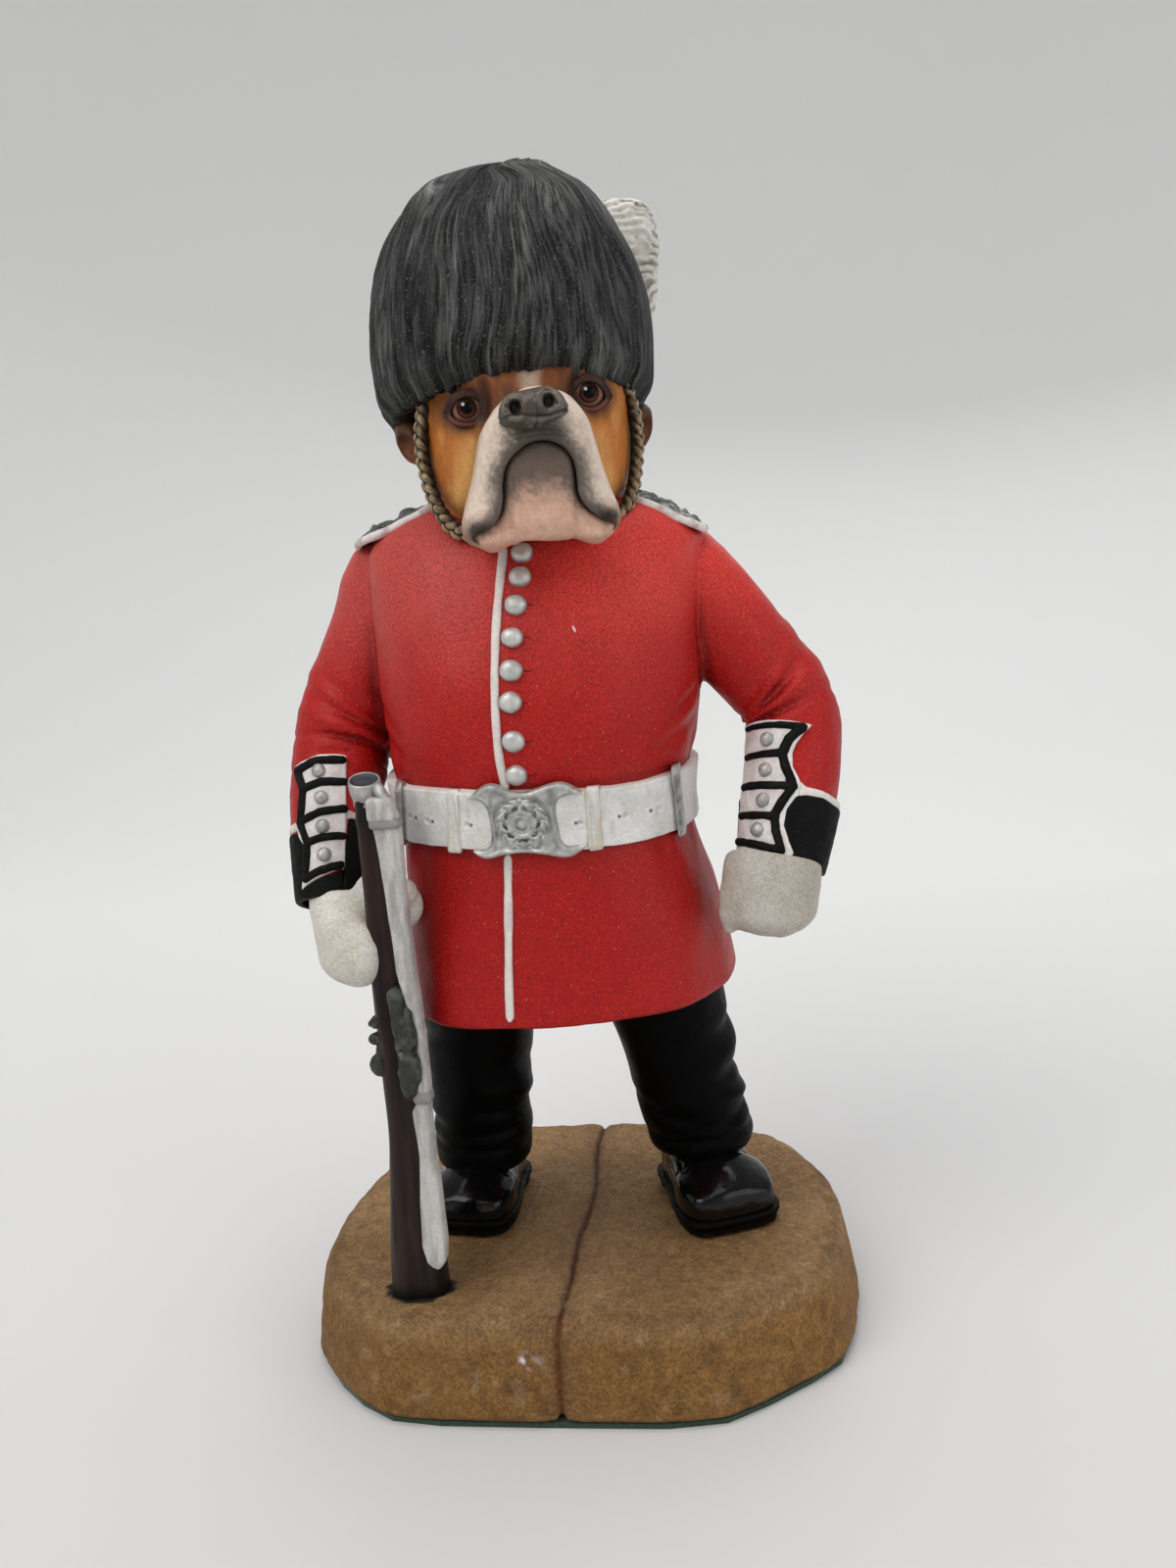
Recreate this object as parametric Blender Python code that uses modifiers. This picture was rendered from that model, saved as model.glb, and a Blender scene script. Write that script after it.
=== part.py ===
"""Painted resin dog figurine: a flat-faced dog in a ceremonial guard's dress.

The dog stands on a paving-stone base with a felt pad under it.  It wears a
bearskin cap with a side plume and chin chain, a red tunic with a white belt,
black trousers and boots, and holds a rifle by its right side.

Frame: +Z up, the dog looks along -Y, its left arm is at +X.  The origin is the
middle of the underside, so the figurine stands on Z = 0.  Every shape below is
worked out in millimetres and scaled to metres once, when its mesh is made.
"""
import math

import bmesh
import bpy
from mathutils import Matrix, Vector
from mathutils.bvhtree import BVHTree

MM = 0.001

# ------------------------------------------------------------ driving sizes
GAP = 0.3                    # clearance between neighbouring pieces

FELT_T = 0.7                 # felt pad
BASE_TOP = 14.0              # height of the paving surface
# base at the table, round from the dog's right by the front; its corners are unequal
BASE_EDGE = [(-39.0, -3.0), (-38.4, -11.5), (-36.8, -16.6), (-32.8, -22.4),
             (-28.8, -26.6), (-24.0, -29.8), (-17.0, -30.9), (-1.0, -31.3),
             (13.0, -31.4), (20.6, -30.2), (26.5, -26.2), (31.8, -21.8),
             (36.0, -17.4), (38.2, -9.5), (39.0, 0.0), (38.4, 8.0), (36.2, 15.0),
             (31.8, 22.4), (25.0, 28.6), (17.0, 31.4), (6.0, 32.2), (-10.0, 32.2),
             (-22.0, 31.2), (-30.0, 27.0), (-35.6, 18.0), (-38.6, 8.0)]
PEG_R, PEG_Z = 2.0, 8.0      # peg under each boot and how deep it reaches

SOLE_T = 2.3                 # boot sole
ANKLE_Z = 22.0               # top of the boots, bottom of the trousers
SPIGOT_R, SPIGOT_Z = 3.6, 31.0
FOOT = {"right": (-15.4, 5.5, -8.0), "left": (17.2, 5.0, 23.0)}   # x, y, splay

HEM_Z, NECK_Z = 51.0, 117.4  # tunic from hem to neck
TUNIC_CY, TUNIC_N = -1.5, 2.35
BELT_Z0, BELT_Z1, BELT_T = 74.1, 81.9, 1.1
# height, middle x, half width, front y, back y
TUNIC = [
    (51.0, 1.2, 22.5, -21.6, 17.6),
    (56.5, 1.0, 21.9, -21.0, 17.0),
    (64.0, 0.5, 21.2, -20.3, 16.0),
    (71.0, -0.4, 20.0, -19.6, 15.0),
    (76.0, -0.7, 19.5, -19.4, 14.6),
    (81.0, -0.6, 19.9, -20.2, 14.8),
    (87.0, -0.1, 20.9, -21.2, 15.2),
    (94.0, 0.2, 21.6, -20.9, 15.6),
    (101.0, 0.2, 21.8, -19.3, 15.8),
    (107.0, 0.2, 22.0, -17.2, 15.0),
    (111.5, 0.2, 21.6, -14.8, 13.4),
    (114.2, 0.3, 19.4, -12.6, 11.8),
    (116.2, 0.4, 15.6, -10.6, 10.4),
    (117.4, 0.4, 11.6, -9.0, 9.2),
]
COLLAR_A, COLLAR_B, COLLAR_Z0, COLLAR_Z1 = 13.4, 11.8, 115.6, 119.4

# sleeve centre lines with radii
SLEEVE = {
    "right": [((-15.5, 1.5, 108.0), 5.6), ((-18.9, 1.2, 106.6), 6.4),
              ((-21.6, 0.8, 102.5), 6.7), ((-24.2, 0.1, 97.0), 6.7),
              ((-26.9, -0.9, 91.0), 6.6), ((-28.5, -2.6, 86.0), 6.4),
              ((-28.9, -5.8, 80.5), 6.0), ((-29.0, -9.2, 74.5), 5.5),
              ((-29.0, -13.5, 67.0), 5.1)],
    "left": [((15.5, 1.5, 108.0), 5.6), ((18.9, 1.2, 106.6), 6.4),
             ((22.0, 0.8, 102.5), 6.8), ((26.1, 0.4, 97.0), 6.8),
             ((30.9, -0.2, 91.2), 6.6), ((33.4, -1.8, 86.0), 6.4),
             ((33.2, -4.6, 80.5), 6.2), ((32.2, -7.3, 74.6), 6.0),
             ((30.8, -10.1, 68.2), 5.7)],
}
CUFF_T = 0.8
SPIGOT_ARM_R = 3.0
# cuff flash: first and last share of the sleeve's length, first and last angle
FLASH = {"right": (0.64, 0.955, -32.0, 33.0), "left": (0.63, 0.985, -50.0, 2.0)}

HEAD_YAW = 12.0              # the head looks a little to the dog's left
HEAD_X = 0.3
SKULL = ((0.0, -1.0, 127.0), (14.2, 17.0, 12.5))
CHEEKS = ((0.0, -6.0, 120.5), (12.6, 10.5, 8.5))
NECK = ((0.0, 0.5, 116.5), (9.0, 8.4, 9.0))
BRIDGE = ((0.0, -18.5, 125.4), (6.2, 8.6, 4.4))
FLEW = ((6.2, -19.0, 119.4), (3.0, 6.4, 6.6))
JAW = ((0.0, -19.3, 117.4), (6.2, 5.8, 5.2))
NOSE = ((0.0, -26.9, 127.5), (4.2, 2.6, 2.5))
EYE_AT, EYE_R = (7.7, -14.8, 128.8), 2.1
EAR = ((14.9, 1.0, 124.0), (2.6, 4.2, 4.8))
# bearskin: height, half width, half depth
BEARSKIN = [(122.0, 17.3, 17.4), (128.0, 18.2, 18.4), (134.0, 18.7, 19.0),
            (140.0, 18.8, 19.2), (146.0, 18.0, 18.5), (151.0, 15.8, 16.4),
            (155.0, 12.2, 12.8), (157.6, 8.0, 8.4), (158.9, 3.6, 3.8)]
RIM_Z, RIM_SLOPE = 127.8, -0.247
PLUME = ((17.6, 6.0, 147.6), (3.4, 4.2, 7.6))
CHAIN_R = 1.15

# rifle: height, middle x, middle y, half width, half depth
STOCK = [(13.0, -20.6, -20.4, 3.9, 2.9), (18.0, -20.5, -20.4, 3.7, 2.8),
         (30.0, -20.1, -20.4, 2.9, 2.5), (40.0, -19.6, -20.4, 2.6, 2.4),
         (46.0, -19.2, -20.4, 2.5, 2.4), (58.0, -19.2, -20.4, 2.4, 2.3),
         (70.0, -19.4, -20.4, 2.2, 2.2), (80.0, -19.9, -20.4, 1.9, 1.9)]
BUTT_Z = 13.0

# front buttons: x and height
BUTTONS = [(1.0, 110.7), (0.7, 107.9), (0.1, 104.6), (-0.5, 100.8),
           (-0.8, 96.9), (-1.1, 93.1), (-1.1, 88.3), (-1.2, 84.0)]
BUTTON_R, BUTTON_H = 1.2, 0.9
CUFF_BUTTON_R, CUFF_BUTTON_H = 1.0, 0.7

# ------------------------------------------------------------------- set-up
for old in list(bpy.data.objects):
    bpy.data.objects.remove(old, do_unlink=True)

PARTS = bpy.data.collections.new("dog_figurine")
CUTTERS = bpy.data.collections.new("cutters")
bpy.context.scene.collection.children.link(PARTS)
bpy.context.scene.collection.children.link(CUTTERS)

COLOURS = {   # base colour, roughness, metallic
    "felt": ((0.05, 0.16, 0.06), 0.95, 0.0),
    "stone": ((0.46, 0.33, 0.16), 0.75, 0.0),
    "black": ((0.012, 0.012, 0.013), 0.28, 0.0),
    "trouser": ((0.016, 0.016, 0.018), 0.45, 0.0),
    "red": ((0.42, 0.035, 0.03), 0.6, 0.0),
    "white": ((0.78, 0.75, 0.68), 0.55, 0.0),
    "silver": ((0.55, 0.54, 0.51), 0.35, 0.9),
    "dark": ((0.06, 0.065, 0.065), 0.55, 0.0),
    "tan": ((0.48, 0.22, 0.08), 0.6, 0.0),
    "pink": ((0.62, 0.42, 0.36), 0.6, 0.0),
    "nose": ((0.025, 0.025, 0.028), 0.35, 0.0),
    "eye": ((0.05, 0.02, 0.012), 0.12, 0.0),
    "fur": ((0.045, 0.043, 0.043), 0.7, 0.0),
    "gold": ((0.30, 0.24, 0.12), 0.5, 0.5),
    "walnut": ((0.10, 0.045, 0.022), 0.5, 0.0),
}


def paint(obj, colour):
    rgb, rough, metal = COLOURS[colour]
    mat = bpy.data.materials.new(obj.name + "_paint")
    mat.use_nodes = True
    bsdf = mat.node_tree.nodes["Principled BSDF"]
    bsdf.inputs["Base Color"].default_value = (*rgb, 1.0)
    bsdf.inputs["Roughness"].default_value = rough
    bsdf.inputs["Metallic"].default_value = metal
    obj.data.materials.clear()
    obj.data.materials.append(mat)


def make(name, bm, colour=None):
    """Turn a millimetre bmesh into an object in metres."""
    bmesh.ops.recalc_face_normals(bm, faces=bm.faces[:])
    if bm.calc_volume(signed=True) < 0:
        bmesh.ops.reverse_faces(bm, faces=bm.faces[:])
    bmesh.ops.scale(bm, vec=(MM, MM, MM), verts=bm.verts[:])
    me = bpy.data.meshes.new(name)
    bm.to_mesh(me)
    bm.free()
    obj = bpy.data.objects.new(name, me)
    if colour:
        PARTS.objects.link(obj)
        paint(obj, colour)
    else:
        CUTTERS.objects.link(obj)
        obj.hide_render = True
        obj.display_type = 'WIRE'
    return obj


def clean(obj):
    """Weld after a cut and keep the one main body."""
    bm = bmesh.new()
    bm.from_mesh(obj.data)
    bmesh.ops.remove_doubles(bm, verts=bm.verts[:], dist=3e-6)
    bmesh.ops.dissolve_degenerate(bm, edges=bm.edges[:], dist=2e-6)
    seen, groups = set(), []
    for f in bm.faces:
        if f in seen:
            continue
        stack, group = [f], []
        seen.add(f)
        while stack:
            g = stack.pop()
            group.append(g)
            for e in g.edges:
                for h in e.link_faces:
                    if h not in seen:
                        seen.add(h)
                        stack.append(h)
        groups.append(group)
    groups.sort(key=lambda g: sum(f.calc_area() for f in g))
    loose = [f for g in groups[:-1] for f in g]
    if loose:
        bmesh.ops.delete(bm, geom=loose, context='FACES')
    bmesh.ops.triangulate(bm, faces=[f for f in bm.faces if len(f.verts) > 4])
    bm.to_mesh(obj.data)
    bm.free()


def boolean(obj, cutters, op='DIFFERENCE'):
    """Cut or join with each cutter in turn, then drop the cutters."""
    for cutter in cutters:
        mod = obj.modifiers.new(op.lower(), 'BOOLEAN')
        mod.operation = op
        mod.solver = 'EXACT'
        mod.object = cutter
        dg = bpy.context.evaluated_depsgraph_get()
        dg.update()
        me = bpy.data.meshes.new_from_object(obj.evaluated_get(dg))
        obj.modifiers.clear()
        obj.data = me
        bpy.data.objects.remove(cutter, do_unlink=True)
    clean(obj)
    return obj


# ------------------------------------------------------------------- shapes
def ring_loft(rings):
    """Closed skin through rings of equal length, with a fan at each end."""
    bm = bmesh.new()
    rows = [[bm.verts.new(p) for p in ring] for ring in rings]
    n = len(rows[0])
    for lo, hi in zip(rows, rows[1:]):
        for i in range(n):
            j = (i + 1) % n
            bm.faces.new((lo[i], lo[j], hi[j], hi[i]))
    for row in (rows[0], rows[-1]):
        mid = bm.verts.new(sum((v.co for v in row), Vector()) / n)
        for i in range(n):
            bm.faces.new((row[i], row[(i + 1) % n], mid))
    return bm


def oval(cx, cy, z, a, front, back, power, seg):
    """Flat ring: half width a, its own depth in front of and behind cy."""
    ring = []
    for i in range(seg):
        t = 2 * math.pi * i / seg
        c, s = math.cos(t), math.sin(t)
        x = a * math.copysign(abs(c) ** (2 / power), c)
        y = (back if s > 0 else front) * math.copysign(abs(s) ** (2 / power), s)
        ring.append(Vector((cx + x, cy + y, z)))
    return ring


def ellipsoid(spec, grow=0.0, seg=14, rings=9, turn=None):
    centre, radii = spec
    bm = bmesh.new()
    bmesh.ops.create_uvsphere(bm, u_segments=seg, v_segments=rings, radius=1.0)
    m = Matrix.Translation(Vector(centre)) @ (turn or Matrix()) @ Matrix.Diagonal(
        Vector((radii[0] + grow, radii[1] + grow, radii[2] + grow, 1.0)))
    bm.transform(m)
    return bm


def cylinder(x, y, z0, z1, r, seg=16):
    bm = bmesh.new()
    bmesh.ops.create_cone(bm, cap_ends=True, segments=seg, radius1=r, radius2=r,
                          depth=z1 - z0)
    bm.transform(Matrix.Translation(Vector((x, y, 0.5 * (z0 + z1)))))
    return bm


def smooth_path(points, count):
    """Evenly placed points on a smooth curve through the given ones."""
    pts = [Vector(p) for p in points]
    pts = [2 * pts[0] - pts[1]] + pts + [2 * pts[-1] - pts[-2]]
    dense = []
    for k in range(1, len(pts) - 2):
        p0, p1, p2, p3 = pts[k - 1:k + 3]
        for i in range(16):
            t = i / 16
            dense.append(0.5 * (2 * p1 + (p2 - p0) * t
                                + (2 * p0 - 5 * p1 + 4 * p2 - p3) * t * t
                                + (3 * p1 - p0 - 3 * p2 + p3) * t ** 3))
    dense.append(pts[-2].copy())
    run = [0.0]
    for a, b in zip(dense, dense[1:]):
        run.append(run[-1] + (b.resized(3) - a.resized(3)).length)
    out, k = [], 0
    for i in range(count):
        want = run[-1] * i / (count - 1)
        while k < len(run) - 2 and run[k + 1] < want:
            k += 1
        f = (want - run[k]) / max(run[k + 1] - run[k], 1e-9)
        out.append(dense[k].lerp(dense[k + 1], min(max(f, 0.0), 1.0)))
    return out


def tube(points, radii, resolution=3):
    """Round bar along points, from a bevelled curve with filled caps."""
    cu = bpy.data.curves.new("route", 'CURVE')
    cu.dimensions = '3D'
    cu.bevel_depth = MM
    cu.bevel_resolution = resolution
    cu.use_fill_caps = True
    sp = cu.splines.new('POLY')
    sp.points.add(len(points) - 1)
    for p, co, r in zip(sp.points, points, radii):
        p.co = (co[0] * MM, co[1] * MM, co[2] * MM, 1.0)
        p.radius = r
    obj = bpy.data.objects.new("route", cu)
    CUTTERS.objects.link(obj)
    dg = bpy.context.evaluated_depsgraph_get()
    dg.update()
    me = bpy.data.meshes.new_from_object(obj.evaluated_get(dg))
    bm = bmesh.new()
    bm.from_mesh(me)
    bmesh.ops.scale(bm, vec=(1 / MM, 1 / MM, 1 / MM), verts=bm.verts[:])
    bmesh.ops.remove_doubles(bm, verts=bm.verts[:], dist=0.001)
    bpy.data.objects.remove(obj, do_unlink=True)
    bpy.data.curves.remove(cu)
    return bm


def plate(points, thick):
    """Closed plate from a grid of points, thickened away from its face."""
    bm = bmesh.new()
    grid = [[bm.verts.new(p) for p in row] for row in points]
    for lo, hi in zip(grid, grid[1:]):
        for i in range(len(lo) - 1):
            bm.faces.new((lo[i], lo[i + 1], hi[i + 1], hi[i]))
    me = bpy.data.meshes.new("sheet")
    bmesh.ops.scale(bm, vec=(MM, MM, MM), verts=bm.verts[:])
    bm.to_mesh(me)
    bm.free()
    obj = bpy.data.objects.new("sheet", me)
    CUTTERS.objects.link(obj)
    mod = obj.modifiers.new("thickness", 'SOLIDIFY')
    mod.thickness = thick * MM
    mod.offset = 1.0
    dg = bpy.context.evaluated_depsgraph_get()
    dg.update()
    solid = bpy.data.meshes.new_from_object(obj.evaluated_get(dg))
    bm = bmesh.new()
    bm.from_mesh(solid)
    bmesh.ops.scale(bm, vec=(1 / MM, 1 / MM, 1 / MM), verts=bm.verts[:])
    bpy.data.objects.remove(obj, do_unlink=True)
    return bm


def flat_cut(bm, point, normal):
    """Remove what lies on the normal's side of a plane and close the cut."""
    geom = bm.verts[:] + bm.edges[:] + bm.faces[:]
    res = bmesh.ops.bisect_plane(bm, geom=geom, plane_co=point, plane_no=normal,
                                 clear_outer=True, dist=1e-5)
    edges = [e for e in res["geom_cut"] if isinstance(e, bmesh.types.BMEdge)]
    bmesh.ops.holes_fill(bm, edges=edges, sides=0)
    bmesh.ops.triangulate(bm, faces=[f for f in bm.faces if len(f.verts) > 4])
    return bm


def dome(centre, normal, r, h, seg=10):
    """Button: flat back on the given point, domed face along the normal."""
    bm = bmesh.new()
    bmesh.ops.create_uvsphere(bm, u_segments=seg, v_segments=4, radius=1.0)
    bm.transform(Matrix.Diagonal(Vector((r, r, h, 1.0))))
    flat_cut(bm, (0, 0, 0), (0, 0, -1))
    turn = Vector((0, 0, 1)).rotation_difference(Vector(normal)).to_matrix()
    bm.transform(Matrix.Translation(Vector(centre)) @ turn.to_4x4())
    return bm


# ------------------------------------------------------------ felt and base
def base_ring(z, inset):
    """Outline of the base at height z; the walls lean in, most at the front."""
    return [Vector((x * (1 - inset / 39.0),
                    y * (1 - inset * (1.25 if y < 0 else 0.8) / 31.4), z))
            for x, y in BASE_EDGE]


make("felt_pad", ring_loft([base_ring(0.0, 0.5), base_ring(FELT_T, 0.5)]), "felt")

base = make("base_block", ring_loft(
    [base_ring(z, inset) for z, inset in (
        (FELT_T + GAP, 0.0), (6.0, 0.8), (10.4, 1.8), (12.4, 2.6),
        (13.5, 3.7), (BASE_TOP, 5.2))]), "stone")
crack = smooth_path([(0.1, 33.0, 14.1), (-0.3, 15.0, 14.1), (0.3, 0.0, 14.1),
                     (-0.4, -18.0, 14.1), (-0.5, -25.2, 13.7),
                     (-0.8, -28.4, 11.0), (-0.9, -32.4, 1.2)], 18)
cuts = [make("crack", tube(crack, [0.55] * 18, 1))]
for side, (fx, fy, splay) in FOOT.items():
    cuts.append(make("peg_hole", cylinder(fx, fy, PEG_Z - 0.5, 20.0, PEG_R + GAP)))
cx, cy = STOCK[0][1], STOCK[0][2]
cuts.append(make("butt_hole", ring_loft(
    [oval(cx, cy, z, STOCK[0][3] + GAP, STOCK[0][4] + GAP, STOCK[0][4] + GAP, 4.0, 20)
     for z in (BUTT_Z - GAP, 18.0)])))
boolean(base, cuts)


# ------------------------------------------------------------ boots and legs
def foot_matrix(side):
    fx, fy, splay = FOOT[side]
    return Matrix.Translation((fx, fy, 0)) @ Matrix.Rotation(
        math.radians(splay), 4, 'Z')


LEG = {   # height, middle x, middle y, radius
    "right": [(ANKLE_Z + GAP, -15.5, 5.4, 6.7), (25.0, -15.5, 5.0, 7.2),
              (33.0, -15.0, 3.8, 7.4), (42.0, -14.0, 2.4, 8.0),
              (50.0, -12.3, 1.0, 8.7), (57.0, -11.2, 0.6, 8.4)],
    "left": [(ANKLE_Z + GAP, 16.9, 5.0, 7.5), (25.0, 16.6, 4.6, 8.1),
             (33.0, 15.0, 3.6, 8.0), (42.0, 14.2, 2.2, 8.3),
             (50.0, 12.9, 1.0, 9.0), (57.0, 11.8, 0.6, 8.6)],
}


def leg_solid(side, grow=0.0):
    rows = LEG[side]
    dense = smooth_path([Vector((r[1], r[2], r[0], r[3])) for r in rows], 8)
    rings = []
    for k, p in enumerate(dense):
        z = p[2] + (grow if k == len(dense) - 1 else 0.0)
        rings.append(oval(p[0], p[1], z, p[3] + grow, p[3] + grow, p[3] + grow,
                          2.0, 16))
    return ring_loft(rings)


for side in ("right", "left"):
    m = foot_matrix(side)
    fx, fy, splay = FOOT[side]
    sole_z = BASE_TOP + GAP
    bm = ring_loft([oval(0, -3.4, z, a, 10.4 * a / 6.6, 10.2 * a / 6.6, 2.7, 24)
                    for z, a in ((sole_z, 6.4), (sole_z + 0.4, 6.6),
                                 (sole_z + SOLE_T, 6.6))])
    bm.transform(m)
    sole = make(side + "_boot_sole", bm, "black")
    boolean(sole, [make("peg", cylinder(fx, fy, PEG_Z, sole_z + 1.0, PEG_R))], 'UNION')

    top = sole_z + SOLE_T + GAP
    bm = ellipsoid(((0, -5.8, top - 0.5), (6.1, 7.4, 5.4)))
    flat_cut(bm, (0, 0, top), (0, 0, -1))
    bm.transform(m)
    boot = make(side + "_boot_upper", bm, "black")
    ankle = ring_loft([oval(0, 0, z, r, r, r, 2.0, 20)
                       for z, r in ((top, 5.4), (top + 2.5, 5.5), (ANKLE_Z, 5.6))])
    ankle.transform(m)
    boolean(boot, [make("ankle", ankle),
                   make("spigot", cylinder(fx, fy, ANKLE_Z - 1.0, SPIGOT_Z, SPIGOT_R))],
            'UNION')
    leg = make(side + "_trouser_leg", leg_solid(side), "trouser")
    boolean(leg, [make("socket", cylinder(fx, fy, ANKLE_Z - 2.0, SPIGOT_Z + GAP,
                                          SPIGOT_R + GAP))])


# -------------------------------------------------------------------- tunic
def tunic_at(z):
    """Middle, half width, front depth and back depth at a height."""
    rows = TUNIC
    z = min(max(z, rows[0][0]), rows[-1][0])
    k = 0
    while k < len(rows) - 2 and rows[k + 1][0] < z:
        k += 1
    a, b = rows[k], rows[k + 1]
    h = b[0] - a[0]
    t = (z - a[0]) / h
    before = rows[k - 1] if k else a
    after = rows[k + 2] if k + 2 < len(rows) else b
    out = []
    for j in range(1, 5):
        m0 = (b[j] - before[j]) / (b[0] - before[0]) * h
        m1 = (after[j] - a[j]) / (after[0] - a[0]) * h
        out.append((2 * t ** 3 - 3 * t ** 2 + 1) * a[j] + (t ** 3 - 2 * t ** 2 + t) * m0
                   + (3 * t ** 2 - 2 * t ** 3) * b[j] + (t ** 3 - t ** 2) * m1)
    return out[0], out[1], TUNIC_CY - out[2], out[3] - TUNIC_CY


def tunic_point(deg, z, out=0.0):
    """Point of the tunic's skin: -90 is the front middle, 0 the dog's left."""
    cx, a, front, back = tunic_at(z)
    c, s = math.cos(math.radians(deg)), math.sin(math.radians(deg))
    depth = (back if s > 0 else front) + out
    return Vector((cx + (a + out) * math.copysign(abs(c) ** (2 / TUNIC_N), c),
                   TUNIC_CY + depth * math.copysign(abs(s) ** (2 / TUNIC_N), s), z))


def tunic_front(x, z, out=0.0):
    """Point on the tunic's front at a given x."""
    cx, a, front, back = tunic_at(z)
    u = min(abs((x - cx) / (a + out)), 0.999)
    return Vector((x, TUNIC_CY - (front + out) * (1 - u ** TUNIC_N) ** (1 / TUNIC_N), z))


def tunic_normal(x, z):
    e = 0.4
    dx = tunic_front(x + e, z) - tunic_front(x - e, z)
    dz = tunic_front(x, z + e) - tunic_front(x, z - e)
    return dx.cross(dz).normalized()


def tunic_solid(grow=0.0, seg=28):
    rings = []
    levels = [HEM_Z, 57, 65, 71, 76, 81, 87, 94, 101, 107, 111.5, 114.2, 116.2, 117.4]
    for z in levels:
        cx, a, front, back = tunic_at(z)
        lift = grow * min(max((z - 85.0) / 30.0, -1.0), 1.0)
        rings.append(oval(cx, TUNIC_CY, z + lift, a + grow, front + grow,
                          back + grow, TUNIC_N, seg))
    return ring_loft(rings)


def arm_spigot(side, grow=0.0):
    x0, x1 = (14.0, 25.0) if side == "left" else (-25.0, -14.0)
    bm = cylinder(0, 0, x0 - grow, x1 + grow, SPIGOT_ARM_R + grow, 16)
    bm.transform(Matrix.Translation((0, 1.0, 106.0)) @ Matrix.Rotation(math.pi / 2, 4, 'Y'))
    return bm


HEAD = Matrix.Translation((HEAD_X, 0, 0)) @ Matrix.Rotation(math.radians(HEAD_YAW), 4, 'Z')


def head_piece(spec, grow=0.0, seg=14, rings=9, mirror=False):
    (x, y, z), r = spec
    bm = ellipsoid(((-x if mirror else x, y, z), r), grow, seg, rings)
    bm.transform(HEAD)
    return bm


HEAD_MESH = [(SKULL, 20, 12), (CHEEKS, 16, 10), (NECK, 12, 7)]


def head_cutters(grow=GAP):
    return [make("cut", head_piece(s, grow, n, k)) for s, n, k in HEAD_MESH]


tunic = make("tunic_body", tunic_solid(), "red")
boolean(tunic, [make("leg_socket", leg_solid("right", GAP)),
                make("leg_socket", leg_solid("left", GAP)),
                make("arm_socket", arm_spigot("right", GAP)),
                make("arm_socket", arm_spigot("left", GAP))] + head_cutters())

# front piping, standing just off the cloth
for name, pts in (("front_piping_upper", [(-1.1, 110.9), (-2.1, 104.6), (-2.8, 97.0),
                                          (-3.1, 89.0), (-3.2, 82.5)]),
                  ("front_piping_lower", [(-3.5, 73.4), (-4.0, 64.0), (-4.6, 57.0),
                                          (-4.9, 51.6)])):
    path = [tunic_front(x, z, GAP + 0.65) for x, z in pts]
    path = smooth_path(path, 13)
    path = [tunic_front(p.x, p.z, GAP + 0.65) for p in path]
    make(name, tube(path, [0.5] * 13, 1), "white")

for i, (x, z) in enumerate(BUTTONS):
    n = tunic_normal(x, z)
    make("front_button_%d" % (i + 1),
         dome(tunic_front(x, z) + n * GAP, n, BUTTON_R, BUTTON_H), "silver")


# ---------------------------------------------------------------------- belt
def band(deg0, deg1, z0, z1, out, thick, cols, rows=3):
    """Curved strip that follows the tunic between two angles."""
    pts = [[tunic_point(deg0 + (deg1 - deg0) * i / cols, z0 + (z1 - z0) * k / rows, out)
            for i in range(cols + 1)] for k in range(rows + 1)]
    return plate(pts, thick)


def belt_ring(z, out, seg=36):
    return [tunic_point(360.0 * i / seg, z, out) for i in range(seg)]


bm = bmesh.new()
levels = [BELT_Z0 + (BELT_Z1 - BELT_Z0) * k / 2 for k in range(3)]
loops = ([belt_ring(z, GAP + BELT_T) for z in levels]
         + [belt_ring(z, GAP) for z in reversed(levels)])
loops = [[bm.verts.new(p) for p in loop] for loop in loops]
for lo, hi in zip(loops, loops[1:] + loops[:1]):
    for i in range(len(lo)):
        j = (i + 1) % len(lo)
        bm.faces.new((lo[i], lo[j], hi[j], hi[i]))
make("belt", bm, "white")

# buckle plate: an hourglass with rounded ends, curved to the belly
BUCKLE_X, BUCKLE_HALF_W = -0.6, 6.9
pts = []
for k in range(4):
    row = []
    for i in range(13):
        u = -1 + 2 * i / 12
        half = (4.55 - 0.75 * math.cos(u * math.pi)) * math.sqrt(1 - 0.80 * abs(u) ** 8)
        z = 0.5 * (BELT_Z0 + BELT_Z1) + 0.1 + half * (-1 + 2 * k / 3)
        row.append(tunic_front(BUCKLE_X + BUCKLE_HALF_W * u, z, GAP + BELT_T + GAP))
    pts.append(row)
make("belt_buckle", plate(pts, 0.9), "silver")
n = tunic_normal(BUCKLE_X - 0.35, 77.95)
spot = tunic_front(BUCKLE_X - 0.35, 77.95, 2 * GAP + BELT_T + 0.9) + n * (GAP + 0.05)
profile = [(0.2, 0.9), (0.55, 0.75), (0.75, 0.35), (1.7, 0.35), (1.95, 0.75),
           (2.5, 0.85), (2.95, 0.6), (3.05, 0.0)]
bm = ring_loft([oval(0, 0, z, r, r, r, 2.0, 16) for r, z in profile])
turn = Vector((0, 0, 1)).rotation_difference(n).to_matrix().to_4x4()
bm.transform(Matrix.Translation(spot) @ turn)
make("buckle_rosette", bm, "silver")

for name, d0, d1, colour in (("belt_keeper_right", -163.0, -156.0, "silver"),
                             ("belt_keeper_left", -24.0, -16.5, "silver"),
                             ("belt_slide_right", -119.0, -115.0, "white"),
                             ("belt_slide_left", -62.5, -57.0, "white")):
    make(name, band(d0, d1, BELT_Z0 - 0.5, BELT_Z1 + 0.5, 2 * GAP + BELT_T, 0.8, 3), colour)


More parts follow.
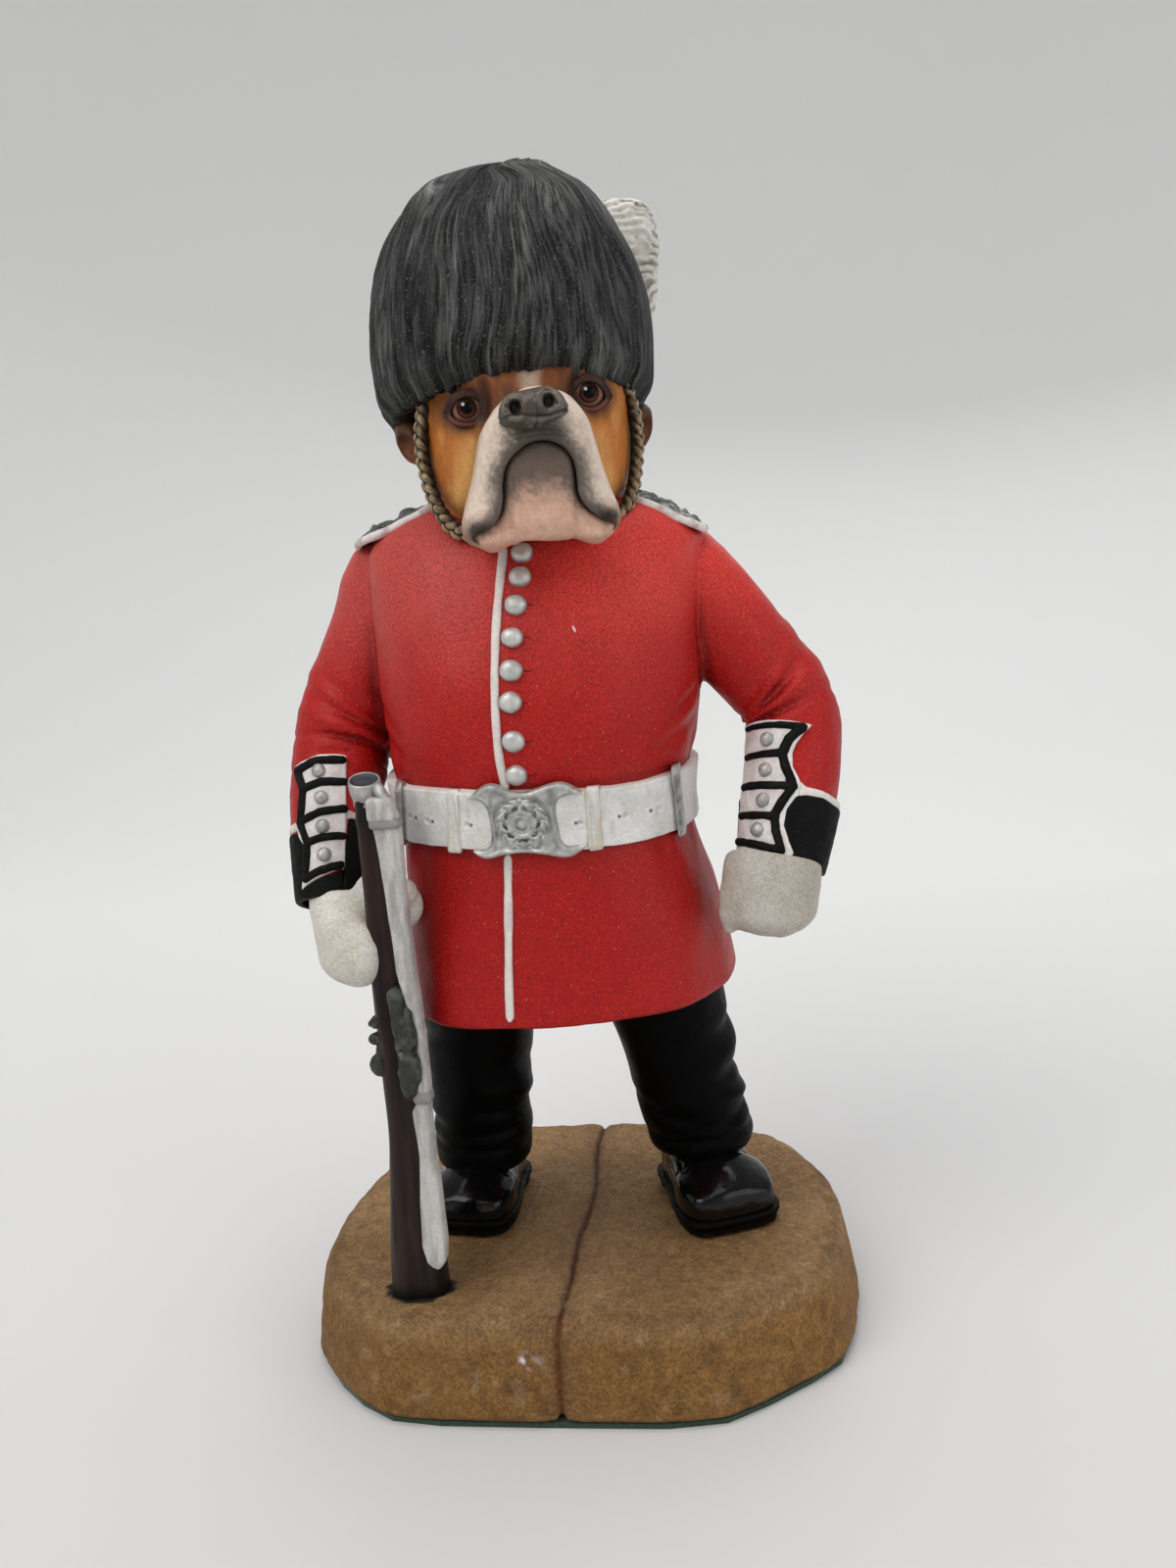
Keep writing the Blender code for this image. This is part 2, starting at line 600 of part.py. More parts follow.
# --------------------------------------------------- sleeves, cuffs, gloves
def sleeve_line(side, count=16):
    return smooth_path([Vector((*p, r)) for p, r in SLEEVE[side]], count)


def sleeve_solid(side, grow=0.0, resolution=3):
    line = sleeve_line(side)
    pts = [p.resized(3) for p in line]
    if grow:
        pts[-1] = pts[-1] + (pts[-1] - pts[-2]).normalized() * grow
    return tube(pts, [p[3] + grow for p in line], resolution)


def sleeve_point(side, share, deg, out):
    """Point on a sleeve: share of its length, angle from the front."""
    line = sleeve_line(side, 61)
    f = share * 60
    k = min(int(f), 59)
    p = line[k].lerp(line[k + 1], f - k)
    t = (line[k + 1].resized(3) - line[k].resized(3)).normalized()
    d = Vector((math.sin(math.radians(deg)), -math.cos(math.radians(deg)), 0))
    d = (d - t * d.dot(t)).normalized()
    return p.resized(3) + d * (p[3] + out), d


def flash_solid(side, grow=0.0):
    s0, s1, d0, d1 = FLASH[side]
    ds, dd = 0.006 * grow / GAP, 3.2 * grow / GAP
    rows = [[sleeve_point(side, s0 - ds + (s1 - s0 + 2 * ds) * k / 6,
                          d0 - dd + (d1 - d0 + 2 * dd) * i / 5, GAP - grow * 0.5)[0]
             for i in range(6)] for k in range(7)]
    if side:
        rows.reverse()
    return plate(rows, 1.1 + grow)


def cuff_solid(side, grow=0.0):
    line = sleeve_line(side, 61)[48:]
    pts = [p.resized(3) for p in line[::3]]
    t = (pts[-1] - pts[-2]).normalized()
    pts.append(pts[-1] + t * (0.8 + grow))
    radii = [p[3] + GAP + CUFF_T + grow for p in line[::3]]
    radii.append(radii[-1])
    if grow:
        pts[0] = pts[0] - (pts[1] - pts[0]).normalized() * grow
    return tube(pts, radii, 3)


for side in ("right", "left"):
    sleeve = make(side + "_sleeve", sleeve_solid(side), "red")
    boolean(sleeve, [make("cut", tunic_solid(GAP))])
    boolean(sleeve, [make("spigot", arm_spigot(side))], 'UNION')
    make(side + "_cuff_flash", flash_solid(side), "white")
    cuff = make(side + "_cuff", cuff_solid(side), "black")
    boolean(cuff, [make("cut", sleeve_solid(side, GAP)),
                   make("cut", flash_solid(side, GAP))])
    s0, s1, d0, d1 = FLASH[side]
    for i in range(4):
        share = s0 + (s1 - s0) * (0.13 + 0.245 * i)
        p, n = sleeve_point(side, share, d0 + 0.5 * (d1 - d0), 2 * GAP + 1.15)
        make("%s_cuff_button_%d" % (side, i + 1),
             dome(p, n, CUFF_BUTTON_R, CUFF_BUTTON_H), "silver")


def stock_solid(grow=0.0):
    rings = []
    for k, (z, x, y, a, b) in enumerate(STOCK):
        z += -grow if k == 0 else grow if k == len(STOCK) - 1 else 0.0
        rings.append(oval(x, y, z, a + grow, b + grow, b + grow, 3.2, 20))
    return ring_loft(rings)


def stock_at(z):
    k = 0
    while k < len(STOCK) - 2 and STOCK[k + 1][0] < z:
        k += 1
    a, b = STOCK[k], STOCK[k + 1]
    t = (z - a[0]) / (b[0] - a[0])
    return [a[j] + (b[j] - a[j]) * t for j in range(1, 5)]


SLING = [(79.0, 0.95), (70.0, 1.25), (60.0, 1.4), (52.0, 1.1), (45.0, 0.9),
         (38.0, 1.1), (28.0, 1.3), (19.0, 1.5)]      # height and half width


def sling_solid(grow=0.0):
    """Flat strap down the right front corner of the stock."""
    rings = []
    for k, (z, w) in enumerate(SLING):
        x, y, a, b = stock_at(z)
        z += grow if k == 0 else -grow if k == len(SLING) - 1 else 0.0
        mid = Vector((x + a - w + 0.5, y - b - GAP - 0.5, z))
        hw, ht = w + grow, 0.5 + grow
        rings.append([mid + Vector((dx * hw, dy * ht, 0)) for dx, dy in
                      ((-1, -0.6), (-0.7, -1), (0.7, -1), (1, -0.6), (1, 0.6),
                       (0.7, 1), (-0.7, 1), (-1, 0.6))])
    return ring_loft(rings)


left = make("left_glove", ellipsoid(((28.9, -10.6, 63.4), (6.0, 5.2, 5.2))), "white")
boolean(left, [make("wrist", ellipsoid(((30.2, -9.6, 66.5), (5.0, 4.8, 4.6))))], 'UNION')
boolean(left, [make("cut", sleeve_solid("left", GAP)), make("cut", cuff_solid("left", GAP)),
               make("cut", tunic_solid(GAP))])

right = make("right_glove", ellipsoid(((-27.6, -15.6, 65.0), (4.6, 4.8, 6.8))), "white")
boolean(right, [make("fingers", ellipsoid(((-24.6, -19.6, 61.6), (4.4, 4.2, 3.7)))),
                make("palm", ellipsoid(((-22.0, -15.8, 66.0), (5.6, 2.9, 4.6)))),
                make("thumb", ellipsoid(((-16.9, -17.0, 68.6), (2.2, 2.4, 2.6))))], 'UNION')
boolean(right, [make("cut", sleeve_solid("right", GAP)), make("cut", cuff_solid("right", GAP)),
                make("cut", tunic_solid(GAP)), make("cut", stock_solid(GAP)),
                make("cut", sling_solid(GAP))])

# -------------------------------------------------------------------- rifle
make("rifle_stock", stock_solid(), "walnut")
make("rifle_sling", sling_solid(), "white")
x, y, a, b = stock_at(80.0)
cap = make("rifle_nose_cap", cylinder(x, y, 80.0 + GAP, 85.0, 2.3, 18), "silver")
boolean(cap, [make("muzzle", cylinder(x, y, 83.4, 86.0, 1.2, 14))])
x, y, a, b = stock_at(50.0)
make("rifle_receiver", ring_loft([oval(x - 1.15, y - b - GAP - 0.7, z, w, 0.7, 0.7, 2.6, 14)
                                  for z, w in ((43.4, 0.9), (44.2, 1.05), (56.0, 1.05),
                                               (57.0, 0.8))]), "dark")
# --------------------------------------------------------------------- head
head = make("head", head_piece(*HEAD_MESH[0][:1], 0, *HEAD_MESH[0][1:]), "tan")
boolean(head, [make("join", head_piece(s, 0, n, k)) for s, n, k in HEAD_MESH[1:]], 'UNION')
(ex, ey, ez) = EYE_AT
for sign in (-1, 1):
    spec = ((sign * ex, ey, ez), (EYE_R,) * 3)
    make("right_eye" if sign < 0 else "left_eye", head_piece(spec, 0, 12, 8), "eye")
boolean(head, [make("socket", head_piece(((s * ex, ey, ez), (EYE_R,) * 3), GAP, 12, 8))
               for s in (-1, 1)])

muzzle = make("muzzle", head_piece(BRIDGE), "white")
boolean(muzzle, [make("join", head_piece(FLEW, mirror=s)) for s in (False, True)],
        'UNION')
boolean(muzzle, head_cutters())


def muzzle_cutters(grow=GAP):
    return [make("cut", head_piece(BRIDGE, grow)),
            make("cut", head_piece(FLEW, grow)),
            make("cut", head_piece(FLEW, grow, mirror=True))]


jaw = make("lower_jaw", head_piece(JAW), "pink")
boolean(jaw, muzzle_cutters() + head_cutters())
nose = make("nose", head_piece(NOSE, 0, 12, 8), "nose")
boolean(nose, muzzle_cutters())


def bearskin_solid(grow=0.0, seg=26):
    dense = smooth_path([Vector((r[0], r[1], r[2])) for r in BEARSKIN], 13)
    rings = []
    for p in dense:
        lift = grow * min(max((p[0] - 138.0) / 18.0, 0.0), 1.0)
        rings.append(oval(0.0, 0.6, p[0] + lift, p[1] + grow, p[2] + grow, p[2] + grow,
                          2.0, seg))
    bm = ring_loft(rings)
    slope = Vector((0, RIM_SLOPE, -1.0)).normalized()
    flat_cut(bm, Vector((0, 0, RIM_Z)) + slope * grow, slope)
    bm.transform(HEAD)
    return bm


cap = make("bearskin_cap", bearskin_solid(), "fur")
boolean(cap, head_cutters())
for sign in (-1, 1):
    ear = make("right_ear" if sign < 0 else "left_ear",
               head_piece(EAR, 0, 14, 10, mirror=sign < 0), "tan")
    boolean(ear, head_cutters() + [make("cut", bearskin_solid(GAP))])
plume = make("plume", head_piece(PLUME, 0, 14, 12), "white")
boolean(plume, [make("cut", bearskin_solid(GAP))])

# chin chain: hangs from under the cap, round behind the jowls, below the chin
route = [(-13.6, -8.2, 128.6), (-13.4, -9.4, 123.0), (-12.4, -11.8, 117.6),
         (-9.2, -14.6, 113.8), (-4.6, -15.2, 113.3)]
route = route + [(0.0, -15.0, 113.3)] + [(-x, y, z) for x, y, z in reversed(route)]
probe = bmesh.new()
for spec in (SKULL, CHEEKS):
    part = bmesh.new()
    bmesh.ops.create_uvsphere(part, u_segments=48, v_segments=32, radius=1.0)
    part.transform(HEAD @ Matrix.Translation(Vector(spec[0]))
                   @ Matrix.Diagonal(Vector((*spec[1], 1.0))))
    tmp = bpy.data.meshes.new("probe")
    part.to_mesh(tmp)
    part.free()
    probe.from_mesh(tmp)
    bpy.data.meshes.remove(tmp)
skin = BVHTree.FromBMesh(probe)
path = smooth_path([HEAD @ Vector(p) for p in route], 29)
for _ in range(4):
    for i, p in enumerate(path):
        hit, n, _f, _d = skin.find_nearest(p)
        off = (p - hit).dot(n)
        if off < CHAIN_R + 0.45:
            path[i] = hit + n * (CHAIN_R + 0.45)
chain = make("chin_chain", tube(path, [CHAIN_R] * len(path), 1), "gold")
boolean(chain, [make("cut", bearskin_solid(GAP)), make("cut", tunic_solid(GAP))]
        + muzzle_cutters() + head_cutters() + [make("cut", head_piece(JAW, GAP))])
probe.free()

# --------------------------------------------------- collar, shoulder straps
pts = []
for k in range(3):
    z = COLLAR_Z0 + (COLLAR_Z1 - COLLAR_Z0) * k / 2
    row = []
    for i in range(13):
        t = math.radians(28.0 + 124.0 * i / 12)
        row.append(Vector((0.4 + COLLAR_A * math.cos(t), -1.0 + COLLAR_B * math.sin(t), z)))
    pts.append(row)
collar = make("collar", plate(pts, 1.1), "dark")
boolean(collar, [make("cut", tunic_solid(GAP))] + head_cutters())

for side, s in (("right", -1), ("left", 1)):
    rings = []
    line = smooth_path([(13.6, -2.0, 116.8), (17.8, -2.0, 115.8), (21.3, -1.9, 114.0),
                        (24.0, -1.8, 111.4)], 9)
    for k, p in enumerate(line):
        q = line[min(k + 1, 8)] - line[max(k - 1, 0)]
        up = Vector((-q.z, 0, q.x)).normalized()
        half = 4.6 * (0.86 if k in (0, 8) else 1.0)
        ring = []
        for dy, h in ((-1.0, -1.4), (-1.0, 0.75), (-0.8, 1.1), (0.8, 1.1), (1.0, 0.75),
                      (1.0, -1.4)):
            w = p + up * h + Vector((0, dy * half, 0))
            ring.append(Vector((s * w.x + 0.3, w.y, w.z)))
        rings.append(ring)
    strap = make(side + "_shoulder_strap", ring_loft(rings), "dark")
    boolean(strap, [make("cut", tunic_solid(GAP)), make("cut", sleeve_solid(side, GAP)),
                    make("cut", arm_spigot(side, GAP))] + head_cutters())

for obj in PARTS.objects:
    obj.data.shade_smooth()
    obj.data.set_sharp_from_angle(angle=math.radians(38))
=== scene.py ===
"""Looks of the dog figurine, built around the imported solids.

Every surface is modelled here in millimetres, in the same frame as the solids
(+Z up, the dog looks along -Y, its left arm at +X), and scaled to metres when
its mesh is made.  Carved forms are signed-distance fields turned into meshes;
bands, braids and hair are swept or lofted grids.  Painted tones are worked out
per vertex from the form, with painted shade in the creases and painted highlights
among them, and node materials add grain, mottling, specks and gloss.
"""
import math

import bpy
import numpy as np
from mathutils import Matrix, Vector


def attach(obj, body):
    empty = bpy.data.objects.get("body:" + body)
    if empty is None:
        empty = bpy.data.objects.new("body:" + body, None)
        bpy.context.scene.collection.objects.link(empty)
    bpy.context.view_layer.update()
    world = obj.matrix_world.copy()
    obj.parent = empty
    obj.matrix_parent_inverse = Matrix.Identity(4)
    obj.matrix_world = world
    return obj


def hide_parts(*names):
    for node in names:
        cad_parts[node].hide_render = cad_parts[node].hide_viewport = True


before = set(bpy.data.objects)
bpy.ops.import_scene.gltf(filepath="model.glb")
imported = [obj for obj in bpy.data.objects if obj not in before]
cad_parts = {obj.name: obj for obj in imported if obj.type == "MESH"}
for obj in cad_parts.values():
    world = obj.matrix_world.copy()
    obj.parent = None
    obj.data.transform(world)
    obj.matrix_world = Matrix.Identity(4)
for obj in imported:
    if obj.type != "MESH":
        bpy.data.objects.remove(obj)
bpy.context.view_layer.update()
MM = 0.001
F4 = np.float32

# ---------------------------------------------------------------- numbers


def srgb(r, g, b):
    """Screen colour 0..255 to linear."""
    c = np.array([r, g, b], float) / 255.0
    return np.where(c <= 0.04045, c / 12.92, ((c + 0.055) / 1.055) ** 2.4)


def smooth(lo, hi, x):
    t = np.clip((x - lo) / (hi - lo), 0.0, 1.0)
    return t * t * (3 - 2 * t)


def mix(a, b, t):
    t = np.asarray(t)[..., None]
    return a * (1 - t) + b * t


def _hash(ix, iy, iz, seed):
    h = (ix.astype(np.uint32) * np.uint32(374761393)
         ^ iy.astype(np.uint32) * np.uint32(668265263)
         ^ iz.astype(np.uint32) * np.uint32(2246822519)
         ^ np.uint32((seed * 3266489917 + 374761393) & 0xFFFFFFFF))
    h ^= h >> np.uint32(15)
    h *= np.uint32(2246822519)
    h ^= h >> np.uint32(13)
    h *= np.uint32(3266489917)
    h ^= h >> np.uint32(16)
    return h.astype(F4) / F4(2147483648.0) - F4(1.0)


def noise(x, y, z, seed=0):
    """Smooth value noise in -1..1 on a unit lattice."""
    x, y, z = np.broadcast_arrays(np.asarray(x, F4), np.asarray(y, F4), np.asarray(z, F4))
    ix, iy, iz = (np.floor(a).astype(np.int64) for a in (x, y, z))
    fx, fy, fz = x - ix, y - iy, z - iz
    fx, fy, fz = (f * f * (3 - 2 * f) for f in (fx, fy, fz))
    out = 0
    for dx in (0, 1):
        wx = fx if dx else 1 - fx
        for dy in (0, 1):
            wy = fy if dy else 1 - fy
            for dz in (0, 1):
                wz = fz if dz else 1 - fz
                out = out + wx * wy * wz * _hash(ix + dx, iy + dy, iz + dz, seed)
    return out


def fbm(x, y, z, octaves=3, seed=0):
    out, amp = 0, 1.0
    for k in range(octaves):
        f = 2.0 ** k
        out = out + amp * noise(x * f, y * f, z * f, seed + 17 * k)
        amp *= 0.5
    return out


def catmull(points, count, closed=False):
    """Points evenly spaced along a smooth curve through the given ones."""
    p = np.array(points, float)
    if closed:
        p = np.vstack([p[-1], p, p[0], p[1]])
    else:
        p = np.vstack([2 * p[0] - p[1], p, 2 * p[-1] - p[-2]])
    t = np.linspace(0, 1, 24, endpoint=False)[:, None]
    dense = []
    for k in range(1, len(p) - 2):
        a, b, c, d = p[k - 1:k + 3]
        dense.append(0.5 * (2 * b + (c - a) * t + (2 * a - 5 * b + 4 * c - d) * t ** 2
                            + (3 * b - a - 3 * c + d) * t ** 3))
    dense.append(p[-2:-1])
    dense = np.vstack(dense)
    run = np.r_[0, np.cumsum(np.linalg.norm(np.diff(dense[:, :3], axis=0), axis=1))]
    want = np.linspace(0, run[-1], count + 1)[:-1] if closed else np.linspace(0, run[-1], count)
    return np.stack([np.interp(want, run, dense[:, j]) for j in range(dense.shape[1])], 1)


def poly_distance(x, y, pts, closed=True):
    """Distance to a polyline, negative inside a closed one."""
    shape = np.shape(x)
    x, y = np.ravel(x).astype(F4), np.ravel(y).astype(F4)
    a = np.asarray(pts, F4)
    b = np.roll(a, -1, axis=0)
    if not closed:
        a, b = a[:-1], b[:-1]
    best = np.full(x.shape, 1e9, F4)
    inside = np.zeros(x.shape, bool)
    for (ax, ay), (bx, by) in zip(a, b):
        ex, ey = bx - ax, by - ay
        t = np.clip(((x - ax) * ex + (y - ay) * ey) / (ex * ex + ey * ey + 1e-12), 0, 1)
        best = np.minimum(best, (x - ax - t * ex) ** 2 + (y - ay - t * ey) ** 2)
        if closed:
            cross = ((ay > y) != (by > y)) & (x < (bx - ax) * (y - ay) / (by - ay + 1e-12) + ax)
            inside ^= cross
    d = np.sqrt(best)
    if closed:
        d = np.where(inside, -d, d)
    return d.reshape(shape)


# ------------------------------------------------------------ carved fields
def smin(a, b, k):
    h = np.clip(0.5 + 0.5 * (b - a) / k, 0, 1)
    return b * (1 - h) + a * h - k * h * (1 - h)


def smax(a, b, k):
    return -smin(-a, -b, k)


class Block:
    """Regular grid of points that a form is carved in."""

    def __init__(self, lo, hi, h):
        self.lo = np.array(lo, float)
        self.h = h
        n = np.ceil((np.array(hi, float) - self.lo) / h).astype(int) + 1
        ax = [(self.lo[i] + h * np.arange(n[i])).astype(F4) for i in range(3)]
        self.ax = ax
        self.x = ax[0][:, None, None]
        self.y = ax[1][None, :, None]
        self.z = ax[2][None, None, :]

    def ell(self, c, r, turn=None):
        x, y, z = self.x - F4(c[0]), self.y - F4(c[1]), self.z - F4(c[2])
        if turn is not None:
            m = np.array(turn.to_3x3().transposed(), F4)
            x, y, z = (m[i, 0] * x + m[i, 1] * y + m[i, 2] * z for i in range(3))
        qx, qy, qz = x / F4(r[0]), y / F4(r[1]), z / F4(r[2])
        k0 = np.sqrt(qx * qx + qy * qy + qz * qz) + F4(1e-6)
        k1 = np.sqrt((qx / F4(r[0])) ** 2 + (qy / F4(r[1])) ** 2 + (qz / F4(r[2])) ** 2) + F4(1e-6)
        return k0 * (k0 - 1) / k1

    def cap(self, a, b, ra, rb):
        a, b = np.array(a, F4), np.array(b, F4)
        e = b - a
        x, y, z = self.x - a[0], self.y - a[1], self.z - a[2]
        t = np.clip((x * e[0] + y * e[1] + z * e[2]) / F4(e @ e), 0, 1)
        return np.sqrt((x - t * e[0]) ** 2 + (y - t * e[1]) ** 2 + (z - t * e[2]) ** 2) - (
            F4(ra) + t * F4(rb - ra))

    def chain(self, pts, radii, k=None):
        """Tube through points with radii."""
        d = None
        for i in range(len(pts) - 1):
            c = self.cap(pts[i], pts[i + 1], radii[i], radii[i + 1])
            d = c if d is None else (np.minimum(d, c) if k is None else smin(d, c, k))
        return d

    def box(self, c, half, r, turn=None):
        x, y, z = self.x - F4(c[0]), self.y - F4(c[1]), self.z - F4(c[2])
        if turn is not None:
            m = np.array(turn.to_3x3().transposed(), F4)
            x, y, z = (m[i, 0] * x + m[i, 1] * y + m[i, 2] * z for i in range(3))
        qx, qy, qz = (np.abs(a) - F4(s - r) for a, s in zip((x, y, z), half))
        out = np.sqrt(np.maximum(qx, 0) ** 2 + np.maximum(qy, 0) ** 2 + np.maximum(qz, 0) ** 2)
        return out + np.minimum(np.maximum(qx, np.maximum(qy, qz)), 0) - F4(r)

    def full(self, d):
        return np.ascontiguousarray(np.broadcast_to(d, (len(self.ax[0]), len(self.ax[1]),
                                                        len(self.ax[2]))), F4)

    def sample(self, d, p):
        """Field value at points, by trilinear interpolation."""
        q = (np.asarray(p, float) - self.lo) / self.h
        n = np.array(d.shape)
        q = np.clip(q, 0, n - 1.001)
        i = q.astype(int)
        f = q - i
        out = 0
        for dx in (0, 1):
            for dy in (0, 1):
                for dz in (0, 1):
                    w = ((f[:, 0] if dx else 1 - f[:, 0]) * (f[:, 1] if dy else 1 - f[:, 1])
                         * (f[:, 2] if dz else 1 - f[:, 2]))
                    out = out + w * d[i[:, 0] + dx, i[:, 1] + dy, i[:, 2] + dz]
        return out

    def gradient(self, d, p):
        e = self.h
        g = []
        for k in range(3):
            o = np.zeros(3)
            o[k] = e
            g.append((self.sample(d, p + o) - self.sample(d, p - o)) / (2 * e))
        return np.stack(g, 1)

    def skin(self, d, relax=2):
        """Quad mesh on the zero surface, relaxed and pulled back onto it."""
        d = self.full(d)
        s = d < 0
        nx, ny, nz = (n - 1 for n in d.shape)
        corner = {}
        count = np.zeros((nx, ny, nz), np.int8)
        for i in (0, 1):
            for j in (0, 1):
                for k in (0, 1):
                    corner[i, j, k] = (slice(i, nx + i), slice(j, ny + j), slice(k, nz + k))
                    count += s[corner[i, j, k]]
        live = (count > 0) & (count < 8)
        index = np.full((nx, ny, nz), -1, np.int64)
        index[live] = np.arange(int(live.sum()))
        cells = np.argwhere(live)
        acc = np.zeros((len(cells), 3))
        hits = np.zeros(len(cells))
        for axis in range(3):
            for u in (0, 1):
                for v in (0, 1):
                    a = [u, v]
                    a.insert(axis, 0)
                    b = list(a)
                    b[axis] = 1
                    fa = d[corner[tuple(a)]][live]
                    fb = d[corner[tuple(b)]][live]
                    cut = (fa < 0) != (fb < 0)
                    t = fa[cut] / (fa[cut] - fb[cut])
                    p = np.tile(np.array(a, float), (int(cut.sum()), 1))
                    p[:, axis] = t
                    acc[cut] += p
                    hits[cut] += 1
        verts = self.lo + self.h * (cells + acc / hits[:, None])
        faces = []
        for axis in range(3):
            lo = [slice(None)] * 3
            hi = [slice(None)] * 3
            lo[axis], hi[axis] = slice(0, -1), slice(1, None)
            a, b = s[tuple(lo)], s[tuple(hi)]
            e1, e2 = (axis + 1) % 3, (axis + 2) % 3
            for flip, where in ((False, a & ~b), (True, ~a & b)):
                p = np.argwhere(where)
                ok = ((p[:, e1] > 0) & (p[:, e2] > 0) & (p[:, e1] < d.shape[e1] - 1)
                      & (p[:, e2] < d.shape[e2] - 1))
                p = p[ok]
                if not len(p):
                    continue
                quad = []
                for du, dv in ((-1, -1), (0, -1), (0, 0), (-1, 0)):
                    c = p.copy()
                    c[:, e1] += du
                    c[:, e2] += dv
                    quad.append(index[c[:, 0], c[:, 1], c[:, 2]])
                quad = np.stack(quad, 1)
                faces.append(quad[:, ::-1] if flip else quad)
        faces = np.vstack(faces)
        for _ in range(relax):
            total = np.zeros_like(verts)
            n = np.zeros(len(verts))
            for k in range(4):
                a, b = faces[:, k], faces[:, (k + 1) % 4]
                np.add.at(total, a, verts[b])
                np.add.at(n, a, 1)
                np.add.at(total, b, verts[a])
                np.add.at(n, b, 1)
            verts = 0.4 * verts + 0.6 * total / n[:, None]
            for _k in range(2):
                g = self.gradient(d, verts)
                f = self.sample(d, verts)
                step = f / np.maximum((g * g).sum(1), 0.05)
                verts = verts - np.clip(step, -self.h, self.h)[:, None] * g
        return verts, faces


# ----------------------------------------------------------------- swept forms
def grid_faces(rows, cols, close_u=False, close_v=False, base=0):
    """Quads of a rows x cols grid of vertices."""
    r = np.arange(rows if close_v else rows - 1)
    c = np.arange(cols if close_u else cols - 1)
    rr, cc = np.meshgrid(r, c, indexing='ij')
    r2, c2 = (rr + 1) % rows, (cc + 1) % cols
    return base + np.stack([rr * cols + cc, rr * cols + c2, r2 * cols + c2, r2 * cols + cc],
                           -1).reshape(-1, 4)


def capped(grid):
    """Closed loft: rings along axis 0, a fan at each end."""
    rows, cols, _ = grid.shape
    verts = grid.reshape(-1, 3)
    faces = [list(f) for f in grid_faces(rows, cols, close_u=True)]
    a, b = len(verts), len(verts) + 1
    verts = np.vstack([verts, grid[0].mean(0), grid[-1].mean(0)])
    for i in range(cols):
        j = (i + 1) % cols
        faces.append([j, i, a])
        faces.append([(rows - 1) * cols + i, (rows - 1) * cols + j, b])
    return verts, faces


def frames(path, hint=(0, 0, 1)):
    """Tangent, side and normal along a path, carried without twist."""
    t = np.gradient(path, axis=0)
    t /= np.linalg.norm(t, axis=1)[:, None]
    n = np.zeros_like(t)
    ref = np.array(hint, float)
    for i in range(len(path)):
        ref = ref - t[i] * (ref @ t[i])
        ref /= np.linalg.norm(ref)
        n[i] = ref
    return t, np.cross(t, n), n


def sweep(path, ring, scale=None, hint=(0, 0, 1)):
    """Closed bar: a 2-D ring carried along a path."""
    t, side, n = frames(path, hint)
    ring = np.asarray(ring, float)
    s = np.ones((len(path), 2)) if scale is None else np.asarray(scale, float)
    if s.ndim == 1:
        s = np.stack([s, s], 1)
    return capped(path[:, None, :] + side[:, None, :] * (ring[None, :, :1] * s[:, None, :1])
                  + n[:, None, :] * (ring[None, :, 1:] * s[:, None, 1:]))


def circle(r, n):
    a = np.linspace(0, 2 * math.pi, n, endpoint=False)
    return np.stack([r * np.cos(a), r * np.sin(a)], 1)


def shell(outer, inner, close_u=False):
    """Closed plate between two equal grids of points."""
    rows, cols, _ = outer.shape
    n = rows * cols
    verts = np.vstack([outer.reshape(-1, 3), inner.reshape(-1, 3)])
    f = grid_faces(rows, cols, close_u)
    faces = [list(q) for q in f] + [list(q[::-1] + n) for q in f]

    def strip(ids):
        for a, b in zip(ids, ids[1:]):
            faces.append([b, a, a + n, b + n])
    top = [(rows - 1) * cols + i for i in range(cols)]
    low = list(range(cols))
    if close_u:
        strip((low + low[:1])[::1])
        strip((top + top[:1])[::-1])
    else:
        strip(low)
        strip(top[::-1])
        strip([i * cols for i in range(rows)][::-1])
        strip([i * cols + cols - 1 for i in range(rows)])
    return verts, faces


def join(parts):
    """Several closed bodies in one list of vertices and faces."""
    verts, faces, base = [], [], 0
    for v, f in parts:
        verts.append(v)
        faces += [[int(i) + base for i in q] for q in f]
        base += len(v)
    return np.vstack(verts), faces


# ------------------------------------------------------------------- objects
PIECES = {}


def piece(name, verts, faces, material, nodes=(), colour=None, masks=None, matrix=None,
          sharp=None):
    """Mesh object from millimetre points, riding on the figurine."""
    v = np.asarray(verts, float)
    if matrix is not None:
        m = np.array(matrix)
        v = v @ m[:3, :3].T + m[:3, 3]
    me = bpy.data.meshes.new(name)
    me.from_pydata((v * MM).tolist(), [], [list(map(int, f)) for f in faces])
    me.update()
    # faces point outwards
    q = v
    vol = 0.0
    tri = np.array([(f[0], f[i], f[i + 1]) for f in faces for i in range(1, len(f) - 1)])
    a, b, c = q[tri[:, 0]], q[tri[:, 1]], q[tri[:, 2]]
    vol = float((a * np.cross(b, c)).sum() / 6)
    if vol < 0:
        me.flip_normals()
    if colour is not None:
        at = me.attributes.new("tone", 'FLOAT_COLOR', 'POINT')
        rgba = np.ones((len(v), 4), F4)
        rgba[:, :3] = np.clip(colour, 0, 1)
        at.data.foreach_set("color", rgba.ravel())
    for key, val in (masks or {}).items():
        at = me.attributes.new(key, 'FLOAT', 'POINT')
        at.data.foreach_set("value", np.asarray(val, F4).ravel())
    me.shade_smooth()
    if sharp:
        me.set_sharp_from_angle(angle=math.radians(sharp))
    obj = bpy.data.objects.new(name, me)
    bpy.context.scene.collection.objects.link(obj)
    me.materials.append(material)
    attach(obj, "root")
    if nodes:
        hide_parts(*nodes)
    PIECES[name] = obj
    return obj


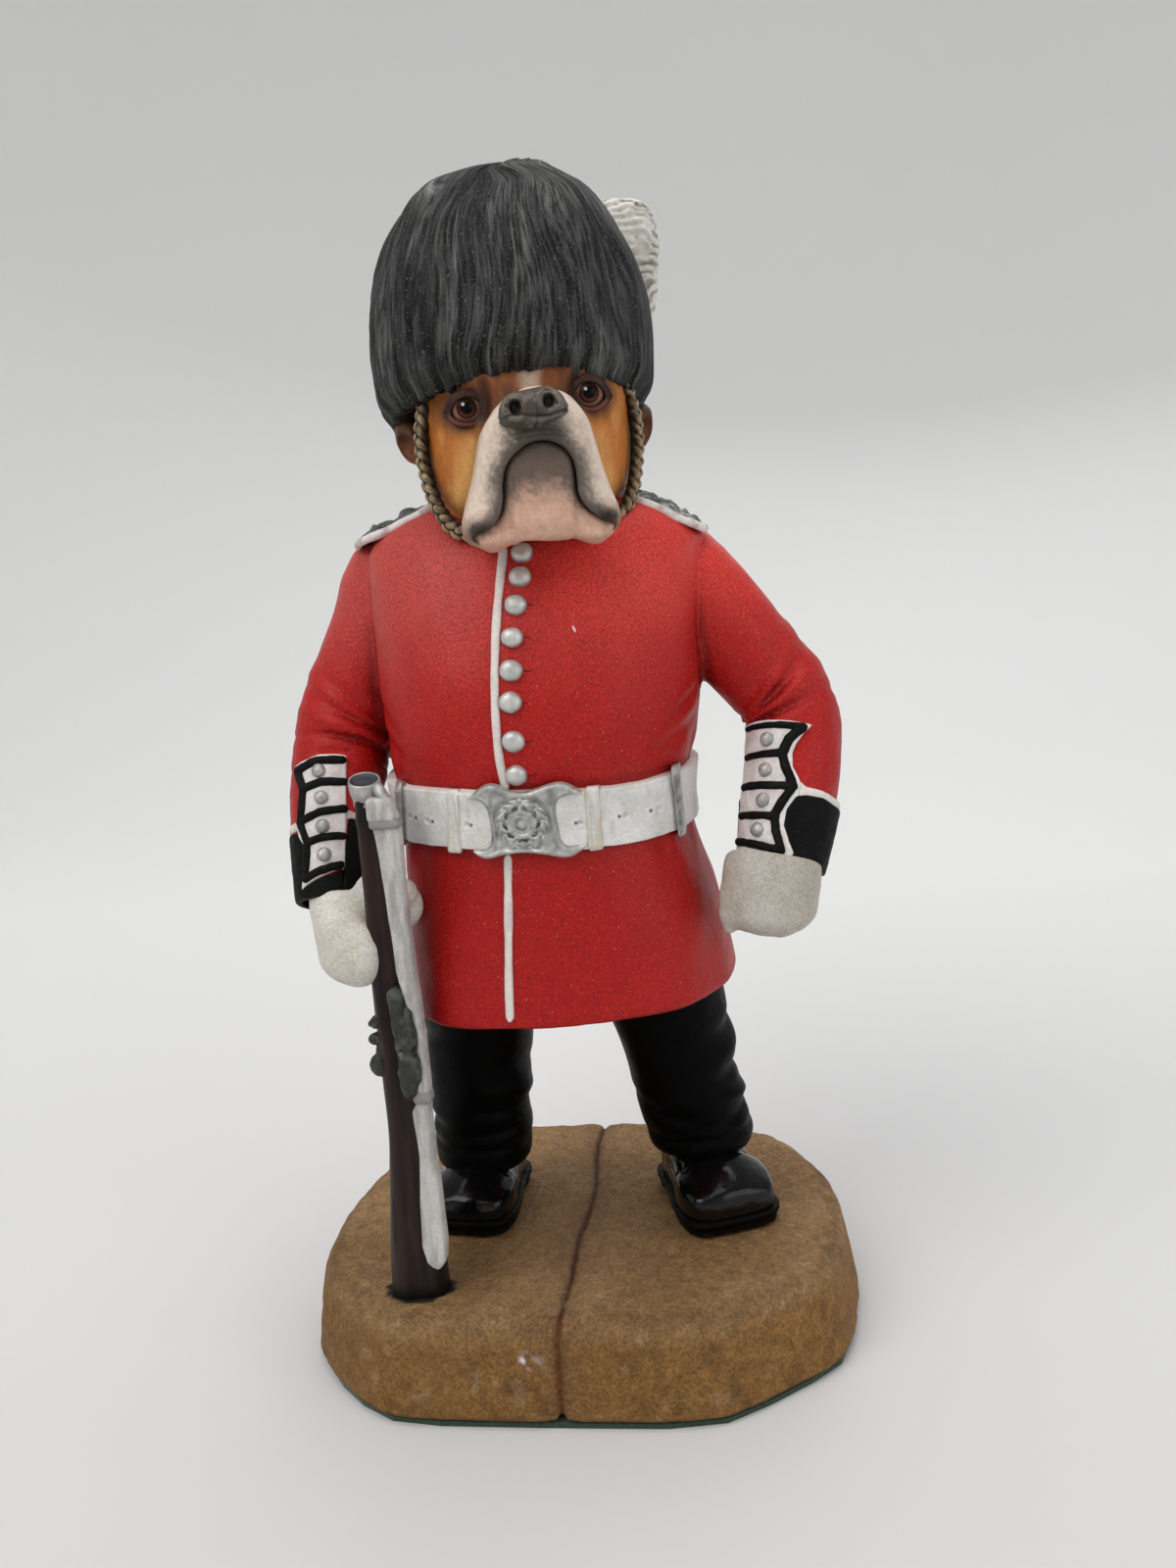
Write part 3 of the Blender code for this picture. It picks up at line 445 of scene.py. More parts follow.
# ----------------------------------------------------------------- materials
def paint(name, rough=(0.45, 0.6), grain=(0.35, 0.02), mottle=(5.0, 0.08), lumps=None,
          speck=None, metallic=0.0, coat=0.0, spec=0.5, sheen=0.0, stretch=None, fleck=None):
    """Hand-painted finish: the piece's own tones, painted light and shade included, broken by grain, mottling and
    specks.

    grain and lumps are (size mm, height mm); mottle and fleck are (size mm, share);
    speck is (size mm, amount 0..1, colour); the specks are a dusting on most paints and a painted sparkle highlight on
    the red paint.
    """
    m = bpy.data.materials.new(name)
    m.use_nodes = True
    nt = m.node_tree
    nt.nodes.clear()
    new, link = nt.nodes.new, nt.links.new
    out = new('ShaderNodeOutputMaterial')
    bsdf = new('ShaderNodeBsdfPrincipled')
    link(bsdf.outputs['BSDF'], out.inputs['Surface'])
    bsdf.inputs['Metallic'].default_value = metallic
    bsdf.inputs['Specular IOR Level'].default_value = spec
    if coat:
        bsdf.inputs['Coat Weight'].default_value = coat
        bsdf.inputs['Coat Roughness'].default_value = 0.12
    if sheen:
        bsdf.inputs['Sheen Weight'].default_value = sheen
        bsdf.inputs['Sheen Roughness'].default_value = 0.5
    place = new('ShaderNodeTexCoord')
    where = place.outputs['Object']
    if stretch:
        mp = new('ShaderNodeMapping')
        mp.inputs['Scale'].default_value = stretch
        link(where, mp.inputs['Vector'])
        where = mp.outputs['Vector']

    def cloud(size, detail=2.0, rough_=0.55):
        n = new('ShaderNodeTexNoise')
        n.inputs['Scale'].default_value = 1000.0 / size
        n.inputs['Detail'].default_value = detail
        n.inputs['Roughness'].default_value = rough_
        link(where, n.inputs['Vector'])
        return n.outputs['Fac']

    def ramp(fac, a0, a1, b0, b1):
        r = new('ShaderNodeMapRange')
        r.inputs['From Min'].default_value = a0
        r.inputs['From Max'].default_value = a1
        r.inputs['To Min'].default_value = b0
        r.inputs['To Max'].default_value = b1
        link(fac, r.inputs['Value'])
        return r.outputs['Result']

    tone = new('ShaderNodeAttribute')
    tone.attribute_name = "tone"
    colour = tone.outputs['Color']
    mul = new('ShaderNodeMix')
    mul.data_type = 'RGBA'
    mul.blend_type = 'MULTIPLY'
    mul.inputs[0].default_value = 1.0
    link(colour, mul.inputs[6])
    link(ramp(cloud(mottle[0], 5.0, 0.62), 0.3, 0.7, 1 - mottle[1], 1 + mottle[1]), mul.inputs[7])
    colour = mul.outputs[2]
    if fleck:
        fine_mul = new('ShaderNodeMix')
        fine_mul.data_type = 'RGBA'
        fine_mul.blend_type = 'MULTIPLY'
        fine_mul.inputs[0].default_value = 1.0
        link(colour, fine_mul.inputs[6])
        link(ramp(cloud(fleck[0], 2.0, 0.6), 0.32, 0.68, 1 - fleck[1], 1 + fleck[1]), fine_mul.inputs[7])
        colour = fine_mul.outputs[2]
    if speck:
        # specks: a dusting on most paints, a painted sparkle highlight on the red paint
        speck_mix = new('ShaderNodeMix')
        speck_mix.data_type = 'RGBA'
        link(ramp(cloud(speck[0], 1.0, 0.4), 0.70, 0.78, 0.0, speck[1]), speck_mix.inputs[0])
        link(colour, speck_mix.inputs[6])
        speck_mix.inputs[7].default_value = (*speck[2], 1.0)
        colour = speck_mix.outputs[2]
    link(colour, bsdf.inputs['Base Color'])
    link(ramp(cloud(mottle[0] * 0.6, 3.0), 0.3, 0.7, rough[0], rough[1]), bsdf.inputs['Roughness'])
    fine = new('ShaderNodeBump')
    fine.inputs['Strength'].default_value = 1.0
    fine.inputs['Distance'].default_value = grain[1] * MM
    link(cloud(grain[0], 2.0), fine.inputs['Height'])
    if lumps:
        coarse = new('ShaderNodeBump')
        coarse.inputs['Strength'].default_value = 1.0
        coarse.inputs['Distance'].default_value = lumps[1] * MM
        link(cloud(lumps[0], 3.0), coarse.inputs['Height'])
        link(coarse.outputs['Normal'], fine.inputs['Normal'])
    link(fine.outputs['Normal'], bsdf.inputs['Normal'])
    return m


# the red paint's light pink specks are painted sparkle highlights
RED_PAINT = paint("red_paint", (0.40, 0.54), (0.42, 0.11), (7.0, 0.06), (2.4, 0.10),
                  (0.25, 0.38, (0.70, 0.33, 0.30)), spec=0.24, fleck=(0.27, 0.34))
WHITE_PAINT = paint("white_paint", (0.45, 0.62), (0.5, 0.03), (3.0, 0.07), (1.8, 0.06), spec=0.4,
                    fleck=(0.36, 0.09))
GLOVE_PAINT = paint("glove_paint", (0.5, 0.66), (0.5, 0.07), (2.6, 0.05), (2.2, 0.05), spec=0.28,
                    fleck=(0.34, 0.16))
SILVER_PAINT = paint("silver_paint", (0.36, 0.52), (0.35, 0.03), (1.4, 0.16), (0.9, 0.05),
                     metallic=0.45, spec=0.5)
GLOSS_BLACK = paint("boot_gloss", (0.10, 0.20), (0.6, 0.02), (3.0, 0.25), (2.0, 0.12),
                    coat=0.22, spec=0.2)
SATIN_BLACK = paint("trouser_black", (0.36, 0.52), (0.42, 0.06), (3.0, 0.25), (2.4, 0.08),
                    (0.30, 0.08, (0.10, 0.10, 0.095)), spec=0.05)
CUFF_BLACK = paint("cuff_black", (0.5, 0.65), (0.4, 0.07), (2.0, 0.25), (1.3, 0.06),
                   (0.34, 0.16, (0.14, 0.14, 0.13)), spec=0.08)
STONE = paint("stone_paint", (0.62, 0.82), (0.5, 0.26), (1.7, 0.22), (1.6, 0.26),
              (0.50, 0.50, (0.10, 0.06, 0.03)), spec=0.25, fleck=(0.42, 0.33))
FUR_BLACK = paint("bearskin_paint", (0.5, 0.7), (0.3, 0.05), (3.0, 0.18), None,
                  (0.26, 0.55, (0.34, 0.34, 0.32)), spec=0.35)
FACE = paint("face_paint", (0.44, 0.58), (0.32, 0.06), (0.9, 0.08), (1.6, 0.04), spec=0.24,
             fleck=(0.28, 0.09))
NOSE_PAINT = paint("nose_paint", (0.36, 0.5), (0.3, 0.05), (0.9, 0.2), (0.7, 0.05), spec=0.28)
EYE_GLOSS = paint("eye_gloss", (0.22, 0.30), (0.8, 0.003), (0.6, 0.15), coat=0.04, spec=0.06)
PLUME_WHITE = paint("plume_white", (0.5, 0.66), (0.3, 0.05), (1.6, 0.08), spec=0.35)
BRAID = paint("braid_brass", (0.42, 0.6), (0.3, 0.06), (0.8, 0.22), metallic=0.15, spec=0.45)
STRAP_GREY = paint("strap_grey", (0.42, 0.58), (0.35, 0.06), (1.0, 0.2), spec=0.45, metallic=0.1)
WALNUT = paint("walnut_paint", (0.30, 0.46), (0.4, 0.03), (2.4, 0.22), (1.2, 0.05),
               (0.4, 0.25, (0.02, 0.012, 0.008)), spec=0.18, stretch=(1.0, 1.0, 0.28))
GUN_GREY = paint("gun_grey", (0.36, 0.52), (0.35, 0.06), (1.2, 0.25), (0.9, 0.06), metallic=0.1, spec=0.25)


def felt_material():
    m = bpy.data.materials.new("green_felt")
    m.use_nodes = True
    nt = m.node_tree
    new, link = nt.nodes.new, nt.links.new
    bsdf = nt.nodes['Principled BSDF']
    bsdf.inputs['Sheen Weight'].default_value = 0.4
    place = new('ShaderNodeTexCoord')
    n = new('ShaderNodeTexNoise')
    n.inputs['Scale'].default_value = 2600.0
    n.inputs['Detail'].default_value = 4.0
    link(place.outputs['Object'], n.inputs['Vector'])
    r = new('ShaderNodeValToRGB')
    r.color_ramp.elements[0].position = 0.3
    r.color_ramp.elements[0].color = (0.006, 0.022, 0.010, 1)
    r.color_ramp.elements[1].position = 0.72
    r.color_ramp.elements[1].color = (0.020, 0.060, 0.028, 1)
    link(n.outputs['Fac'], r.inputs['Fac'])
    link(r.outputs['Color'], bsdf.inputs['Base Color'])
    rr = new('ShaderNodeMapRange')
    rr.inputs['To Min'].default_value = 0.85
    rr.inputs['To Max'].default_value = 1.0
    link(n.outputs['Fac'], rr.inputs['Value'])
    link(rr.outputs['Result'], bsdf.inputs['Roughness'])
    b = new('ShaderNodeBump')
    b.inputs['Distance'].default_value = 0.15 * MM
    link(n.outputs['Fac'], b.inputs['Height'])
    link(b.outputs['Normal'], bsdf.inputs['Normal'])
    return m


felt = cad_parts["felt_pad"]
felt.data.materials.clear()
felt.data.materials.append(felt_material())


# -------------------------------------------------------------- shared sizes
GAP = 0.3
BASE_TOP = 14.0
TUNIC_CY, TUNIC_N = -1.5, 2.35
BELT_Z0, BELT_Z1, BELT_T = 74.1, 81.9, 1.1
TUNIC = np.array([
    (51.0, 1.2, 22.5, -21.6, 17.6), (56.5, 1.0, 21.9, -21.0, 17.0),
    (64.0, 0.5, 21.2, -20.3, 16.0), (71.0, -0.4, 20.0, -19.6, 15.0),
    (76.0, -0.7, 19.5, -19.4, 14.6), (81.0, -0.6, 19.9, -20.2, 14.8),
    (87.0, -0.1, 20.9, -21.2, 15.2), (94.0, 0.2, 21.6, -20.9, 15.6),
    (101.0, 0.2, 21.8, -19.3, 15.8), (107.0, 0.2, 22.0, -17.2, 15.0),
    (111.5, 0.2, 21.6, -14.8, 13.4), (114.2, 0.3, 19.4, -12.6, 11.8),
    (116.2, 0.4, 15.6, -10.6, 10.4), (117.4, 0.4, 11.6, -9.0, 9.2)])
SLEEVE = {
    "right": np.array([(-15.5, 1.5, 108.0, 5.6), (-19.5, 1.0, 107.5, 6.7),
                       (-21.6, 0.8, 102.5, 6.7), (-24.2, 0.1, 97.0, 6.7),
                       (-26.6, -0.9, 91.0, 6.9), (-28.0, -2.6, 86.0, 6.9),
                       (-28.7, -5.8, 80.5, 6.2), (-29.0, -9.2, 74.5, 5.5),
                       (-29.0, -13.5, 67.0, 4.3)]),
    "left": np.array([(15.5, 1.5, 108.0, 5.6), (18.9, 1.2, 106.6, 6.4),
                      (22.0, 0.8, 102.5, 6.8), (26.1, 0.4, 97.0, 6.8),
                      (30.9, -0.2, 91.2, 6.6), (33.4, -1.8, 86.0, 6.4),
                      (33.2, -4.6, 80.5, 6.2), (32.2, -7.3, 74.6, 6.0),
                      (30.8, -10.1, 68.2, 5.3)]),
}
HEAD = Matrix.Translation((0.3, 0, 0)) @ Matrix.Rotation(math.radians(12.0), 4, 'Z')

RED = srgb(172, 24, 20)
# painted shade on the red cloth
RED_SHADE = srgb(104, 11, 12)
WHITE = srgb(232, 229, 222)
DIRTY = srgb(176, 164, 142)
BLACK = srgb(16, 17, 16)


def hermite(rows, z):
    """Smooth interpolation of a table's columns at heights z."""
    x, y = rows[:, 0], rows[:, 1:]
    m = np.empty_like(y)
    m[1:-1] = (y[2:] - y[:-2]) / (x[2:] - x[:-2])[:, None]
    m[0] = (y[1] - y[0]) / (x[1] - x[0])
    m[-1] = (y[-1] - y[-2]) / (x[-1] - x[-2])
    z = np.asarray(z, float)
    k = np.clip(np.searchsorted(x, z) - 1, 0, len(x) - 2)
    h = x[k + 1] - x[k]
    t = np.clip((z - x[k]) / h, 0, 1)[..., None]
    h = h[..., None]
    return ((2 * t ** 3 - 3 * t ** 2 + 1) * y[k] + (t ** 3 - 2 * t ** 2 + t) * h * m[k]
            + (3 * t ** 2 - 2 * t ** 3) * y[k + 1] + (t ** 3 - t ** 2) * h * m[k + 1])


def tunic_at(z):
    q = hermite(TUNIC, z)
    return q[..., 0], q[..., 1], TUNIC_CY - q[..., 2], q[..., 3] - TUNIC_CY


def tunic_point(deg, z, out=0.0):
    """Points on the tunic's skin: -90 is the front middle, 0 the dog's left."""
    deg, z, out = np.broadcast_arrays(np.asarray(deg, float), z, out)
    cx, a, front, back = tunic_at(z)
    c, s = np.cos(np.radians(deg)), np.sin(np.radians(deg))
    depth = np.where(s > 0, back, front) + out
    e = 2 / TUNIC_N
    return np.stack([cx + (a + out) * np.sign(c) * np.abs(c) ** e,
                     TUNIC_CY + depth * np.sign(s) * np.abs(s) ** e, z], -1)


def tunic_front(x, z, out=0.0):
    x, z, out = np.broadcast_arrays(np.asarray(x, float), z, out)
    cx, a, front, back = tunic_at(z)
    u = np.minimum(np.abs((x - cx) / (a + out)), 0.999)
    return np.stack([x, TUNIC_CY - (front + out) * (1 - u ** TUNIC_N) ** (1 / TUNIC_N), z], -1)


def tunic_normal(x, z):
    e = 0.4
    n = np.cross(tunic_front(x + e, z) - tunic_front(x - e, z),
                 tunic_front(x, z + e) - tunic_front(x, z - e))
    return n / np.linalg.norm(n, axis=-1, keepdims=True)


def tones(n, colour):
    return np.tile(np.asarray(colour, float), (n, 1))


def open_share(block, d, verts, reach):
    """1 on open or proud places, towards 0 in creases."""
    g = block.gradient(d, verts)
    g /= np.maximum(np.linalg.norm(g, axis=1), 1e-6)[:, None]
    return np.clip(block.sample(d, verts + g * reach) / reach, 0, 1.4)


def edge_share(block, d, verts, reach):
    """Towards 1 on sharp convex edges."""
    g = block.gradient(d, verts)
    g /= np.maximum(np.linalg.norm(g, axis=1), 1e-6)[:, None]
    return np.clip(1 + block.sample(d, verts - g * reach) / reach, 0, 1)


# ---------------------------------------------------------------- base block
# outline at the table, round from the dog's right by the front
BASE_EDGE = [(-39.0, -3.0), (-38.4, -11.5), (-36.8, -16.6), (-32.8, -22.4), (-28.8, -26.6), (-24.0, -29.8),
             (-17.0, -30.9), (-1.0, -31.3), (13.0, -31.4), (20.6, -30.2), (26.5, -26.2), (31.8, -21.8), (36.0, -17.4),
             (38.2, -9.5), (39.0, 0.0), (38.4, 8.0), (36.2, 15.0), (31.8, 22.4), (25.0, 28.6), (17.0, 31.4),
             (6.0, 32.2), (-10.0, 32.2), (-22.0, 31.2), (-30.0, 27.0), (-35.6, 18.0), (-38.6, 8.0)]


def build_base():
    blk = Block((-40.5, -33, -0.2), (40.5, 34, 15.2), 0.42)
    x, y, z = blk.x, blk.y, blk.z
    t = np.clip(z / BASE_TOP, 0, 1)
    lean = t ** 1.25
    flat = poly_distance(x + 0 * y, y + 0 * x, catmull(BASE_EDGE, 150, closed=True))
    side = flat + lean * (2.3 + 0.6 * smooth(-8, -24, y) - 0.8 * smooth(8, 26, y)) - 0.1
    lump = 0.30 * fbm(x / 9, y / 9, z / 9, 3, 3)
    grit = 0.10 * fbm(x / 1.5, y / 1.5, z / 1.5, 2, 9)
    d = smax(side, z - F4(BASE_TOP) + 0.0 * x, 3.2) + lump * 0.6 + grit
    d = smax(d, F4(1.0) - z, 0.9)
    path = catmull([(0.1, 33.0, 14.0), (-0.5, 22.0, 14.0), (-0.1, 15.0, 14.0), (0.6, 7.0, 14.0),
                    (0.2, 0.0, 14.0), (-0.3, -9.0, 14.0), (-0.2, -18.0, 13.9),
                    (-0.5, -24.6, 13.3), (-0.7, -27.6, 11.0), (-0.9, -29.4, 7.0),
                    (-0.8, -30.9, 1.0)], 46)
    wob = noise(path[:, 1] * 0.7, path[:, 2] * 0.7, 0.3, 5)
    path[:, 0] += 0.14 * wob
    order = np.argsort(path[:, 1])
    run_y, run_x = path[order, 1], path[order, 0]
    crack = np.abs(x - np.interp(blk.ax[1], run_y, run_x).astype(F4)[None, :, None]) + 0.0 * z
    d = d + 0.6 * np.exp(-(crack / 0.40) ** 2) + 0.15 * np.exp(-(crack / 1.6) ** 2)
    d = blk.full(d)
    v, f = blk.skin(d, 2)
    near = np.abs(v[:, 0] - np.interp(v[:, 1], run_y, run_x))
    big = fbm(v[:, 0] / 11, v[:, 1] / 11, v[:, 2] / 11, 3, 21)
    small = fbm(v[:, 0] / 2.2, v[:, 1] / 2.2, v[:, 2] / 2.2, 3, 31)
    streak = fbm(v[:, 0] / 2.4, v[:, 1] / 2.4, v[:, 2] / 2.8, 3, 41)
    col = mix(srgb(131, 100, 64), srgb(148, 117, 79), smooth(-0.8, 0.8, big + 0.35 * small))
    col = mix(col, srgb(106, 77, 45), 0.4 * smooth(0.2, 0.95, small))
    wall = smooth(13.4, 9.5, v[:, 2])
    col = mix(col, srgb(120, 84, 39), 0.8 * wall)
    col = mix(col, srgb(92, 62, 30), 0.45 * wall * smooth(0.1, 0.8, streak))
    opened = open_share(blk, d, v, 0.9)
    # painted shade in the hollows
    col = mix(col, srgb(76, 50, 27), 0.55 * smooth(0.95, 0.6, opened))
    top = smooth(12.5, 13.9, v[:, 2])
    # painted light: the walls lighter towards the dog's left and the top lighter towards the back
    col = col * (1 + 0.16 * wall * smooth(14, 32, v[:, 0]) + 0.22 * top * smooth(4, 26, v[:, 1]))[:, None]
    stain = np.exp(-(near / (2.4 + 1.2 * noise(v[:, 1] / 4, v[:, 2] / 4, 0, 8))) ** 2)
    col = mix(col, srgb(108, 76, 50), 0.5 * stain)
    line = np.exp(-(near / 0.36) ** 2)
    col = mix(col, mix(srgb(92, 52, 24), srgb(58, 36, 24), top), np.clip(1.15 * line, 0, 1))
    # grey scuffs on the front corner, a worn chip beside the crack
    chip = (np.exp(-(((v[:, 0] + 5.1) / 1.5) ** 2 + ((v[:, 2] - 9.0) / 0.7) ** 2))
            * (v[:, 1] < -24) * smooth(-0.1, 0.4, noise(v[:, 0] / 0.8, v[:, 2] / 0.6, 0, 77)))
    col = mix(col, srgb(205, 200, 205), np.clip(1.3 * chip, 0, 1))
    scuff = smooth(0.55, 0.9, fbm(v[:, 0] / 2, v[:, 1] / 2, v[:, 2] / 2, 2, 91)) * smooth(-6, -20, v[:, 1])
    col = mix(col, srgb(166, 138, 112), 0.22 * scuff)
    # painted contact shadow: a dark ring round the rifle butt
    ring = np.hypot((v[:, 0] + 20.6) / 1.16, v[:, 1] + 20.4) + 0.5 * noise(v[:, 0], v[:, 1], 2, 4)
    col = mix(col, srgb(22, 19, 16), smooth(4.3, 3.8, ring) * smooth(11.0, 13.5, v[:, 2]))
    piece("base_block_paving", v, f, STONE, ("base_block",), col)


build_base()


# ------------------------------------------------------------ boots and legs
FOOT = {"right": (-15.4, 5.5, -8.0), "left": (17.2, 5.0, 23.0)}


def build_boot(side):
    fx, fy, splay = FOOT[side]
    place = Matrix.Translation((fx, fy, 0)) @ Matrix.Rotation(math.radians(splay), 4, 'Z')
    if side == "left":
        place = place @ Matrix.Diagonal((1.04, 1.04, 1.0, 1.0))
    half = [(0.0, -13.6), (3.6, -13.5), (6.0, -12.5), (7.0, -9.4), (6.8, -5.6), (6.0, -1.8),
            (5.6, 1.6), (5.4, 4.2), (4.1, 6.5), (0.0, 7.1)]
    outline = catmull(half + [(-a, b) for a, b in half[-2:0:-1]], 90, closed=True)
    # sole with a heel and a welt
    blk = Block((-8.4, -15.2, 13.2), (8.4, 8.6, 18.2), 0.26)
    flat = poly_distance(blk.x + 0 * blk.y, blk.y + 0 * blk.x, outline)
    z = blk.z
    d = smax(flat + 0.35 - 0.12 * np.cos((z - 15.2) * 2.2), np.abs(z - F4(15.45)) - F4(1.15), 0.35)
    arch = blk.box((0, -0.4, 13.9), (9, 1.7, 1.35), 0.5)
    d = smax(d, -arch, 0.5)
    welt = smax(flat - 0.15, np.abs(z - F4(16.2)) - F4(0.42), 0.35)
    d = smin(d, welt, 0.25) + 0.05 * fbm(blk.x / 1.5, blk.y / 1.5, z / 1.5, 2, 12)
    d = blk.full(d)
    v, f = blk.skin(d, 2)
    o = open_share(blk, d, v, 0.6)
    # painted shade in the creases
    col = mix(tones(len(v), srgb(12, 12, 12)), srgb(4, 4, 4), smooth(0.95, 0.5, o))
    # brownish dusting near the foot of the sole
    speck_mix = smooth(15.2, 14.3, v[:, 2]) * smooth(-0.2, 0.6, fbm(v[:, 0], v[:, 1], v[:, 2], 2, 4))
    col = mix(col, srgb(70, 58, 42), 0.35 * speck_mix)
    piece(side + "_boot_sole_welted", v, f, SATIN_BLACK, (side + "_boot_sole",), col, matrix=place)
    # upper
    blk = Block((-8.0, -14.8, 15.9), (8.0, 8.4, 24.6), 0.26)
    x, y, z = blk.x, blk.y, blk.z
    flat = poly_distance(x + 0 * y, y + 0 * x, outline)
    toe = blk.ell((0, -7.6, 17.4), (6.6, 5.8, 5.2))
    vamp = blk.ell((0, -3.0, 18.4), (5.8, 7.0, 5.8))
    heel = blk.ell((0, 2.0, 18.4), (4.9, 4.4, 6.0))
    shaft = blk.cap((0, 0.2, 18), (0, 0.3, 26), 5.1, 5.3)
    d = smin(smin(toe, vamp, 2.2), smin(heel, shaft, 2.0), 2.0)
    foot = smax(flat + 0.5, z - F4(21.4), 2.6)
    d = smin(d, smax(foot, smax(toe, vamp, 0.1) * 0 + z - F4(21.2) - 0.20 * (y + 8) * (y < -4), 2.2), 1.2)
    d = smax(d, flat + 0.45, 0.8)
    cap = y + 6.6 - 0.035 * x * x
    d = d + 0.20 * np.exp(-(cap / 0.38) ** 2) - 0.16 * smooth(0.3, -1.4, cap)
    seam = np.abs(x) - (3.9 + 0.1 * (z - 17))
    d = d + 0.20 * np.exp(-(seam / 0.35) ** 2) * smooth(-4, -1.5, y) * smooth(3.5, 1.5, y)
    for k, zz in enumerate((20.2, 21.5, 22.7)):
        d = d + 0.26 * np.exp(-((z - zz - 0.16 * (y + 3) + 0.05 * x * (1 if k % 2 else -1)) / 0.42) ** 2) \
            * smooth(-6.4, -4.4, y) * smooth(1.5, -1.5, y)
    d = d + 0.05 * fbm(x / 2, y / 2, z / 2, 2, 23)
    d = smax(d, F4(16.55) - z, 0.3)
    d = smax(d, z - F4(24.2), 0.5)
    d = blk.full(d)
    v, f = blk.skin(d, 2)
    o = open_share(blk, d, v, 0.6)
    # painted shade in the creases
    col = mix(tones(len(v), srgb(10, 10, 10)), srgb(3, 3, 3), smooth(0.95, 0.5, o))
    if side == "right":
        place = place @ Matrix.Translation((0, 0, 16.0 * 0.13)) @ Matrix.Diagonal((1.0, 1.0, 0.87, 1.0))
    piece(side + "_boot_leather", v, f, GLOSS_BLACK, (side + "_boot_upper",), col, matrix=place)


LEG = {
    "right": np.array([(20.4, -15.3, 4.9, 7.2), (25.0, -15.3, 4.7, 7.6), (33.0, -14.9, 3.8, 7.6),
                       (42.0, -14.0, 2.4, 8.0), (50.0, -12.3, 1.0, 8.7), (57.0, -11.2, 0.6, 8.4)]),
    "left": np.array([(22.3, 17.3, 5.0, 7.5), (25.0, 17.2, 4.6, 8.1), (33.0, 15.6, 3.6, 8.0),
                      (42.0, 14.5, 2.2, 8.3), (50.0, 12.9, 1.0, 9.0), (57.0, 11.8, 0.6, 8.6)]),
}


def build_leg(side):
    rows = LEG[side]
    s = -1 if side == "right" else 1
    cx = rows[:, 1].mean()
    blk = Block((cx - 13, -12, 19.4), (cx + 13, 16, 58.6), 0.4)
    x, y, z = blk.x, blk.y, blk.z
    q = hermite(rows, blk.ax[2].astype(float)).astype(F4)
    mx, my, r = (q[None, None, :, k] for k in range(3))
    dx, dy = x - mx, y - my
    rad = np.sqrt(dx * dx + dy * dy) + F4(1e-5)
    ang = np.arctan2(dx * s, -dy)      # 0 in front, positive to the outer side
    d = rad - r
    d = d - 0.25 * np.cos(2 * ang) * smooth(40, 25, z)

    def crease(z0, slope, at, spread, width, depth):
        near = np.exp(-(np.angle(np.exp(1j * (ang - at))) / spread) ** 2)
        return depth * near * np.exp(-((z - z0 - slope * np.sin(ang - at) * 6) / width) ** 2)
    if side == "left":
        folds = [(35.4, 0.10, 1.5, 0.75, 1.0, 0.9), (31.6, -0.12, 1.3, 0.6, 0.9, -0.75),
                 (28.6, 0.22, 1.0, 0.9, 0.9, 0.75), (26.0, 0.05, 0.2, 1.5, 0.8, 0.55),
                 (30.6, -0.30, -0.7, 0.9, 1.1, 0.6), (39.0, 0.35, 1.3, 0.55, 1.5, -0.55),
                 (42.8, 0.25, 1.5, 0.6, 1.1, 0.5), (47.0, -0.3, -0.9, 0.7, 1.3, 0.45),
                 (28.5, 0.1, 3.0, 1.2, 1.0, 0.6), (36.0, 0.2, 3.0, 0.9, 1.3, 0.6)]
    else:
        folds = [(30.6, 0.14, -1.0, 0.8, 0.9, 0.75), (33.4, 0.25, -1.1, 0.8, 1.1, -0.6),
                 (27.4, -0.1, -0.4, 1.3, 0.9, 0.6), (25.0, 0.1, 0.0, 1.6, 0.7, 0.5),
                 (37.5, 0.3, -1.2, 0.6, 1.3, 0.6), (43.0, -0.25, 1.0, 0.7, 1.4, 0.5),
                 (29.0, 0.2, 1.2, 0.8, 1.0, 0.6), (28.5, 0.1, 3.0, 1.2, 1.0, 0.6),
                 (36.0, 0.2, 3.0, 0.9, 1.3, 0.6)]
    for args in folds:
        d = d + crease(*args)
    d = d + 0.28 * fbm(x / 7, y / 7, z / 9, 2, 51 if s > 0 else 52)
    d = smax(d, F4(22.6 if side == "left" else 21.1) - z + 0.36 * np.cos(ang) * s, 0.7)
    d = smax(d, z - F4(57.6), 0.6)
    # hollow where the boot goes in
    fx, fy, _ = FOOT[side]
    hole = smax(np.sqrt((x - fx) ** 2 + (y - fy) ** 2) - F4(5.75), z - F4(24.8), 0.4)
    d = smax(d, -hole, 0.3)
    d = blk.full(d)
    v, f = blk.skin(d, 2)
    o = open_share(blk, d, v, 0.9)
    e = edge_share(blk, d, v, 1.2)
    # painted shade in the creases
    col = mix(tones(len(v), srgb(4, 4, 4)), srgb(1, 1, 1), smooth(0.96, 0.6, o))
    # painted highlights on the folds' edges
    col = mix(col, srgb(40, 39, 37), 0.35 * smooth(0.24, 0.5, e) * smooth(-0.4, 0.5, fbm(
        v[:, 0] / 1.5, v[:, 1] / 1.5, v[:, 2] / 1.5, 2, 6)))
    piece(side + "_trouser_cloth", v, f, SATIN_BLACK, (side + "_trouser_leg",), col)


for _side in ("right", "left"):
    build_boot(_side)
    build_leg(_side)


# --------------------------------------------------------- tunic and sleeves
def sleeve_line(side, count=61):
    return catmull(SLEEVE[side], count)


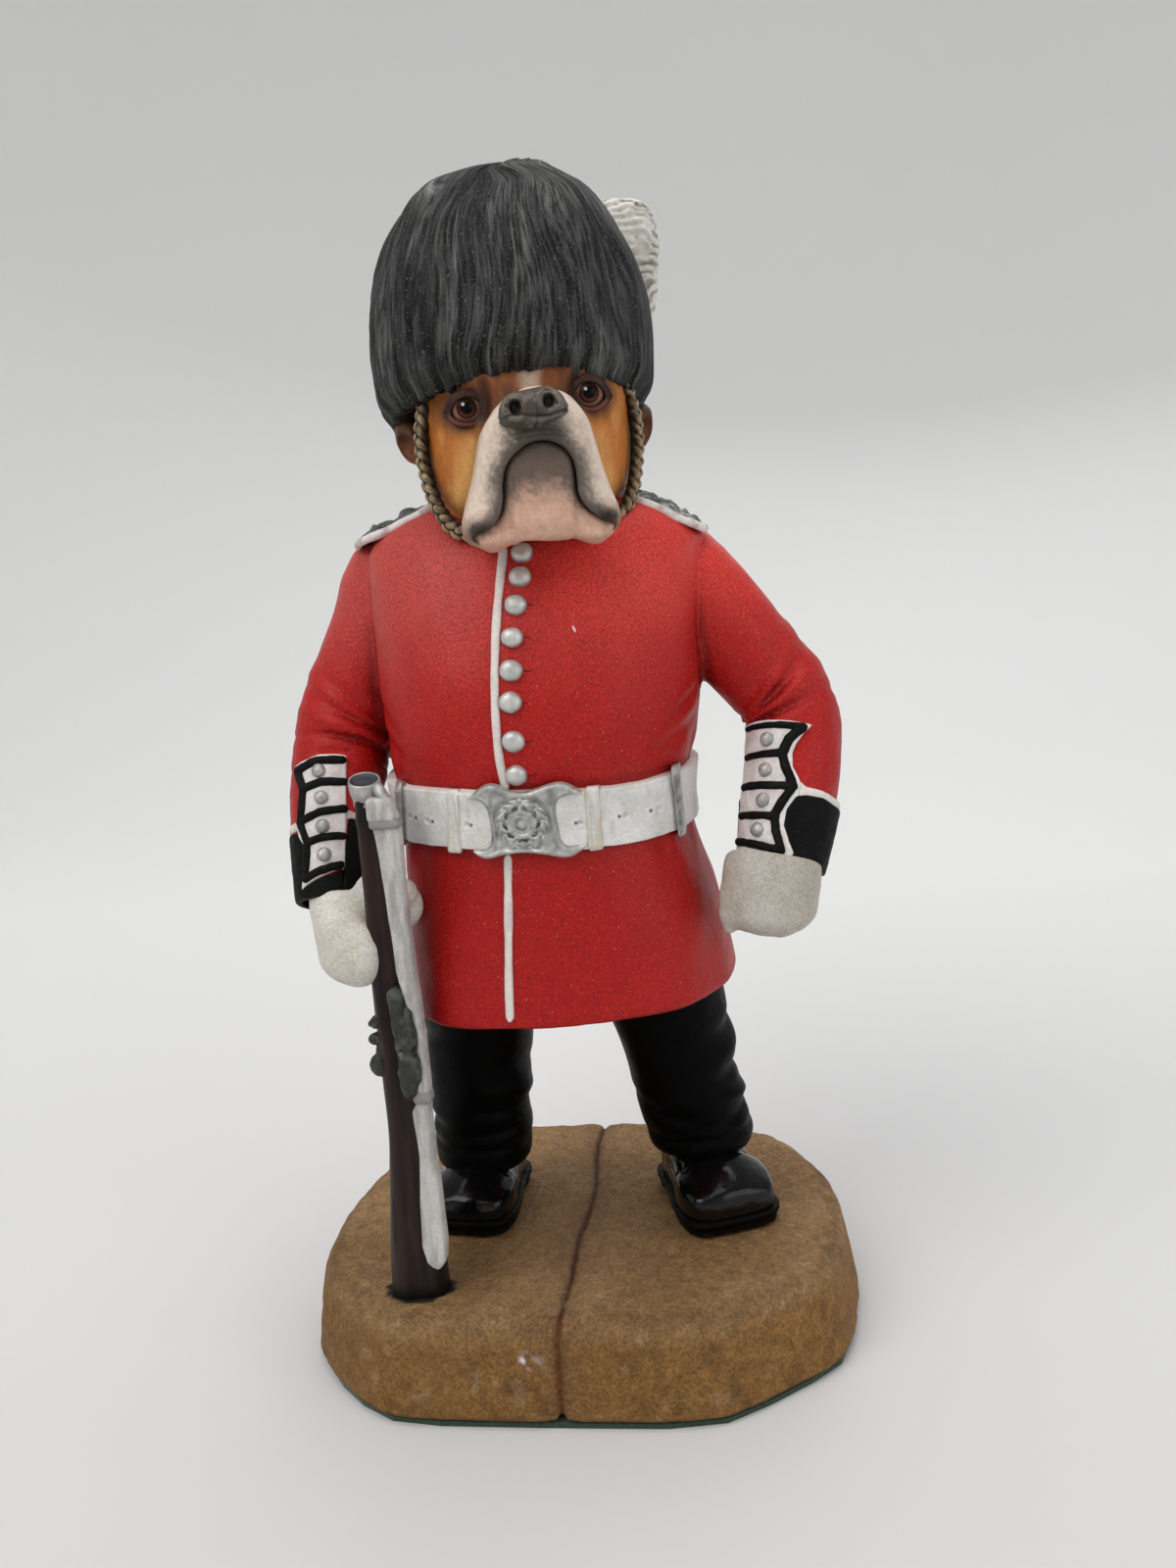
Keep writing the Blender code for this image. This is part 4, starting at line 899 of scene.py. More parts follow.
def build_tunic():
    blk = Block((-37.5, -24.0, 49.6), (41.0, 19.8, 119.2), 0.44)
    x, y, z = blk.x, blk.y, blk.z
    cx, a, front, back = (t.astype(F4)[None, None, :] for t in tunic_at(blk.ax[2].astype(float)))
    dep = np.where(y < TUNIC_CY, front, back)
    ux, uy = np.abs(x - cx) / a, np.abs(y - F4(TUNIC_CY)) / dep
    n = F4(TUNIC_N)
    q = (ux ** n + uy ** n + F4(1e-6)) ** (1 / n)
    gx = ux ** (n - 1) * q ** (1 - n) / a
    gy = uy ** (n - 1) * q ** (1 - n) / dep
    body = (q - 1) / np.sqrt(gx * gx + gy * gy + F4(1e-8))
    ang = np.degrees(np.arctan2(y - F4(TUNIC_CY), x - cx))     # -90 front, 0 the dog's left

    def turn(at):
        return (ang - at + 180) % 360 - 180
    # skirt: a few soft flutes that open towards the hem, and the vent behind
    low = smooth(71, 53, z)
    for at, wide, deep in ((-24, 11, 0.5), (-46, 10, -0.35), (-134, 17, -1.7), (-166, 10, 0.3),
                           (18, 13, -0.7), (160, 13, -0.6), (48, 12, 0.6), (132, 12, 0.6)):
        body = body + deep * low * np.exp(-(turn(at) / wide) ** 2)
    body = body + 1.0 * smooth(73, 71, z) * np.exp(-(turn(90) / 1.6) ** 2)
    # cloth pulled in by the belt
    for z0, sgn in ((84.4, 1), (71.8, -1)):
        puck = np.sin(np.radians(ang) * 17 + 2.2 * noise(ang / 14, z / 6, 0, 61))
        body = body + 0.24 * puck * np.exp(-((z - z0) / 2.6) ** 2) * smooth(34, 60, np.abs(turn(-90)))
    for at, z0, tilt in ((-27, 86.6, 0.10), (-24, 90.4, 0.14), (-152, 87.0, -0.10), (-156, 91, -0.14)):
        body = body + 0.5 * np.exp(-((z - z0 - tilt * turn(at)) / 1.0) ** 2) * np.exp(-(turn(at) / 14) ** 2)
    # back: centre seam and two curved side seams
    spine = np.exp(-((x - cx) / 0.45) ** 2) + np.exp(-((np.abs(x - cx) - 9.5 - 0.004 * (z - 76) ** 2) / 0.45) ** 2)
    body = body + 0.32 * spine * (y > 4) * smooth(80, 82, z)
    body = body - 0.55 * np.exp(-((z - 95) / 8) ** 2) * np.exp(-((np.abs(x - cx) - 9) / 6.5) ** 2) * (y < 0)
    body = smax(body, z - F4(117.6), 1.6)
    body = smax(body, F4(51.0) - z - 0.35 * np.sin(np.radians(ang) * 3 + 1.0), 0.8)
    inner = smax(body + 1.9, z - F4(57.5), 1.0)
    body = smax(body, -inner, 0.4)
    # arms
    whole = body
    seams = {}
    for side, s in (("right", -1), ("left", 1)):
        line = sleeve_line(side, 25)
        best = np.full(whole.shape, 1e9, F4)
        share = np.zeros(whole.shape, F4)
        for i in range(len(line) - 1):
            p0, p1 = line[i, :3].astype(F4), line[i + 1, :3].astype(F4)
            e = p1 - p0
            lo, hi = np.minimum(p0, p1) - 10, np.maximum(p0, p1) + 10
            sl = tuple(slice(max(int((lo[k] - blk.lo[k]) / blk.h), 0),
                             max(int((hi[k] - blk.lo[k]) / blk.h) + 2, 0)) for k in range(3))
            bx, by, bz = x[sl[0]], y[:, sl[1]], z[:, :, sl[2]]
            px, py, pz = bx - p0[0], by - p0[1], bz - p0[2]
            t = np.clip((px * e[0] + py * e[1] + pz * e[2]) / F4(e @ e), 0, 1)
            dist = np.sqrt((px - t * e[0]) ** 2 + (py - t * e[1]) ** 2 + (pz - t * e[2]) ** 2)
            dist = dist - (F4(line[i, 3]) + t * F4(line[i + 1, 3] - line[i, 3]))
            take = dist < best[sl]
            best[sl] = np.where(take, dist, best[sl])
            share[sl] = np.where(take, (i + t) / (len(line) - 1), share[sl])
        near = np.linspace(0, 1, len(line))
        ax = np.interp(share, near, line[:, 0]).astype(F4)
        ay = np.interp(share, near, line[:, 1]).astype(F4)
        phi = np.arctan2((x - ax) * s, -(y - ay))     # 0 in front, positive outwards
        if side == "right":
            folds = [(0.520, -0.10, 0.016, 0.75), (0.566, 0.00, 0.016, 0.9), (0.545, -0.05, 0.020, -0.6),
                     (0.600, 0.055, 0.014, 0.6), (0.478, -0.13, 0.020, 0.4), (0.50, -0.10, 0.02, -0.4)]
            inner_at = -1.5
        else:
            folds = [(0.560, -0.115, 0.018, 0.85), (0.600, -0.03, 0.016, 0.9), (0.578, -0.075, 0.020, -0.6),
                     (0.520, -0.16, 0.022, 0.5), (0.535, -0.14, 0.02, -0.4)]
            inner_at = -1.35
        fan = 1 - np.cos(phi - inner_at)
        fade = 0.25 + 0.75 * smooth(1.9, 0.4, fan)
        for s0, k, w, deep in folds:
            best = best + deep * fade * np.exp(-((share - s0 - k * 0.5 * fan) / w) ** 2)
        best = best + 0.22 * fbm(x / 9, y / 9, z / 9, 2, 71 if s > 0 else 72) * smooth(0.15, 0.3, share)
        # the wrist end is cut square
        tip, before = line[-1, :3], line[-2, :3]
        ax_dir = (tip - before) / np.linalg.norm(tip - before)
        best = smax(best, ((x - F4(tip[0])) * ax_dir[0] + (y - F4(tip[1])) * ax_dir[1]
                           + (z - F4(tip[2])) * ax_dir[2]) + 0.2, 0.4)
        if side == "right":
            cut = -(x + 20.9 + 0.07 * np.maximum(92 - z, 0)) - 0.06 * (y + 4)
        else:
            cut = (x - np.where(z > 90.5, 21.4 + 0.085 * (z - 98), 20.9 + 0.25 * (90.5 - z))) - 0.05 * (y + 7)
        seams[side] = (blk.full(cut), best)
        whole = smin(whole, best, 1.0)
        del share, phi, ax, ay, fan
    whole = whole + 0.10 * fbm(x / 5, y / 5, z / 5, 2, 81)
    for side in ("right", "left"):
        cut, best = seams[side]
        arm_near = smooth(2.6, 0.4, best)
        groove = np.exp(-(cut / 0.45) ** 2) * smooth(88, 93, z)
        whole = whole + 0.07 * groove * arm_near - 0.08 * np.exp(-((cut + 1.1) / 0.8) ** 2) * arm_near * smooth(90, 95, z)
    torso = whole
    for side in ("right", "left"):
        cut, best = seams[side]
        torso = torso + 0.07 * smooth(-0.3, 0.1, cut) * (best < 2.5)
        torso = np.maximum(torso, np.minimum(cut - 0.9, 2.5 - best))
    torso = blk.full(torso)
    v, f = blk.skin(torso, 2)
    whole = blk.full(whole)
    CLOTH.extend((blk, whole))

    def red_tones(v, d):
        o = open_share(blk, d, v, 1.6)
        big = fbm(v[:, 0] / 13, v[:, 1] / 13, v[:, 2] / 13, 3, 15)
        # painted light: the red lighter in patches high on the chest and shoulders, with a pinkish painted sheen on the
        # dog's right and a brighter red on its left
        col = mix(tones(len(v), RED), srgb(190, 56, 50), 0.7 * smooth(-0.9, 0.7, big) * smooth(86, 106, v[:, 2]))
        col = mix(col, srgb(196, 90, 82), 0.5 * smooth(93, 107, v[:, 2]) * smooth(4, -12, v[:, 0]))
        col = mix(col, srgb(220, 64, 56), 0.7 * smooth(97, 108, v[:, 2]) * smooth(0, 8, v[:, 0]))
        # painted shade: darker towards the skirt and in the creases
        col = mix(col, srgb(160, 18, 15), 0.6 * smooth(80, 66, v[:, 2]))
        col = mix(col, RED_SHADE, 0.6 * smooth(0.9, 0.45, o))
        return col
    col = red_tones(v, whole)
    # painted shadow line beside the belt
    belt = np.minimum(np.abs(v[:, 2] - BELT_Z0 + 0.3), np.abs(v[:, 2] - BELT_Z1 - 0.3))
    col = mix(col, RED_SHADE, 0.45 * smooth(0.9, 0.2, belt))
    piece("tunic_body_cloth", v, f, RED_PAINT, ("tunic_body",), col)
    for side in ("right", "left"):
        cut, best = seams[side]
        arm = blk.full(np.maximum(np.maximum(whole, 0.02 - cut), best - 2.4))
        v, f = blk.skin(arm, 2)
        piece(side + "_sleeve_cloth", v, f, RED_PAINT, (side + "_sleeve",), red_tones(v, whole))


CLOTH = []      # the carved coat, for trim that lies on it
BUTTONS = [(1.0, 110.7), (0.7, 107.9), (0.1, 104.6), (-0.5, 100.8),
           (-0.8, 96.9), (-1.1, 93.1), (-1.1, 88.3), (-1.2, 84.0)]
build_tunic()


# ------------------------------------------------------- trim laid on the coat
def first_hit(start, direction, reach, step=0.15):
    """Distance along a direction from each start point to the coat's surface."""
    blk, d = CLOTH
    t = np.arange(0, reach, step)
    start = np.asarray(start, float)
    p = start[:, None, :] + np.asarray(direction, float) * t[None, :, None]
    f = blk.sample(d, p.reshape(-1, 3)).reshape(len(start), len(t))
    inside = f < 0
    k = np.where(inside.any(1), inside.argmax(1), len(t) - 1)
    k0 = np.maximum(k - 1, 0)
    rows = np.arange(len(start))
    a, b = f[rows, k0], f[rows, k]
    return t[k0] + step * np.clip(a / np.where(np.abs(a - b) < 1e-6, 1e-6, a - b), 0, 1)


def on_front(x, z, out=0.0):
    """Points on the front of the coat, and the surface's normals."""
    x, z = np.asarray(x, float).ravel(), np.asarray(z, float).ravel()
    start = np.stack([x, np.full_like(x, -23.8), z], 1)
    p = start + np.array([0, 1.0, 0]) * first_hit(start, (0, 1, 0), 22)[:, None]
    blk, d = CLOTH
    n = blk.gradient(d, p)
    n /= np.linalg.norm(n, axis=1)[:, None]
    return p + n * np.asarray(out).reshape(-1, 1), n


def lathe(profile, centre, normal, seg=30, wobble=0.0, seed=0, squash=(1.0, 1.0)):
    """Turned form on a point: profile of (radius, height) from rim to middle."""
    n = np.asarray(normal, float)
    n = n / np.linalg.norm(n)
    side = np.cross([0, 0, 1.0], n)
    side /= np.linalg.norm(side)
    up = np.cross(n, side)
    a = np.linspace(0, 2 * math.pi, seg, endpoint=False)
    rows = []
    for r, h in profile:
        k = 1 + wobble * noise(2 * np.cos(a), 2 * np.sin(a), h + 3.7 * seed, 5 + seed)
        rows.append(np.asarray(centre)[None, :] + side * (np.cos(a) * r * k * squash[0])[:, None]
                    + up * (np.sin(a) * r * k * squash[1])[:, None] + n * h)
    return capped(np.array(rows))


def dome_profile(r, h, sunk=0.4):
    rows = [(r * 0.96, -sunk), (r, 0.10 * h)]
    for t in np.linspace(0.12, 0.985, 9):
        rows.append((r * math.cos(t * math.pi / 2) ** 0.8, 0.10 * h + 0.90 * h * math.sin(t * math.pi / 2)))
    return rows


SILVER = srgb(176, 176, 172)
SILVER_SHADE = srgb(96, 97, 96)
PINKISH = srgb(226, 206, 200)


def silver_tones(v, opened, seed=0, edge=None):
    grain = fbm(v[:, 0] / 0.7, v[:, 1] / 0.7, v[:, 2] / 0.7, 3, 300 + seed)
    col = mix(tones(len(v), SILVER), srgb(206, 206, 202), 0.6 * smooth(0.0, 0.9, grain))
    col = mix(col, srgb(136, 138, 138), 0.6 * smooth(0.1, -0.8, grain))
    # painted shade in the hollows
    col = mix(col, SILVER_SHADE, 0.85 * smooth(0.92, 0.5, opened))
    # painted highlight on the sharp edges
    if edge is not None:
        col = mix(col, srgb(222, 221, 216), 0.6 * smooth(0.2, 0.55, edge))
    return col


def build_front_trim():
    for name, pts, nodes in (
            ("front_piping_upper_edge", [(-1.3, 111.9), (-1.6, 109.0), (-2.15, 104.6), (-2.6, 100.0), (-2.95, 94.0),
                                         (-3.1, 88.5), (-3.0, 85.0), (-2.7, 82.0)], ("front_piping_upper",)),
            ("front_piping_lower_edge", [(-3.4, 73.6), (-3.7, 69.0), (-4.1, 63.0), (-4.5, 57.0), (-4.7, 52.0)],
             ("front_piping_lower",))):
        xz = catmull(pts, 120)
        p, n = on_front(xz[:, 0], xz[:, 1], 0.12)
        wide = 0.56 * (1 + 0.10 * noise(xz[:, 1] / 2.4, 0, 0, 11))
        wide *= np.minimum(1, 0.45 + np.arange(120) / 5) * np.minimum(1, 0.45 + np.arange(119, -1, -1) / 5)
        ring = [(1.0 * math.cos(a), 0.62 * math.sin(a)) for a in np.linspace(0, 2 * math.pi, 20, endpoint=False)]
        t = np.gradient(p, axis=0)
        t /= np.linalg.norm(t, axis=1)[:, None]
        side = np.cross(t, n)
        grid = np.array([[p[i] + side[i] * wide[i] * c + n[i] * (0.62 * s) for c, s in ring] for i in range(120)])
        v, f = capped(grid)
        u = np.tile(np.abs([c for c, _ in ring]), 120)
        u = np.r_[u, 0.3, 0.3]
        col = mix(tones(len(v), srgb(228, 220, 214)), srgb(200, 152, 148), 0.65 * smooth(0.72, 1.0, u))
        col = mix(col, srgb(186, 176, 176), 0.45 * smooth(0.1, 0.7, fbm(v[:, 0] / 1.2, v[:, 1] / 1.2, v[:, 2] / 3.0, 2, 8)))
        piece(name, v, f, WHITE_PAINT, nodes, col)
    for i, (x, z) in enumerate(BUTTONS):
        p, n = on_front([x], [z], 0.05)
        r = 1.38 + 0.05 * noise(i * 1.7, 0, 0, 3)
        v, f = lathe(dome_profile(r, 1.12, 0.5), p[0], n[0], 34, 0.05, i, (1.04, 0.97))
        h = (v - p[0]) @ n[0]
        col = silver_tones(v, np.ones(len(v)), i)
        # painted highlight on the crown of each dome
        col = mix(col, srgb(226, 226, 222), 0.55 * smooth(0.3, 0.8, h))
        col = mix(col, srgb(208, 190, 186), 0.8 * smooth(0.38, 0.15, h))
        # painted shade on the lower side of each dome
        low = (v - p[0]) @ np.array([0, 0, 1.0])
        col = mix(col, srgb(120, 122, 122), 0.35 * smooth(-0.2, -1.1, low))
        piece("front_button_%d_dome" % (i + 1), v, f, SILVER_PAINT, ("front_button_%d" % (i + 1),), col)


def build_stitches():
    parts, n_nick = [], 0
    for k, (bx, bz) in enumerate(BUTTONS[2:]):
        t = np.linspace(0, 1, 9)
        x = bx + 1.4 + (0.7 + 0.3 * (k % 3)) * t
        p, n = on_front(x, bz - 0.1 + 0.12 * np.sin(4 * t + k), 0.0)
        parts.append(sweep(p, circle(0.11, 8), np.interp(t, [0, 0.2, 0.7, 1], [0.6, 1, 0.8, 0.3]), hint=n[0]))
    v, f = join(parts)
    piece("buttonhole_stitches", v, f, RED_PAINT, (), tones(len(v), srgb(112, 14, 14)))
    t = np.linspace(0, 1, 7)
    p, n = on_front(7.3 - 0.35 * t, 100.9 + 0.9 * t, 0.02)
    v, f = sweep(p, circle(0.16, 8), [0.3, 0.8, 1.1, 1.2, 1.0, 0.7, 0.2], hint=n[0])
    piece("paint_nick", v, f, WHITE_PAINT, (), tones(len(v), srgb(238, 204, 206)))


build_front_trim()
build_stitches()


# ------------------------------------------------------------------------ belt
HOLES = [(-15.46, 78.3), (-12.94, 78.05), (-7.52, 77.9), (5.71, 77.5), (10.96, 77.54), (14.73, 77.51)]


def belt_mid(x):
    return 78.0 - 0.018 * x + 0.28 * np.exp(-((x + 10) / 6) ** 2) - 0.22 * np.exp(-((x - 9) / 7) ** 2)


def belt_top(x, z):
    """Height of the belt's face over the coat, where doubled ends lie on it."""
    ends = smooth(-9.6, -9.2, x) * smooth(-3.6, -4.2, x) + smooth(2.4, 3.0, x) * smooth(7.6, 7.2, x)
    return 1.15 + 0.42 * ends


def build_belt():
    deg = np.r_[np.linspace(-160, -20, 640), np.linspace(-20, 200, 240)[1:-1]]
    half = 3.9
    face = np.linspace(-1, 1, 46)
    ring = [(c, 1.0 - 0.9 * max(abs(c) - 0.93, 0) / 0.07 * (max(abs(c) - 0.93, 0) / 0.07), True) for c in face]
    ring += [(1.03, -0.1, False), (1.0, -0.8, False), (0.4, -0.9, False), (-0.4, -0.9, False),
             (-1.0, -0.8, False), (-1.03, -0.1, False)]
    mid = belt_mid(tunic_point(deg, 78.0)[:, 0])
    rows = []
    for c, w, top in ring:
        base = tunic_point(deg, np.full_like(deg, 78.0), 0)
        z = mid + half * c + 0.10 * noise(base[:, 0] / 2.1, base[:, 1] / 2.1, 0.4 * np.sign(c), 7) * abs(c)
        q = tunic_point(deg, z, 0.0)
        front = q[:, 1] < -2
        x = q[:, 0]
        t = np.where(front, belt_top(x, z), 1.15)
        out = t * w if w > 0 else w * 0.55
        if top:
            out = out + 0.10 * (1 - c * c) + 0.05 * fbm(x / 1.6, q[:, 1] / 1.6, z / 1.6, 2, 19)
            for hx, hz in HOLES:
                rad = np.hypot(x - hx, z - hz)
                out = out + front * (0.07 * np.exp(-((rad - 0.5) / 0.22) ** 2) - 0.62 * np.exp(-(rad / 0.27) ** 2))
            # the line pressed along each edge
            out = out - 0.07 * np.exp(-((np.abs(c) - 0.86) / 0.035) ** 2)
        rows.append(tunic_point(deg, z, out))
    grid = np.array(rows)                    # ring x columns
    nr, nc, _ = grid.shape
    v = grid.reshape(-1, 3)
    f = grid_faces(nr, nc, close_u=True, close_v=True)
    x, y, z = v.T
    front = y < -2
    col = mix(tones(len(v), srgb(228, 227, 224)), srgb(210, 207, 201), 0.7 * smooth(-0.1, 0.8, fbm(x / 2.6, y / 2.6, z / 2.6, 3, 41)))
    col = mix(col, srgb(198, 192, 180), 0.4 * smooth(0.3, 0.9, fbm(x / 1.1, y / 1.1, z / 4.0, 3, 42)))
    rel = np.abs(z - belt_mid(x)) / half
    col = mix(col, srgb(206, 176, 170), 0.7 * smooth(0.95, 1.02, rel))
    for edge in (-9.35, 7.35):
        col = mix(col, srgb(180, 172, 156), 0.5 * front * np.exp(-((x - edge) / 0.28) ** 2))
    # painted shade in each hole and a painted highlight on its raised rim
    for hx, hz in HOLES:
        rad = np.hypot(x - hx, z - hz)
        col = mix(col, srgb(42, 36, 30), 0.95 * front * smooth(0.30, 0.12, rad))
        col = mix(col, srgb(240, 237, 230), 0.5 * front * np.exp(-((rad - 0.52) / 0.16) ** 2))
    piece("belt_strap", v, f, WHITE_PAINT, ("belt",), col)

    def strip(name, lower, upper, z0, z1, rise, node, silver):
        """Upright bar across the belt between two slanted lines of x."""
        rows, cols = 40, 17
        zz = np.linspace(z0, z1, rows)
        face, back = [], []
        for k, zv in enumerate(zz):
            s = k / (rows - 1)
            xa = lower[0] + (upper[0] - lower[0]) * s
            xb = lower[1] + (upper[1] - lower[1]) * s
            t = np.linspace(-1, 1, cols)
            end = min(1.0, min(k, rows - 1 - k) / 2.5 + 0.15)
            xs = 0.5 * (xa + xb) + 0.5 * (xb - xa) * t * (0.86 + 0.14 * end)
            prof = (1 - np.abs(t) ** 5) ** 0.5
            over = belt_top(xs, zv) if abs(zv - 78) < 3.9 else np.full_like(xs, 0.95)
            h = over + rise * prof * (0.45 + 0.55 * end) + 0.05 * noise(xs / 0.8, zv / 0.8, 0, 33)
            face.append(tunic_front(xs, np.full_like(xs, zv), h))
            back.append(tunic_front(xs, np.full_like(xs, zv), over * 0 + 0.2))
        v, f = shell(np.array(face), np.array(back))
        n = rows * cols
        if silver:
            col = silver_tones(v, np.ones(len(v)), 9)
            col = mix(col, srgb(92, 94, 94), 0.4 * smooth(0.0, 0.7, fbm(v[:, 0] / 1, v[:, 1] / 1, v[:, 2] / 1, 2, 5)))
            piece(name, v, f, SILVER_PAINT, (node,), col)
        else:
            col = mix(tones(len(v), srgb(222, 219, 212)), srgb(208, 200, 182), smooth(-0.4, 0.8, fbm(
                v[:, 0] / 1.2, v[:, 1] / 1.2, v[:, 2] / 3, 2, 6)))
            t = np.tile(np.abs(np.linspace(-1, 1, cols)), 2 * rows)
            col = mix(col, srgb(180, 170, 150), 0.55 * smooth(0.8, 1.0, t))
            piece(name, v, f, WHITE_PAINT, (node,), col)

    strip("belt_slide_right_loop", (-11.3, -9.3), (-10.3, -8.6), 74.0, 82.4, 0.42, "belt_slide_right", False)
    strip("belt_slide_left_loop", (6.95, 8.75), (7.2, 8.9), 73.6, 81.9, 0.42, "belt_slide_left", False)
    strip("belt_keeper_right_bar", (-19.1, -18.2), (-18.3, -16.95), 73.8, 82.7, 0.75, "belt_keeper_right", True)
    strip("belt_keeper_left_bar", (17.75, 18.7), (17.45, 18.5), 73.0, 82.5, 0.75, "belt_keeper_left", True)


build_belt()

BUCKLE = [(-7.6, 81.3), (-6.5, 82.25), (-5.0, 83.15), (-3.6, 83.05), (-2.5, 82.4), (-1.2, 81.95), (-0.1, 81.95),
          (1.65, 82.45), (3.5, 82.95), (4.9, 82.8), (6.35, 81.8), (6.8, 81.2), (5.4, 81.3), (4.2, 81.0),
          (3.6, 80.3), (3.45, 79.2), (3.55, 77.0), (3.65, 75.8), (4.0, 75.0), (4.8, 74.6), (6.2, 74.75),
          (7.1, 74.7), (6.3, 74.0), (4.8, 73.2), (3.1, 73.3), (1.25, 73.75), (-1.05, 74.05), (-3.45, 73.9),
          (-5.2, 73.5), (-6.4, 73.5), (-7.7, 74.5), (-6.4, 74.6), (-5.5, 74.95), (-5.15, 75.7), (-5.0, 77.0),
          (-5.05, 79.0), (-5.3, 80.3), (-5.9, 81.0), (-6.9, 81.3)]


def on_belly(v):
    return tunic_front(v[:, 0], v[:, 1], v[:, 2])


def build_buckle():
    blk = Block((-8.4, 72.7, 0.2), (7.8, 83.9, 3.4), 0.14)
    x, z, w = blk.x, blk.y, blk.z
    flat = poly_distance(x + 0 * z, z + 0 * x, catmull(BUCKLE, 130, closed=True))
    rad = np.hypot(x + 0.95, z - 77.9)
    rim = 0.22 * np.exp(-((flat + 0.45) / 0.32) ** 2)
    top = 1.95 + rim - 0.30 * smooth(4.1, 3.4, rad) + 0.07 * fbm(x / 0.9, z / 0.9, 0, 2, 52)
    d = blk.full(smax(smax(flat, w - top, 0.45), 0.6 - w, 0.2))
    v, f = blk.skin(d, 2)
    o = open_share(blk, d, v, 0.45)
    e = edge_share(blk, d, v, 0.5)
    # painted shade in the hollows and painted highlights on the edges
    col = silver_tones(v, o, 1, e)
    rim_at = poly_distance(v[:, 0], v[:, 1], catmull(BUCKLE, 130, closed=True))
    col = mix(col, srgb(205, 172, 166), 0.65 * smooth(1.15, 0.85, v[:, 2]) * smooth(-0.5, 0.0, rim_at))
    bar = np.minimum(np.abs(v[:, 0] + 4.6), np.abs(v[:, 0] - 3.15))
    col = mix(col, srgb(112, 114, 114), 0.5 * np.exp(-(bar / 0.35) ** 2) * smooth(4.2, 3.2, np.abs(v[:, 1] - 78.1)))
    piece("belt_buckle_plate", on_belly(v), f, SILVER_PAINT, ("belt_buckle",), col)
    # plain wreath of leaves round a ring and a boss
    blk = Block((-4.9, 74.0, 1.2), (3.0, 81.8, 3.7), 0.10)
    x, z, w = blk.x, blk.y, blk.z
    dx, dz = x + 0.95, z - 77.9
    rad = np.sqrt(dx * dx + dz * dz) + 1e-4
    ang = np.arctan2(dx, -dz)                # 0 at the bottom, where the stems meet
    leaf = np.cos(np.abs(ang) * 9.5 + (rad - 2.62) * 3.2 * np.sign(rad - 2.62) - 0.6)
    bump = 0.5 + 0.5 * leaf
    d = np.sqrt((rad - 2.62) ** 2 + (1.25 * (w - 1.95)) ** 2) - (0.30 + 0.50 * bump)
    ring = np.sqrt((rad - 1.62) ** 2 + (w - 1.95) ** 2) - 0.34
    disc = smax(rad - 1.9, np.abs(w - 1.8) - 0.32, 0.15)
    boss = np.sqrt(dx * dx + dz * dz + (w - 2.0) ** 2) - 0.62
    d = smin(np.minimum(d, smin(ring, disc, 0.12)), boss, 0.12)
    d = np.minimum(d, np.sqrt((rad - 0.98) ** 2 + (w - 1.98) ** 2) - 0.2)
    floor = smax(rad - 3.25, np.abs(w - 1.62) - 0.3, 0.2)
    d = blk.full(np.minimum(d, floor) + 0.03 * fbm(x / 0.5, z / 0.5, w / 0.5, 2, 53))
    v, f = blk.skin(d, 2)
    o = open_share(blk, d, v, 0.35)
    e = edge_share(blk, d, v, 0.3)
    # painted shade in the hollows and painted highlights on the leaves' edges
    col = silver_tones(v, o, 2, e)
    col = mix(col, srgb(62, 64, 64), 0.75 * smooth(0.9, 0.45, o))
    col = mix(col, srgb(228, 228, 224), 0.8 * smooth(0.08, 0.36, e))
    piece("buckle_rosette_wreath", on_belly(v), f, SILVER_PAINT, ("buckle_rosette",), col)


build_buckle()


# ---------------------------------------------------------- cuffs and buttons
LEN = {"right": 48.92, "left": 49.25}
PER_DEG = math.pi / 180 * 6.3


def sleeve_map(side):
    line = sleeve_line(side, 241)
    tan = np.gradient(line[:, :3], axis=0)
    tan /= np.linalg.norm(tan, axis=1)[:, None]

    def place(deg, share, out):
        k = np.asarray(share, float) * 240
        i = np.clip(np.floor(k).astype(int), 0, 239)
        f = (k - i)[:, None]
        p = line[i] * (1 - f) + line[i + 1] * f
        g = np.clip(f, 0, 1)
        t = tan[i] * (1 - g) + tan[i + 1] * g
        r = np.radians(deg)
        d = np.stack([np.sin(r), -np.cos(r), np.zeros_like(r)], 1)
        d -= t * (d * t).sum(1)[:, None]
        d /= np.linalg.norm(d, axis=1)[:, None]
        return p[:, :3] + d * (p[:, 3] + out)[:, None]
    return place


